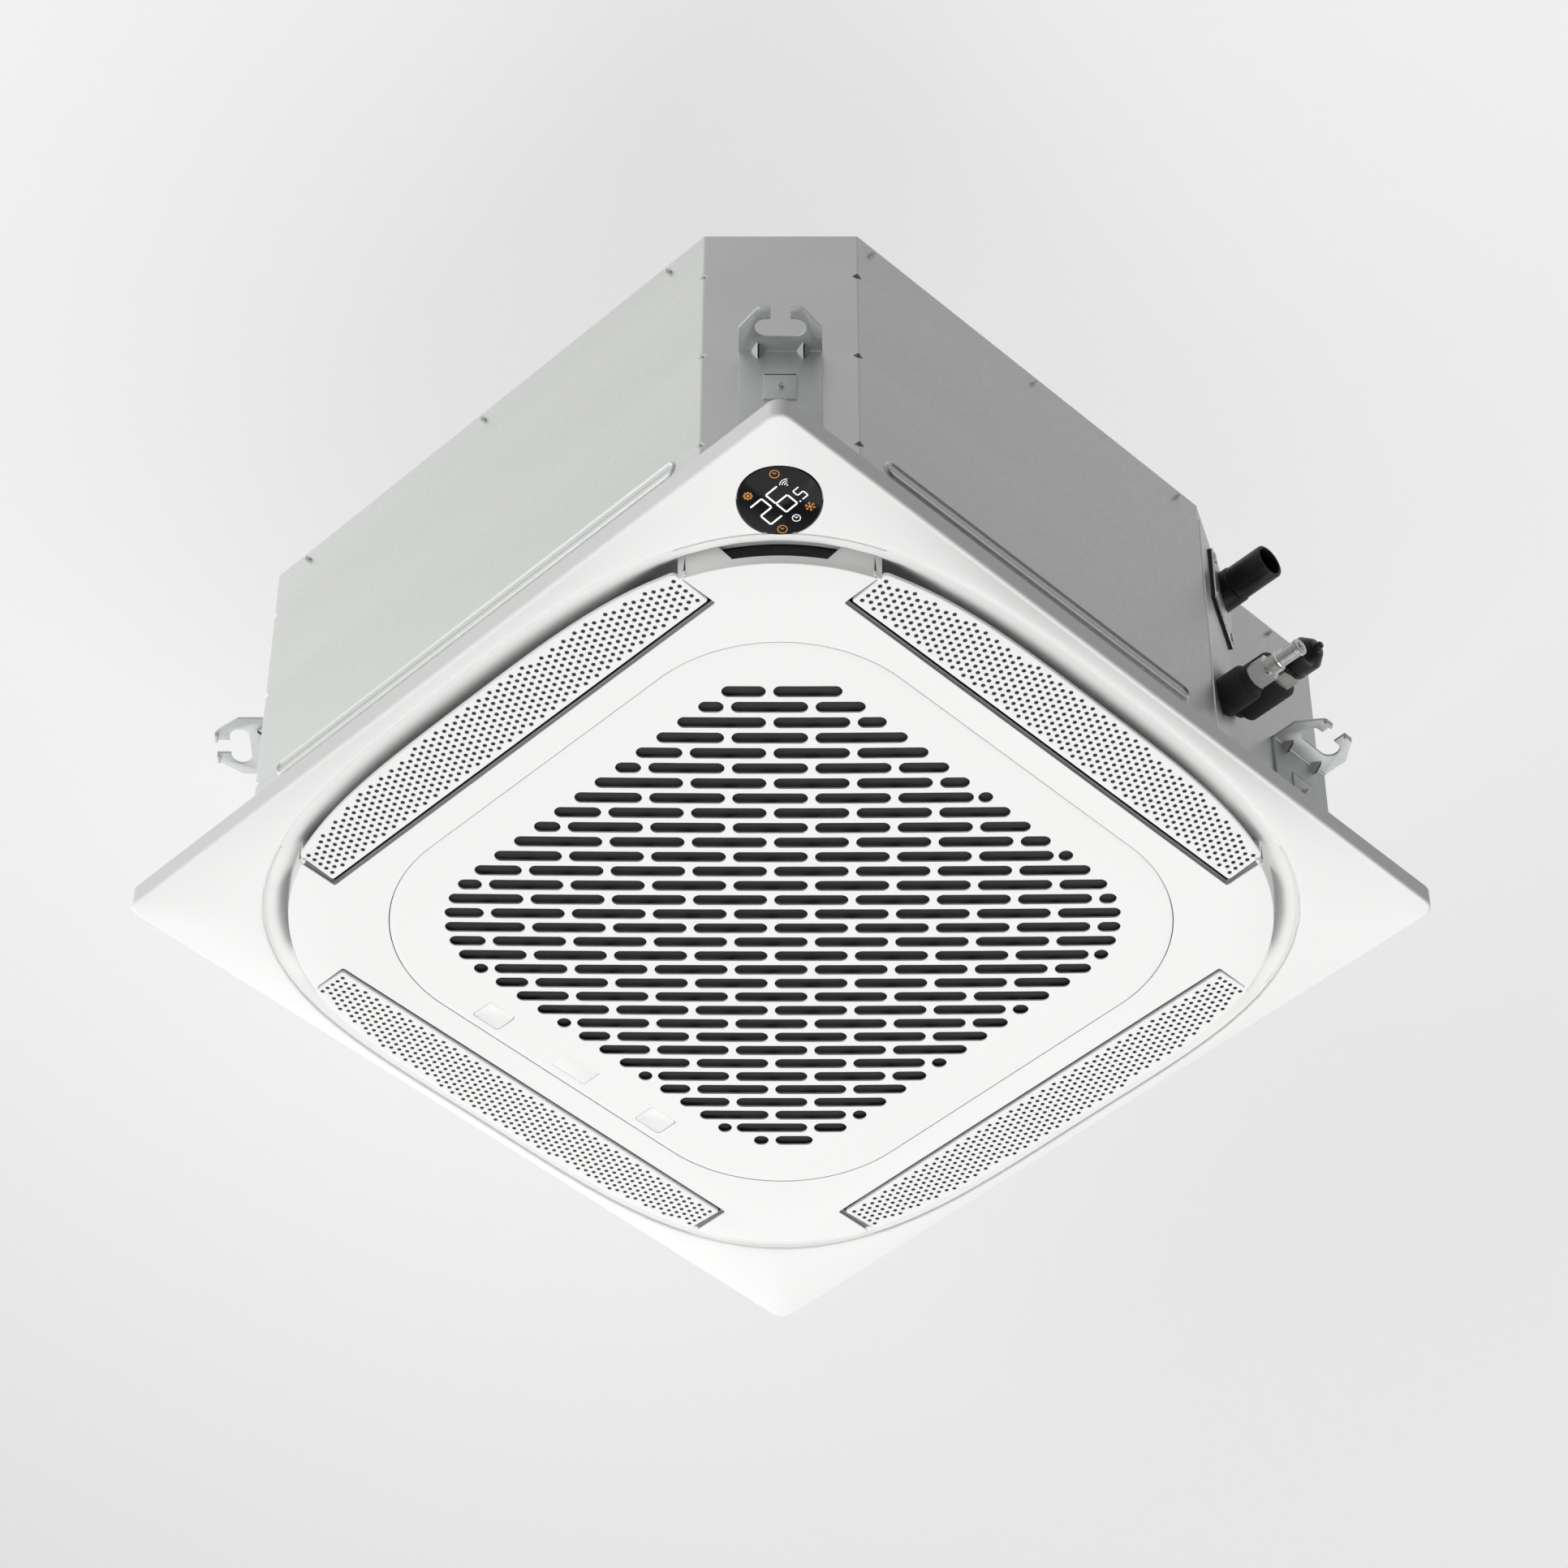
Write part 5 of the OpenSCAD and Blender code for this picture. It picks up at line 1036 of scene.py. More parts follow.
def perforation_tree():
    """Geometry Nodes that drill a plate with staggered rows of round holes clear of its edges."""
    tree, given, wanted = open_tree("louver_perforations", (
        ("Hole diameter", "Float"), ("Pitch across", "Float"), ("Pitch along", "Float"),
        ("Margin", "Float"), ("Rows", "Int"), ("Columns", "Int"), ("Start", "Float"),
        ("Level", "Float"), ("Finish", "Material"),
    ))
    # A grid with X across the louver and Y along it, shifted to start at its inner edge.
    across, along = given["Pitch across"], given["Pitch along"]
    wide = reckon(tree, "MULTIPLY", reckon(tree, "SUBTRACT", given["Columns"], 1), across)
    tall = reckon(tree, "MULTIPLY", reckon(tree, "SUBTRACT", given["Rows"], 1), along)
    grid = node(
        tree, "GeometryNodeMeshGrid",
        links={"Size X": wide, "Size Y": tall,
               "Vertices X": given["Columns"], "Vertices Y": given["Rows"]},
    )
    # Every other row is shifted by half a pitch.
    index = node(tree, "GeometryNodeInputIndex").outputs[0]
    row = reckon(tree, "FLOORED_MODULO", index, given["Rows"])
    odd = reckon(tree, "FLOORED_MODULO", row, 2.0)
    shift = reckon(tree, "MULTIPLY", reckon(tree, "MULTIPLY", odd, 0.5), across)
    start = reckon(tree, "ADD", reckon(tree, "MULTIPLY", wide, 0.5), given["Start"])
    move = node(
        tree, "ShaderNodeCombineXYZ",
        links={"X": reckon(tree, "ADD", start, shift), "Z": given["Level"]},
    )
    moved = node(
        tree, "GeometryNodeSetPosition",
        links={"Geometry": grid.outputs["Mesh"], "Offset": move.outputs[0]},
    )
    near = node(
        tree, "GeometryNodeProximity", links={0: given["Geometry"]}, target_element="EDGES"
    )
    close = node(
        tree, "FunctionNodeCompare",
        links={0: near.outputs["Distance"], 1: given["Margin"]},
        data_type="FLOAT", operation="LESS_THAN",
    )
    kept = node(
        tree, "GeometryNodeDeleteGeometry",
        links={"Geometry": moved.outputs[0], "Selection": close.outputs[0]}, domain="POINT",
    )
    drill = node(
        tree, "GeometryNodeMeshCylinder", {"Vertices": 10, "Depth": 0.02},
        {"Radius": reckon(tree, "MULTIPLY", given["Hole diameter"], 0.5)},
    )
    drills = node(
        tree, "GeometryNodeInstanceOnPoints",
        links={"Points": kept.outputs[0], "Instance": drill.outputs["Mesh"]},
    )
    real = node(tree, "GeometryNodeRealizeInstances", links={0: drills.outputs[0]})
    close_tree(tree, given, carve(tree, given["Geometry"], real.outputs[0]))
    return tree, wanted


class CASSETTE_OT_louvers(bpy.types.Operator):
    """Makes the four louvers with their rounded edges, pivots and perforations"""

    bl_idname = "cassette.louvers"
    bl_label = "Louvers"

    # Lengths in millimetres: how far the outer edge rises, the rounding of the outer and inner
    # corners and of the edges, and the height of the inner edge.
    RISE = 3.0
    OUTER_R, INNER_R = 4.5, 2
    EDGE_R = 0.9
    INNER_Z = -30.5
    PIVOT_X, PIVOT_Z = 253.5, -24.5
    EAR_R, PIN_R, PIN_END = 4, 2, 184.3

    def execute(self, context):
        f, v = settings().face, settings().louver
        inner = f.outlet / MM + v.gap / MM
        end, thick = v.half / MM, v.thick / MM
        half, power = f.half / MM, v.power
        tilt = math.atan(self.RISE / (half - inner))
        tree, sockets = perforation_tree()

        def edge(y):
            return (half ** power - abs(y) ** power) ** (1 / power) - inner

        corner = edge(end - 4)
        r, big = self.INNER_R, self.OUTER_R
        outline = [(r - r * math.cos(a), -end + r - r * math.sin(a))
                   for a in [math.pi / 2 * k / 5 for k in range(6)]]
        outline.append((corner - big, -end))
        for k in range(1, 7):
            a = math.pi / 2 * (1 - k / 7)
            outline.append((corner - big + big * math.cos(a), -end + big - big * math.sin(a)))
        for k in range(1, 48):
            y = (end - big) * (2 * k / 48 - 1)
            outline.append((edge(y) - 0.2, y))
        outline += [(x, -y) for x, y in reversed(outline[:13])]
        for name, turn in QUARTERS:
            points, faces = soft_plate(outline, 0, thick, self.EDGE_R)
            blank = make_mesh("vane_" + name, points, faces, "white_abs", recalc=True)
            step = blank.modifiers.new("perforate", "NODES")
            step.node_group = tree
            for key, value in (
                ("Hole diameter", v.hole), ("Pitch across", v.across), ("Pitch along", v.along),
                ("Margin", v.margin), ("Rows", 69), ("Columns", 10), ("Start", 4.8 * MM),
                ("Level", 0.0), ("Finish", FINISH["white_abs"]),
            ):
                step[sockets[key]] = value
            plain(blank)
            # A black core inside the plate: painted shade that shows through the perforations as their
            # dark depth.
            points, faces = pillow(outline, [(2.2, 0.4), (2.2, thick - self.EDGE_R)])
            hole_shade_core = make_mesh("backing", points, faces, "black", recalc=True)
            c, s = math.cos(tilt), math.sin(tilt)
            for part in (blank, hole_shade_core):
                for vert in part.data.vertices:
                    x, y, z = vert.co / MM
                    lifted = self.INNER_Z + x * s + z * c
                    vert.co = Vector((inner + x * c - z * s, y, lifted)) * MM
            parts = [blank, hole_shade_core]
            pivot_x, pivot_z, r = self.PIVOT_X, self.PIVOT_Z, self.EAR_R
            for side in (-1, 1):
                ear = [(pivot_x - r, -28.2), (pivot_x + r, -28.0), (pivot_x + r, pivot_z)]
                ear += [(pivot_x + r * math.cos(a), pivot_z + r * math.sin(a))
                        for a in [math.pi * k / 10 for k in range(1, 10)]]
                ear.append((pivot_x - r, pivot_z))
                loops = [[(x, side * y, z) for x, z in ear] for y in (end - 5, end - 2.2)]
                p, s2 = loop_skin(loops)
                parts.append(make_mesh("ear", p, s2, "black", recalc=True))
                pin = [[(pivot_x + x, side * y, pivot_z + z) for x, z in circle(self.PIN_R, 20)]
                       for y in (end - 3, self.PIN_END)]
                p, s2 = loop_skin(pin)
                parts.append(make_mesh("pin", p, s2, "black", recalc=True))
            made = join("louver_" + name + "_vane", parts)
            tidy_shading(made, 35)
            made.data.transform(Matrix.Rotation(math.radians(turn), 4, "Z"))
            piece(made, "vane_" + name, "white_abs", "louver_" + name)
        return {"FINISHED"}


# The latch buttons and the inset plate on the grille, in millimetres
LATCH_Y = 76
LATCH_X = (-209, -191)
LATCH_HALF = 11.5
LATCH_SEAM = 0.3
PLATE_X = (-208, -192)
PLATE_HALF = 15
PLATE_SEAM = 0.2


def slot_table(g):
    """Every slot of the grille as (place along its row, place across it, half length), in metres."""
    out = []
    reach = (g.field - g.field_corner) * math.sqrt(2)
    bend = g.field_corner / math.sqrt(2)
    for row in range(-g.rows, g.rows + 1):
        place = row * g.row + 1.25 * MM
        u = abs(place - g.ahead)
        if u <= bend:
            limit = reach + math.sqrt(g.field_corner ** 2 - u * u)
        elif u <= reach + bend:
            limit = g.field * math.sqrt(2) - u
        else:
            limit = math.sqrt(max(0.0, g.field_corner ** 2 - (u - reach) ** 2))
        first, last = g.aside - limit, g.aside + limit
        shift = (0.374 if row % 2 == 0 else -0.126) * g.pitch
        kept = []
        for k in range(-6, 7):
            middle = shift + k * g.pitch
            low, high = max(middle - g.slot / 2, first), min(middle + g.slot / 2, last)
            if high - low >= g.least:
                kept.append([low, high])
        # Where what is left of a slot is too short, its neighbour runs on to the field's edge.
        gap = g.pitch - g.slot + g.least
        if kept and 0 < kept[0][0] - first < gap:
            kept[0][0] = first
        if kept and 0 < last - kept[-1][1] < gap:
            kept[-1][1] = last
        for low, high in kept:
            out.append(((low + high) / 2, place, max(high - low, g.width) / 2))
    return out


def slot_tree():
    """Geometry Nodes that cut a round-ended slot at each given point, along the diagonal."""
    tree, given, wanted = open_tree("grille_slots", (
        ("Slot places", "Object"), ("Slot width", "Float"), ("Depth", "Float"),
        ("Finish", "Material"),
    ))
    places = node(tree, "GeometryNodeObjectInfo", links={"Object": given["Slot places"]})
    # Eighteen sides, none of whose corners lies on the line that parts the two ends.
    radius = reckon(tree, "MULTIPLY", given["Slot width"], 0.5 / math.sin(math.radians(80)))
    end = node(
        tree, "GeometryNodeMeshCylinder", {"Vertices": 18},
        {"Radius": radius, "Depth": given["Depth"]},
    )
    place = node(tree, "GeometryNodeInputPosition")
    here = node(tree, "ShaderNodeSeparateXYZ", links={0: place.outputs[0]})
    marked = node(
        tree, "GeometryNodeStoreNamedAttribute", {"Name": "side"},
        {"Geometry": end.outputs["Mesh"], "Value": reckon(tree, "SIGN", here.outputs["X"])},
        data_type="FLOAT", domain="POINT",
    )
    turn = node(tree, "FunctionNodeEulerToRotation", {0: (0, 0, math.radians(45))})
    ends = node(
        tree, "GeometryNodeInstanceOnPoints",
        links={"Points": places.outputs["Geometry"], "Instance": marked.outputs[0],
               "Rotation": turn.outputs[0]},
    )
    real = node(tree, "GeometryNodeRealizeInstances", links={0: ends.outputs[0]})
    # Each end is drawn out to its own side by the slot's reach.
    which = node(tree, "GeometryNodeInputNamedAttribute", {"Name": "side"}, data_type="FLOAT")
    reach = node(tree, "GeometryNodeInputNamedAttribute", {"Name": "reach"}, data_type="FLOAT")
    far = reckon(tree, "MULTIPLY", which.outputs["Attribute"], reach.outputs["Attribute"])
    far = reckon(tree, "MULTIPLY", far, math.sqrt(0.5))
    move = node(tree, "ShaderNodeCombineXYZ", links={"X": far, "Y": far})
    slots = node(
        tree, "GeometryNodeSetPosition",
        links={"Geometry": real.outputs[0], "Offset": move.outputs[0]},
    )
    close_tree(tree, given, carve(tree, given["Geometry"], slots.outputs[0]))
    return tree, wanted


class CASSETTE_OT_grille(bpy.types.Operator):
    """Makes the crowned intake grille with its slots, latch windows and plate recess"""

    bl_idname = "cassette.grille"
    bl_label = "Intake grille"

    def execute(self, context):
        f, g = settings().face, settings().grille
        drop, crown = f.drop / MM, g.crown / MM
        half, corner = g.half / MM, g.corner / MM
        angles = stations(half, corner, 12, 28)
        shares = [0.12 * k for k in range(1, 8)] + [0.9, 0.95, 0.98]
        loops = []
        for share in shares:
            loops.append([
                polar(round_square(a, half, corner) * share, a, -drop - crown * (1 - share ** 2.5))
                for a in angles
            ])
        for k in range(4):
            t = math.pi / 2 * k / 3
            loops.append([
                polar(round_square(a, half, corner) - 0.7 * (1 - math.sin(t)), a,
                      -drop + 0.7 * (1 - math.cos(t)))
                for a in angles
            ])
        loops.append([polar(round_square(a, half, corner), a, -drop + 2.5) for a in angles])
        loops.append([polar(round_square(a, half, corner) * 0.98, a, -drop + 2.5) for a in angles])
        for share in (0.96, *(0.12 * k for k in range(7, 0, -1))):
            loops.append([
                polar(round_square(a, half, corner) * share, a,
                      -drop - crown * (1 - share ** 2.5) + 1.1)
                for a in angles
            ])
        points, faces = loop_skin(loops)
        made = make_mesh("grille_plate", points, faces, "white_abs", recalc=True)
        table = slot_table(g)
        places = bpy.data.meshes.new("slot_places")
        d = math.sqrt(0.5)
        places.from_pydata(
            [((t + u) * d, (t - u) * d, -drop * MM) for t, u, _ in table], [], []
        )
        reach = places.attributes.new("reach", "FLOAT", "POINT")
        reach.data.foreach_set("value", [h - g.width / 2 for _, _, h in table])
        marker = bpy.data.objects.new("slot_places", places)
        context.scene.collection.objects.link(marker)
        tree, sockets = slot_tree()
        step = made.modifiers.new("slots", "NODES")
        step.node_group = tree
        step[sockets["Slot places"]] = marker
        step[sockets["Slot width"]] = g.width
        step[sockets["Depth"]] = 0.03
        step[sockets["Finish"]] = FINISH["white_abs"]
        plain(made)
        bpy.data.objects.remove(marker)
        cutters = []
        x0, x1, reach = LATCH_X[0] - LATCH_SEAM, LATCH_X[1] + LATCH_SEAM, LATCH_HALF + LATCH_SEAM
        for y in (-LATCH_Y, LATCH_Y):
            corners = rounded(rectangle(x0, y - reach, x1, y + reach), 2.6)
            p, s = pillow(corners, [(0, -60), (0, 0)])
            cutters.append(make_mesh("latch_window", p, s, "white_abs", recalc=True))
        x0, x1, reach = PLATE_X[0] - PLATE_SEAM, PLATE_X[1] + PLATE_SEAM, PLATE_HALF + PLATE_SEAM
        corners = rounded(rectangle(x0, -reach, x1, reach), 0.5)
        p, s = pillow(corners, [(0, -60), (0, -drop + 1)])
        cutters.append(make_mesh("plate_recess", p, s, "white_abs", recalc=True))
        cut(made, cutters)
        tidy_shading(made, 30)
        made = join("intake_grille_moulding", [made])
        piece(made, "grille", "white_abs", "intake_grille")
        return {"FINISHED"}


class CASSETTE_OT_latches(bpy.types.Operator):
    """Makes the two push buttons and the bare inset plate"""

    bl_idname = "cassette.latches"
    bl_label = "Latches"

    def execute(self, context):
        drop = settings().face.drop / MM
        for name, y in (("back", LATCH_Y), ("front", -LATCH_Y)):
            corners = rounded(
                rectangle(LATCH_X[0], y - LATCH_HALF, LATCH_X[1], y + LATCH_HALF), 2.4
            )
            # The button's face is dished by half a millimetre.
            p, s = pillow(corners, [(2.2, -drop + 0.15), (1.7, -drop - 0.1), (1.2, -drop - 0.32),
                                    (0.7, -drop - 0.3), (0.2, -drop), (0, -drop + 0.8),
                                    (0, -28.0)])
            parts = [make_mesh("button", p, s, "white_abs", 50, recalc=True)]
            for x0, y0, x1, y1, z0, z1 in (
                (-211, y - 13.5, -193, y + 13.5, -28.6, -27.1),
                (-216, y - 5, -200, y + 5, -28.1, -24.6),
            ):
                p, s = soft_plate(rounded(rectangle(x0, y0, x1, y1), 0.6, 3), z0, z1, 0.3, 2)
                parts.append(make_mesh("catch", p, s, "white_abs", recalc=True))
            made = join("grille_button_" + name, parts)
            piece(made, "button_" + name, "white_abs", "latch_" + name)
        corners = rounded(rectangle(PLATE_X[0], -PLATE_HALF, PLATE_X[1], PLATE_HALF), 0.4, 3)
        p, s = soft_plate(corners, -drop - 0.15, -29.2, 0.15, 2)
        made = make_mesh("grille_inset_plate", p, s, "white_abs", recalc=True)
        piece(made, "grille", "white_abs", "blank_plate")
        return {"FINISHED"}


def sheet_outline(c, inset):
    """Corners of the casing's plan, counter-clockwise, moved in by an inset."""
    half, cut_len = c.half / MM - inset, c.cut / MM - inset * (2 - math.sqrt(2))
    step = 245 - inset
    shift = inset * 0.2484
    q = half - cut_len
    return [
        (half, -q), (half, 120.5 - shift), (step, 196 - shift), (step, half), (-q, half),
        (-half, q), (-half, -q), (-q, -half), (q, -half),
    ]


# Run of the line that halves a fold of 45 degrees
FOLD = 2.414


class CASSETTE_OT_casing(bpy.types.Operator):
    """Makes the folded casing with round bends, pressed beads, darts and rolled edges"""

    bl_idname = "cassette.casing"
    bl_label = "Casing"

    def execute(self, context):
        c = settings().casing
        top, bend, sheet = c.height / MM, c.bend / MM, c.sheet / MM
        outer = rounded(sheet_outline(c, 0), bend, 5)
        inner = rounded(sheet_outline(c, sheet), bend - sheet, 5)
        loops = []
        for k in range(3):
            t = k / 2
            loops.append([(x, y, 0.3 + 0.35 * t) for x, y in shrink(outer, 0.35 * (1 - t))])
        for z in (43, 57, 150, top - 0.7):
            loops.append([(x, y, z) for x, y in outer])
        loops.append([(x, y, top) for x, y in shrink(outer, 0.35)])
        loops.append([(x, y, top) for x, y in inner])
        loops.append([(x, y, 0.3) for x, y in inner])
        points, faces = loop_skin(loops, closed=True)
        made = make_mesh("casing_sheet", points, faces, "zinc", 25, recalc=True)
        cutters = []
        half, q = c.half / MM, (c.half - c.cut) / MM
        # Window behind the pipe plate.
        along = Vector((-40, 75.5, 0)).normalized()
        out = Vector((75.5, 40, 0)).normalized()
        base = Vector((285, 120.5, 0))
        quad = [base + along * a + out * b for a, b in ((15, -4), (70.4, -4), (70.4, 4), (15, 4))]
        p, s = pillow([(v.x, v.y) for v in reversed(quad)], [(0, 60), (0, 245)])
        cutters.append(make_mesh("pipe_window", p, s, "zinc", recalc=True))
        # Pressed darts that stiffen the folds.
        for x, y, nx, ny in (
            (q, -half, 1, -FOLD), (half, -q, FOLD, -1), (-q, -half, -1, -FOLD),
            (-half, -q, -FOLD, -1), (-half, q, -FOLD, 1), (-q, half, -1, FOLD),
        ):
            n = Vector((nx, ny, 0)).normalized()
            side = Vector((-n.y, n.x, 0))
            for z in (52, 138, 218):
                at = Vector((x, y, z))
                tips = [at + side * 7.5, at + n * 2, at - side * 7.5, at - n * 1.5,
                        at + Vector((0, 0, 3.2)), at - Vector((0, 0, 3.2))]
                tips = [tips[0] - n * 1.4, tips[1], tips[2] - n * 1.4, tips[3], tips[4], tips[5]]
                sides = [(0, 1, 4), (1, 2, 4), (2, 3, 4), (3, 0, 4),
                         (1, 0, 5), (2, 1, 5), (3, 2, 5), (0, 3, 5)]
                cutters.append(make_mesh("dart", tips, sides, "zinc", recalc=True))
        cut(made, cutters)
        tidy_shading(made, 25)
        parts = [made]
        # Pressed beads, round-ended and soft-shouldered.
        straight = q - 22
        for turn, low, high in ((0, -straight, 96), (90, -straight, straight),
                                (180, -straight, straight), (270, -straight, straight)):
            width = c.bead / MM
            outline = rounded(
                rectangle(low, c.bead_z / MM - width / 2, high, c.bead_z / MM + width / 2),
                width / 2 - 0.01, 8,
            )
            flat, skin = pillow(outline, [(0, -0.3), (0, 0.1), (0.7, 1.1), (1.5, 1.5),
                                          (2.3, 1.1), (3.1, 0.35), (3.8, 0.3)])
            p = [(half + d, y, z) for y, z, d in flat]
            parts.append(make_mesh("bead", turned(p, turn), skin, "zinc", 30, recalc=True))
        made = join("side_shell_sheet", parts)
        piece(made, "housing", "galvanised_steel", "side_shell")
        return {"FINISHED"}


class CASSETTE_OT_hangers(bpy.types.Operator):
    """Makes the four suspension brackets with their slots, gussets and screw tabs"""

    bl_idname = "cassette.hangers"
    bl_label = "Hangers"

    def bracket(self, h):
        """The pieces of one bracket, with X out of the casing and the slotted plate at zero."""
        reach, w = h.reach / MM, h.width / MM / 2
        leg, tab_top, tab_low = h.leg / MM, -h.tab_drop / MM, -(h.tab_drop + h.tab) / MM
        r, mid, mouth = h.slot_r / MM, h.slot_x / MM, h.mouth / MM / 2
        far = h.slot / MM / 2 - r
        tip = w / 2
        outline = [(0, -w), (reach * 0.56, -w), (reach - 2.5, -tip - 2.5), (reach, -tip),
                   (reach, -mouth), (mid + r, -mouth)]
        for side in (-1, 1):
            for k in range(13):
                a = math.pi * k / 12
                a = -a if side < 0 else math.pi - a
                outline.append((mid + r * math.cos(a), side * far + r * math.sin(a)))
        outline += [(mid + r, mouth), (reach, mouth), (reach, tip), (reach - 2.5, tip + 2.5),
                    (reach * 0.56, w), (0, w)]
        p, s = soft_plate(outline, -1, 1, 0.35, 2)
        parts = [make_mesh("plate", p, s, "zinc_bright", 30, recalc=True)]

        def slab(name, y0, z0, y1, z1, x0, x1, finish="zinc_bright"):
            p, s = soft_plate(rectangle(y0, z0, y1, z1), x0, x1, min(0.3, (x1 - x0) / 3), 2)
            p = [(x, y, z) for y, z, x in p]
            parts.append(make_mesh(name, p, s, finish, 30, recalc=True))

        slab("leg", -w, -leg, w, 0.9, 0.0, 2.0)
        slab("tab", -h.tab_w / MM / 2, tab_low, h.tab_w / MM / 2, tab_top, 1.8, 3.2)
        # A black slab behind the tab's top edge: painted shade in the gap between tab and leg.
        slab("tab_gap", -h.tab_w / MM / 2 + 0.3, tab_top - 0.2, h.tab_w / MM / 2 - 0.3,
             tab_top + 1.9, 1.4, 2.4, "black")
        # The fold's inner bead, and the gussets pressed across it with a slit in each; each slit is a
        # black sheet, painted shade in the slit.
        p, s = loop_skin([
            [(1.5, y, -0.8), (3.3, y, -0.8), (3.0, y, -1.5), (2.7, y, -1.9), (1.5, y, -2.3)]
            for y in (-w + 0.4, w - 0.4)
        ])
        parts.append(make_mesh("fold", p, s, "zinc_bright", recalc=True))
        for side in (-1, 1):
            g = side * h.gusset / MM
            tips = [(10, g, -0.9), (1.9, g, -9), (1.9, g - 4.75, -0.9), (1.9, g + 4.75, -0.9)]
            faces = [(0, 2, 1), (1, 3, 0), (0, 3, 2), (1, 2, 3)]
            parts.append(make_mesh("gusset", tips, faces, "screw", recalc=True))
            # The slit: a black sheet, painted shade.
            p, s = loop_skin([
                [(8.4, y, -1.0), (8.2, y, -2.6), (3.3, y, -7.5), (1.9, y, -7.4), (1.9, y, -1.0)]
                for y in (g + 0.5, g + 1.1)
            ])
            parts.append(make_mesh("slit", p, s, "black", recalc=True))
            slab("lip", min(side * 7, side * 13.4), -4.0, max(side * 7, side * 13.4), -0.5,
                 reach - 2, reach)
        return parts

    def execute(self, context):
        h = settings().hanger
        z = h.place / MM
        chamfer = (settings().casing.half - settings().casing.cut / 2) / MM * math.sqrt(2)
        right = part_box("hanger_right")[0].x / MM
        for name, turn, x, y in (
            ("near", -45, chamfer, 0.0), ("left", -135, chamfer, 0.0), ("far", 135, chamfer, 0.0),
            ("right", 0, right, 260.0),
        ):
            made = join("hanger_" + name + "_bracket", self.bracket(h))
            c, s = math.cos(math.radians(turn)), math.sin(math.radians(turn))
            for vert in made.data.vertices:
                px, py, pz = vert.co / MM
                px, py = px + x, py + y
                vert.co = Vector((px * c - py * s, px * s + py * c, pz + z)) * MM
            piece(made, "housing", "galvanised_steel", "hanger_" + name)
        return {"FINISHED"}


def screw_tree():
    """Geometry Nodes that set a cross-recessed pan head on each given point."""
    tree, given, wanted = open_tree("screw_heads", (
        ("Head radius", "Float"), ("Head height", "Float"), ("Shank length", "Float"),
        ("Finish", "Material"),
    ))
    radius, height, length_in = given["Head radius"], given["Head height"], given["Shank length"]
    dome = node(
        tree, "GeometryNodeMeshCone", {"Vertices": 20, "Side Segments": 1},
        {"Radius Top": reckon(tree, "MULTIPLY", radius, 0.62), "Radius Bottom": radius,
         "Depth": height},
    )
    # The recess is a cross of two bars as long as the head's radius.
    bar_w = reckon(tree, "MULTIPLY", radius, 0.22)
    cross = node(tree, "GeometryNodeJoinGeometry")
    for across, along in ((radius, bar_w), (bar_w, radius)):
        size = node(tree, "ShaderNodeCombineXYZ", links={"X": across, "Y": along, "Z": height})
        bar = node(tree, "GeometryNodeMeshCube", links={"Size": size.outputs[0]})
        tree.links.new(bar.outputs["Mesh"], cross.inputs[0])
    lift = node(
        tree, "ShaderNodeCombineXYZ", links={"Z": reckon(tree, "MULTIPLY", height, 1.05)}
    )
    sunk = node(
        tree, "GeometryNodeTransform",
        links={"Geometry": cross.outputs[0], "Translation": lift.outputs[0]},
    )
    headed = node(
        tree, "GeometryNodeMeshBoolean",
        links={"Mesh 1": dome.outputs["Mesh"], "Mesh 2": sunk.outputs[0]}, operation="DIFFERENCE",
    )
    shank = node(
        tree, "GeometryNodeMeshCylinder", {"Vertices": 12},
        {"Radius": reckon(tree, "MULTIPLY", radius, 0.5), "Depth": length_in},
    )
    down = node(
        tree, "ShaderNodeCombineXYZ", links={"Z": reckon(tree, "MULTIPLY", length_in, -0.45)}
    )
    hung = node(
        tree, "GeometryNodeTransform",
        links={"Geometry": shank.outputs["Mesh"], "Translation": down.outputs[0]},
    )
    screw = node(tree, "GeometryNodeJoinGeometry")
    tree.links.new(headed.outputs["Mesh"], screw.inputs[0])
    tree.links.new(hung.outputs[0], screw.inputs[0])
    aim = node(tree, "GeometryNodeInputNamedAttribute", {"Name": "aim"}, data_type="FLOAT_VECTOR")
    turn = node(
        tree, "FunctionNodeAlignRotationToVector", links={"Vector": aim.outputs["Attribute"]},
        axis="Z",
    )
    screws = node(
        tree, "GeometryNodeInstanceOnPoints",
        links={"Points": given["Geometry"], "Instance": screw.outputs[0],
               "Rotation": turn.outputs[0]},
    )
    close_tree(tree, given, screws.outputs[0])
    return tree, wanted


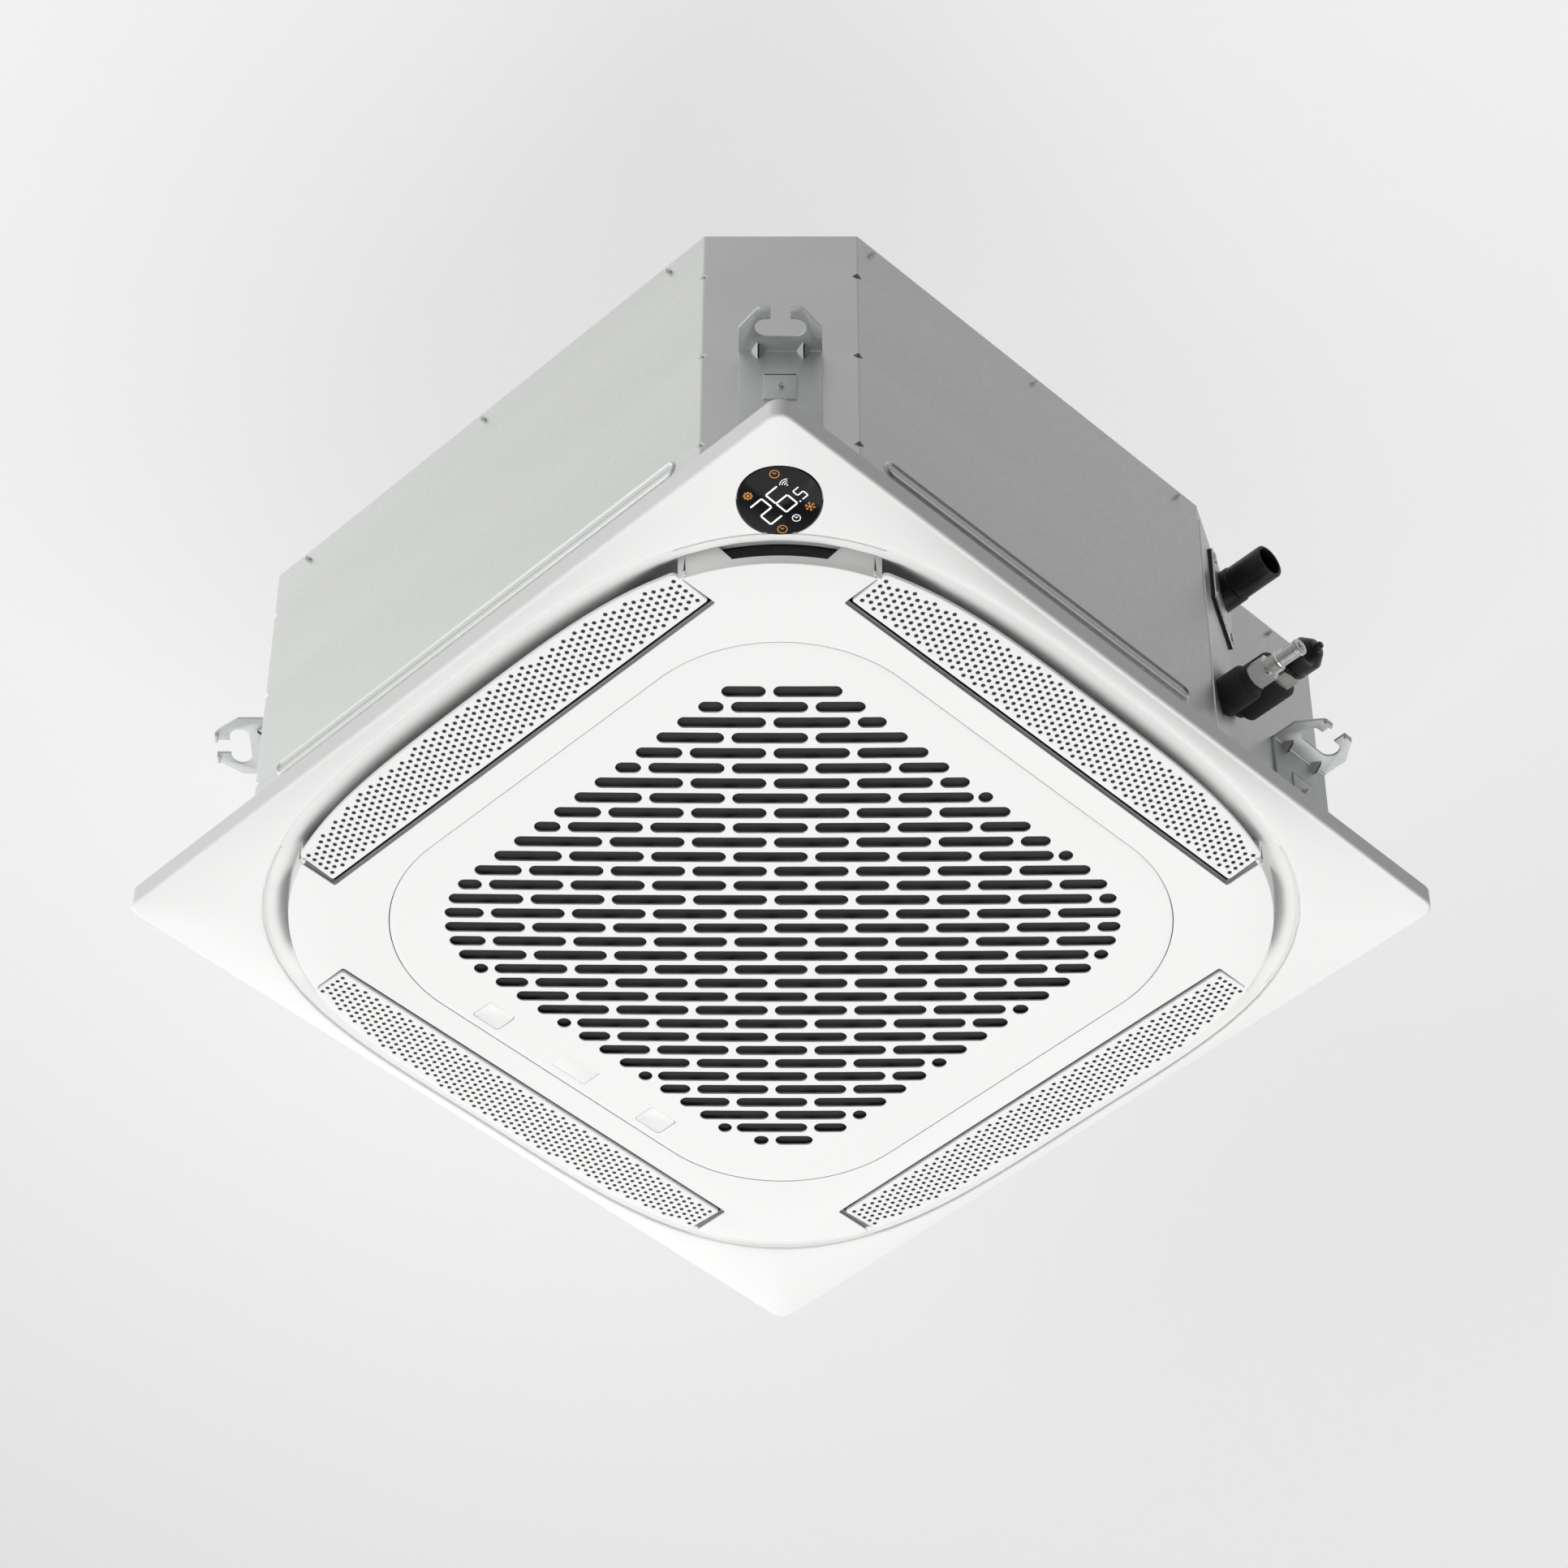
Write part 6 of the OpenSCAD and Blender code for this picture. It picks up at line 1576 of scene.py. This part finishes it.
class CASSETTE_OT_screws(bpy.types.Operator):
    """Sets cross-recessed screws in the casing and in the hanger tabs"""

    bl_idname = "cassette.screws"
    bl_label = "Screws"

    def execute(self, context):
        tree, sockets = screw_tree()
        casing = []
        z = 251
        for y in (-201.2, -45, 99.2):
            casing.append(((285, y, z), (1, 0, 0)))
        for x in (-171, 0, 161.9):
            casing.append(((x, 285, z), (0, 1, 0)))
        for y in (-159.6, 0, 159.6):
            casing.append(((-285, y, z), (-1, 0, 0)))
        for x in (-181, 0, 181):
            casing.append(((x, -285, z), (0, -1, 0)))
        casing.append(((245, 241, z), (1, 0, 0)))
        d = math.sqrt(0.5)
        face = 3.2
        hangers = []
        for sx, sy in ((1, -1), (-1, -1), (-1, 1)):
            hangers.append((
                (sx * (249.5 + face * d), sy * (249.5 + face * d), 104), (sx * d, sy * d, 0)
            ))
        hangers.append(((245 + face, 260, 104), (1, 0, 0)))
        for name, table, node_name, lift in (
            ("casing_screw_heads", casing, "casing_screws", 0.9),
            ("hanger_screw_heads", hangers, "hanger_screws", 0.9),
        ):
            mesh = bpy.data.meshes.new(name)
            mesh.from_pydata(
                [(Vector(p) + Vector(n) * lift) * MM for p, n in table], [], []
            )
            aim = mesh.attributes.new("aim", "FLOAT_VECTOR", "POINT")
            aim.data.foreach_set("vector", [v for _, n in table for v in n])
            made = bpy.data.objects.new(name, mesh)
            context.scene.collection.objects.link(made)
            step = made.modifiers.new("screws", "NODES")
            step.node_group = tree
            step[sockets["Head radius"]] = 4.0 * MM
            step[sockets["Head height"]] = 1.8 * MM
            step[sockets["Shank length"]] = 4.0 * MM
            step[sockets["Finish"]] = FINISH["screw"]
            plain(made)
            tidy_shading(made, 30)
            piece(made, "housing", "plated_steel", node_name)
        return {"FINISHED"}


def hex_nut(x0, x1, y, z, flats, bore, finish):
    """A hexagon nut along X with turned chamfers at both ends."""
    corner = flats / 2 / math.cos(math.pi / 6)
    ring = [(y + corner * math.cos(math.pi / 3 * k), z + corner * math.sin(math.pi / 3 * k))
            for k in range(6)]
    p, s = loop_skin([[(x, a, b) for a, b in ring] for x in (x0, x1)])
    made = make_mesh("nut", p, s, finish, 20, recalc=True)
    chamfer = (corner - flats / 2 * 0.97) * 0.6
    p, s = lathe([(x0 - 0.01, flats / 2 * 0.97), (x0 + chamfer, corner + 0.05),
                  (x1 - chamfer, corner + 0.05), (x1 + 0.01, flats / 2 * 0.97)], (0, y, z))
    cone = make_mesh("turning", p, s, finish, 20, recalc=True)
    cut(made, [cone], "INTERSECT")
    p, s = lathe([(x0 - 1, bore), (x1 + 1, bore)], (0, y, z))
    cut(made, [make_mesh("bore", p, s, finish, 20, recalc=True)])
    tidy_shading(made, 25)
    return made


class CASSETTE_OT_pipes(bpy.types.Operator):
    """Makes the sleeves, flare nuts, union, cap and drain stub"""

    bl_idname = "cassette.pipes"
    bl_label = "Pipe ends"

    def execute(self, context):
        y, z = 145, 93
        made = hex_nut(303, 316, y, z, 17, 3.3, "nickel")
        piece(made, "housing", "nickelled_brass", "liquid_nut")
        # Flange, threaded barrel and flared tip of the union.
        profile = [(316.05, 5.0), (316.05, 6.4), (316.3, 6.6), (323.6, 6.6), (324, 6.2), (324, 5.0)]
        x = 325.0
        while x < 338.5:
            profile += [(x, 4.75), (x + 0.5, 5.2), (x + 0.9, 5.2), (x + 1.3, 4.75)]
            x += 1.4
        profile += [(339.9, 4.7), (340, 5.6), (340.4, 6.0), (342.6, 6.0), (343, 5.6), (343, 3.4),
                    (341.2, 3.1)]
        p, s = lathe(profile, (0, y, z), 40)
        made = make_mesh("union", p, s, "nickel", 30, recalc=True)
        piece(made, "housing", "nickelled_brass", "liquid_union")
        # The sleeve's end is cut by hand, so its edge is a little soft.
        profile = [(272.9, 3.25), (272.9, 13.2), (285, 13.2), (295.6, 13.15), (296.6, 12.7),
                   (297, 11.8), (297, 10.0), (302.3, 10.0), (303, 9.3), (303, 3.25)]
        p, s = lathe(profile, (0, y, z), 56)
        made = make_mesh("liquid_sleeve_tube", p, s, "foam", 40, recalc=True)
        piece(made, "housing", "black_foam", "liquid_sleeve")

        y, z = 185, 134
        made = hex_nut(292.05, 304, y, z, 24, 6.45, "nickel")
        piece(made, "housing", "nickelled_brass", "gas_nut")
        profile = [(252.0, 6.45), (252.0, 11.6), (258, 11.6), (258, 16.6), (258.6, 17.4),
                   (259.6, 17.5), (290.6, 17.5), (291.6, 17.0), (292, 16.0), (292, 6.45)]
        p, s = lathe(profile, (0, y, z), 64)
        made = make_mesh("gas_sleeve_tube", p, s, "foam", 40, recalc=True)
        piece(made, "housing", "black_foam", "gas_sleeve")
        profile = [(304.05, 11.0), (304.05, 12.0), (304.5, 12.3), (306.5, 12.3), (307.0, 11.6),
                   (308.0, 11.6), (308.5, 12.3), (319.2, 12.3), (320.2, 12.0), (326.6, 6.8),
                   (327, 6.2), (327, 2.7), (330.4, 2.5), (331, 1.9)]
        p, s = lathe(profile, (0, y, z), 48)
        made = make_mesh("gas_cap_moulding", p, s, "cap", 35, recalc=True)
        piece(made, "housing", "black_plastic", "gas_cap")

        y, z = 170, 225
        profile = [(230, 9.0), (230, 13.4), (275.2, 13.4), (276, 12.6), (276, 12.5), (304.8, 12.5),
                   (305.7, 12.2), (306, 11.6), (306, 10.6), (305.5, 10.1), (304.5, 10.0),
                   (216.5, 10.0), (216.5, 12.4)]
        steps = 56
        loops = [[(x, y + r * math.cos(math.tau * k / steps), z + r * math.sin(math.tau * k / steps))
                  for k in range(steps)] for x, r in profile]
        p, s = loop_skin(loops, closed=True)
        made = make_mesh("drain_stub_tube", p, s, "black", 35, recalc=True)
        piece(made, "housing", "black_plastic", "drain_stub")
        return {"FINISHED"}


SEGMENTS = {
    "2": "abged", "6": "acdefg", "5": "acdfg",
}


def segment_bars(digit, x0, x1, y0, y1, width):
    """Outlines of a seven-segment digit's bars, with Y towards its foot."""
    mid = (y0 + y1) / 2
    gap = width * 0.35
    w = width / 2
    places = {
        "a": (x0 + gap, y0 + w, x1 - gap, y0 + w), "d": (x0 + gap, y1 - w, x1 - gap, y1 - w),
        "g": (x0 + gap, mid, x1 - gap, mid), "f": (x0 + w, y0 + gap, x0 + w, mid - gap / 2),
        "b": (x1 - w, y0 + gap, x1 - w, mid - gap / 2), "e": (x0 + w, mid + gap / 2, x0 + w, y1 - gap),
        "c": (x1 - w, mid + gap / 2, x1 - w, y1 - gap),
    }
    out = []
    for key in SEGMENTS[digit]:
        ax, ay, bx, by = places[key]
        if ay == by:
            out.append([(ax, ay), (ax + w, ay - w), (bx - w, ay - w), (bx, ay), (bx - w, ay + w),
                        (ax + w, ay + w)])
        else:
            out.append([(ax, ay), (ax + w, ay + w), (ax + w, by - w), (ax, by), (ax - w, by - w),
                        (ax - w, ay + w)])
    return out


def arc_band(cx, cy, r, width, a0=0.0, a1=360.0, steps=24):
    """Outlines of a band along an arc, one for each step."""
    out = []
    for k in range(steps):
        u = math.radians(a0 + (a1 - a0) * k / steps)
        v = math.radians(a0 + (a1 - a0) * (k + 1) / steps)
        i, o = r - width / 2, r + width / 2
        out.append([(cx + d * math.cos(a), cy + d * math.sin(a))
                    for d, a in ((i, u), (o, u), (o, v), (i, v))])
    return out


def stroke(x0, y0, x1, y1, width):
    """Outline of a straight bar."""
    d = Vector((x1 - x0, y1 - y0)).normalized() * width / 2
    return [(x0 - d.y, y0 + d.x), (x0 + d.y, y0 - d.x), (x1 + d.y, y1 - d.x), (x1 - d.y, y1 + d.x)]


class CASSETTE_OT_display(bpy.types.Operator):
    """Makes the round window and the generic digits and signs lit behind it"""

    bl_idname = "cassette.display"
    bl_label = "Display"

    def signs(self):
        white = segment_bars("2", -17.2, -6.4, -9.4, 9.6, 1.15)
        white += segment_bars("6", -3.8, 7.0, -9.4, 9.6, 1.15)
        white += segment_bars("5", 10.2, 15.8, 0.4, 9.6, 0.8)
        white += arc_band(8.7, 9.2, 0.3, 0.6, steps=10)
        # A clock and the three arcs of a radio link.
        white += arc_band(-2, 16.6, 2.5, 0.5)
        white += [stroke(-2, 16.8, -2, 14.9, 0.5), stroke(-2, 16.6, -0.7, 16.6, 0.5)]
        for r in (1.7, 3.2, 4.7):
            white += arc_band(11.6, -5.0, r, 0.45, 225, 315, 8)
        white += arc_band(11.6, -5.0, 0.25, 0.5, steps=8)
        amber = []
        for cx, cy in ((-14.2, 16.6), (11.9, -16.4)):
            amber += arc_band(cx, cy, 2.9, 0.55)
            amber += [stroke(cx, cy, cx, cy - 1.9, 0.5), stroke(cx, cy, cx + 1.4, cy, 0.5)]
        for k in range(6):
            a = math.radians(60 * k)
            ux, uy = math.cos(a), math.sin(a)
            amber.append(stroke(10.2, 16.3, 10.2 + 3.4 * ux, 16.3 + 3.4 * uy, 0.45))
            for turn in (40, -40):
                b = a + math.radians(turn)
                amber.append(stroke(10.2 + 1.9 * ux, 16.3 + 1.9 * uy, 10.2 + 1.9 * ux + 1.2 * math.cos(b),
                                    16.3 + 1.9 * uy + 1.2 * math.sin(b), 0.4))
        # A small flower: a middle and eight petals.
        amber += arc_band(-11.4, -16.2, 0.5, 1.0, steps=10)
        for k in range(8):
            a = math.radians(45 * k)
            amber += arc_band(-11.4 + 2.3 * math.cos(a), -16.2 + 2.3 * math.sin(a), 0.4, 0.8, steps=8)
        return (("display_digits", white, "lit"), ("display_amber_signs", amber, "amber"))

    def execute(self, context):
        centre, right, up, outward = display_frame()
        flat, skin = pillow(
            circle(WINDOW_R, 72), [(0, -3), (0, -0.5), (0.15, -0.2), (0.5, 0.0)]
        )
        made = make_mesh("display_window", placed(flat, centre, right, up, outward), skin,
                         "window", 40, recalc=True)
        piece(made, "housing", "display_window", "display_lens")
        for name, outlines, finish in self.signs():
            points, faces = [], []
            for outline in outlines:
                start = len(points)
                count = len(outline)
                # Drawn with Y towards the digits' feet, which is the panel's +Y side.
                for z in (-0.05, 0.06):
                    points += [(x, -y, z) for x, y in outline]
                faces.append(tuple(start + k for k in reversed(range(count))))
                faces.append(tuple(start + count + k for k in range(count)))
                for k in range(count):
                    m = (k + 1) % count
                    faces.append((start + k, start + m, start + count + m, start + count + k))
            made = make_mesh(name, placed(points, centre, right, up, outward), faces, finish,
                             recalc=False)
            shape = bmesh.new()
            shape.from_mesh(made.data)
            bmesh.ops.recalc_face_normals(shape, faces=shape.faces)
            shape.to_mesh(made.data)
            shape.free()
            piece(made, "housing", "display_window")
        return {"FINISHED"}


class CASSETTE_OT_stage(bpy.types.Operator):
    """Sets the camera, the pale backdrop and the soft studio lights"""

    bl_idname = "cassette.stage"
    bl_label = "Stage"

    POSITION = (1.65971, -1.64450, -2.23078)
    RIGHT = (0.705716, 0.708493, 0.001908)
    UP = (0.499796, -0.499742, 0.707433)
    FORWARD = (-0.502165, 0.498293, 0.706778)
    FOCAL_LENGTH, SENSOR = 110.54, 36
    # Metres: the unit's middle above the ceiling plane, the backdrop behind it, and half the
    # width that the camera sees there.
    MIDDLE, BACKDROP_AWAY, HALF_VIEW = 0.1, 0.56, 0.63
    # Metres: the lamps' distance from the point that they aim at, and that point's height.
    LAMP_AWAY, LAMP_AIM = 3.4, 0.05
    # The backdrop's glow: in the middle, its rise to the right, its rise downwards, and both.
    GLOW = (0.325, 0.0, -0.15, 0.02)
    # The room's light: a direction and the strength straight that way.
    ROOM = (((-1, 0, 0), 1.446), ((0, -1, 0), 0.558), ((0, 1, 0), 0.497), ((0, 0, 1), 0.675))
    # The lamps: a name, the side that it stands on, its watts and its width.
    LAMPS = (
        ("under_softbox", (0, 0, -1), 63.6, 3.0),
        ("far_softbox", (0.2, 0.6, -0.8), 29.6, 2.0),
        ("front_softbox", (-0.2, -0.9, -0.3), 12.3, 2.0),
        ("left_softbox", (-0.75, 0.35, -0.55), 7.6, 2.0),
    )

    def execute(self, context):
        scene = context.scene
        right, up, forward = Vector(self.RIGHT), Vector(self.UP), Vector(self.FORWARD)
        lens = bpy.data.cameras.new("studio_camera")
        lens.lens = self.FOCAL_LENGTH
        lens.sensor_width = self.SENSOR
        lens.clip_end = 100
        camera = bpy.data.objects.new("studio_camera", lens)
        camera.matrix_world = Matrix((
            (right.x, up.x, -forward.x, self.POSITION[0]),
            (right.y, up.y, -forward.y, self.POSITION[1]),
            (right.z, up.z, -forward.z, self.POSITION[2]),
            (0, 0, 0, 1),
        ))
        scene.collection.objects.link(camera)
        scene.camera = camera

        # The backdrop faces the camera behind the unit and is clear from its back.
        centre = Vector((0, 0, self.MIDDLE)) + forward * self.BACKDROP_AWAY
        size = 6.0
        corners = [centre + right * x * size + up * y * size
                   for x, y in ((-1, -1), (1, -1), (1, 1), (-1, 1))]
        mesh = bpy.data.meshes.new("backdrop")
        mesh.from_pydata(corners, [], [(0, 1, 2, 3)])
        wall = bpy.data.objects.new("backdrop", mesh)
        scene.collection.objects.link(wall)
        made = bpy.data.materials.new("pale_backdrop_paper")
        made.use_nodes = True
        tree = made.node_tree
        tree.nodes.clear()
        pale = tuple(settings().finish.backdrop)
        # The paper takes the unit's shadow. A weak glow of its own, stronger where the lamps
        # reach it less, makes it the same pale grey all over.
        place = node(tree, "ShaderNodeNewGeometry")
        across = node(
            tree, "ShaderNodeVectorMath", {1: right / self.HALF_VIEW},
            {0: place.outputs["Position"]}, operation="DOT_PRODUCT",
        )
        along = node(
            tree, "ShaderNodeVectorMath", {1: up / -self.HALF_VIEW},
            {0: place.outputs["Position"]}, operation="DOT_PRODUCT",
        )
        middle, to_right, downwards, both_ways = self.GLOW
        offset = reckon(
            tree, "ADD", along.outputs["Value"], up.z * self.MIDDLE / self.HALF_VIEW
        )
        rising = reckon(tree, "MULTIPLY_ADD", both_ways, offset, to_right)
        row = reckon(tree, "MULTIPLY_ADD", downwards, offset, middle)
        level = reckon(tree, "MULTIPLY_ADD", rising, across.outputs["Value"], row)
        paper = node(tree, "ShaderNodeBsdfDiffuse", {"Color": (0.80, 0.80, 0.80, 1)})
        glow = node(
            tree, "ShaderNodeEmission", {"Color": (1, 1, 1, 1)}, {"Strength": level},
        )
        seen = node(tree, "ShaderNodeAddShader", links={0: paper.outputs[0], 1: glow.outputs[0]})
        clear = node(tree, "ShaderNodeBsdfTransparent")
        path = node(tree, "ShaderNodeLightPath")
        front = node(
            tree, "ShaderNodeMath", links={0: path.outputs["Is Camera Ray"],
                                           1: place.outputs["Backfacing"]},
            operation="SUBTRACT", use_clamp=True,
        )
        both = node(
            tree, "ShaderNodeMixShader",
            links={0: front.outputs[0], 1: clear.outputs[0], 2: seen.outputs[0]},
        )
        node(tree, "ShaderNodeOutputMaterial", links={"Surface": both.outputs[0]})
        mesh.materials.append(made)

        world = bpy.data.worlds.new("studio")
        scene.world = world
        world.use_nodes = True
        tree = world.node_tree
        tree.nodes.clear()
        toward = node(tree, "ShaderNodeTexCoord").outputs["Generated"]
        # Large soft reflectors: left, front, back and overhead.
        total = None
        for direction, strength in self.ROOM:
            facing = node(
                tree, "ShaderNodeVectorMath", {1: direction}, {0: toward},
                operation="DOT_PRODUCT",
            )
            kept = reckon(tree, "MAXIMUM", facing.outputs["Value"], 0.0)
            share = reckon(tree, "MULTIPLY", reckon(tree, "MULTIPLY", kept, kept), strength)
            total = share if total is None else reckon(tree, "ADD", total, share)
        room = node(
            tree, "ShaderNodeBackground", {"Color": (1, 1, 1, 1)}, {"Strength": total},
        )
        seen = node(tree, "ShaderNodeBackground", {"Color": pale, "Strength": 1.0})
        path = node(tree, "ShaderNodeLightPath")
        mixed = node(
            tree, "ShaderNodeMixShader",
            links={0: path.outputs["Is Camera Ray"], 1: room.outputs[0], 2: seen.outputs[0]},
        )
        node(tree, "ShaderNodeOutputWorld", links={"Surface": mixed.outputs[0]})

        for name, away, power, size in self.LAMPS:
            data = bpy.data.lights.new(name, "AREA")
            data.energy = power
            data.size = size
            data.shape = "SQUARE"
            lamp = bpy.data.objects.new(name, data)
            aim = Vector((0, 0, self.LAMP_AIM))
            spot = Vector(away).normalized() * self.LAMP_AWAY + aim
            lamp.matrix_world = (
                Matrix.Translation(spot)
                @ (aim - spot).to_track_quat("-Z", "Y").to_matrix().to_4x4()
            )
            scene.collection.objects.link(lamp)
        scene.view_settings.view_transform = "Standard"
        return {"FINISHED"}


STEPS = (
    CASSETTE_OT_finishes, CASSETTE_OT_casing, CASSETTE_OT_hangers, CASSETTE_OT_bezel,
    CASSETTE_OT_face, CASSETTE_OT_louvers, CASSETTE_OT_grille, CASSETTE_OT_latches, CASSETTE_OT_screws,
    CASSETTE_OT_pipes, CASSETTE_OT_display, CASSETTE_OT_stage,
)


class CASSETTE_PT_panel(bpy.types.Panel):
    """Lists the cassette's pieces and sizes"""

    bl_idname = "CASSETTE_PT_panel"
    bl_label = "Cassette"
    bl_space_type = "VIEW_3D"
    bl_region_type = "UI"
    bl_category = "Cassette"

    def draw(self, context):
        for step in STEPS:
            self.layout.operator(step.bl_idname)
        for name in ("bezel", "face", "louver", "grille", "casing", "hanger", "finish"):
            group = getattr(context.scene.cassette, name)
            box = self.layout.box()
            box.label(text=name)
            for key in group.bl_rna.properties.keys():
                if key not in ("rna_type", "name"):
                    box.prop(group, key)


GROUPS = (
    BezelSizes, FaceSizes, LouverSizes, GrilleSizes, CasingSizes, HangerSizes,
    FinishColours, CassetteSettings,
)


def register():
    for made in (*GROUPS, *STEPS, CASSETTE_PT_panel):
        bpy.utils.register_class(made)
    bpy.types.Scene.cassette = PointerProperty(type=CassetteSettings)


def unregister():
    del bpy.types.Scene.cassette
    for made in reversed((*GROUPS, *STEPS, CASSETTE_PT_panel)):
        bpy.utils.unregister_class(made)


def main():
    register()
    bpy.ops.cassette.finishes()
    bpy.ops.cassette.casing()
    bpy.ops.cassette.hangers()
    bpy.ops.cassette.bezel()
    bpy.ops.cassette.face()
    bpy.ops.cassette.louvers()
    bpy.ops.cassette.grille()
    bpy.ops.cassette.latches()
    bpy.ops.cassette.screws()
    bpy.ops.cassette.pipes()
    bpy.ops.cassette.display()
    bpy.ops.cassette.stage()


if __name__ == "__main__":
    main()
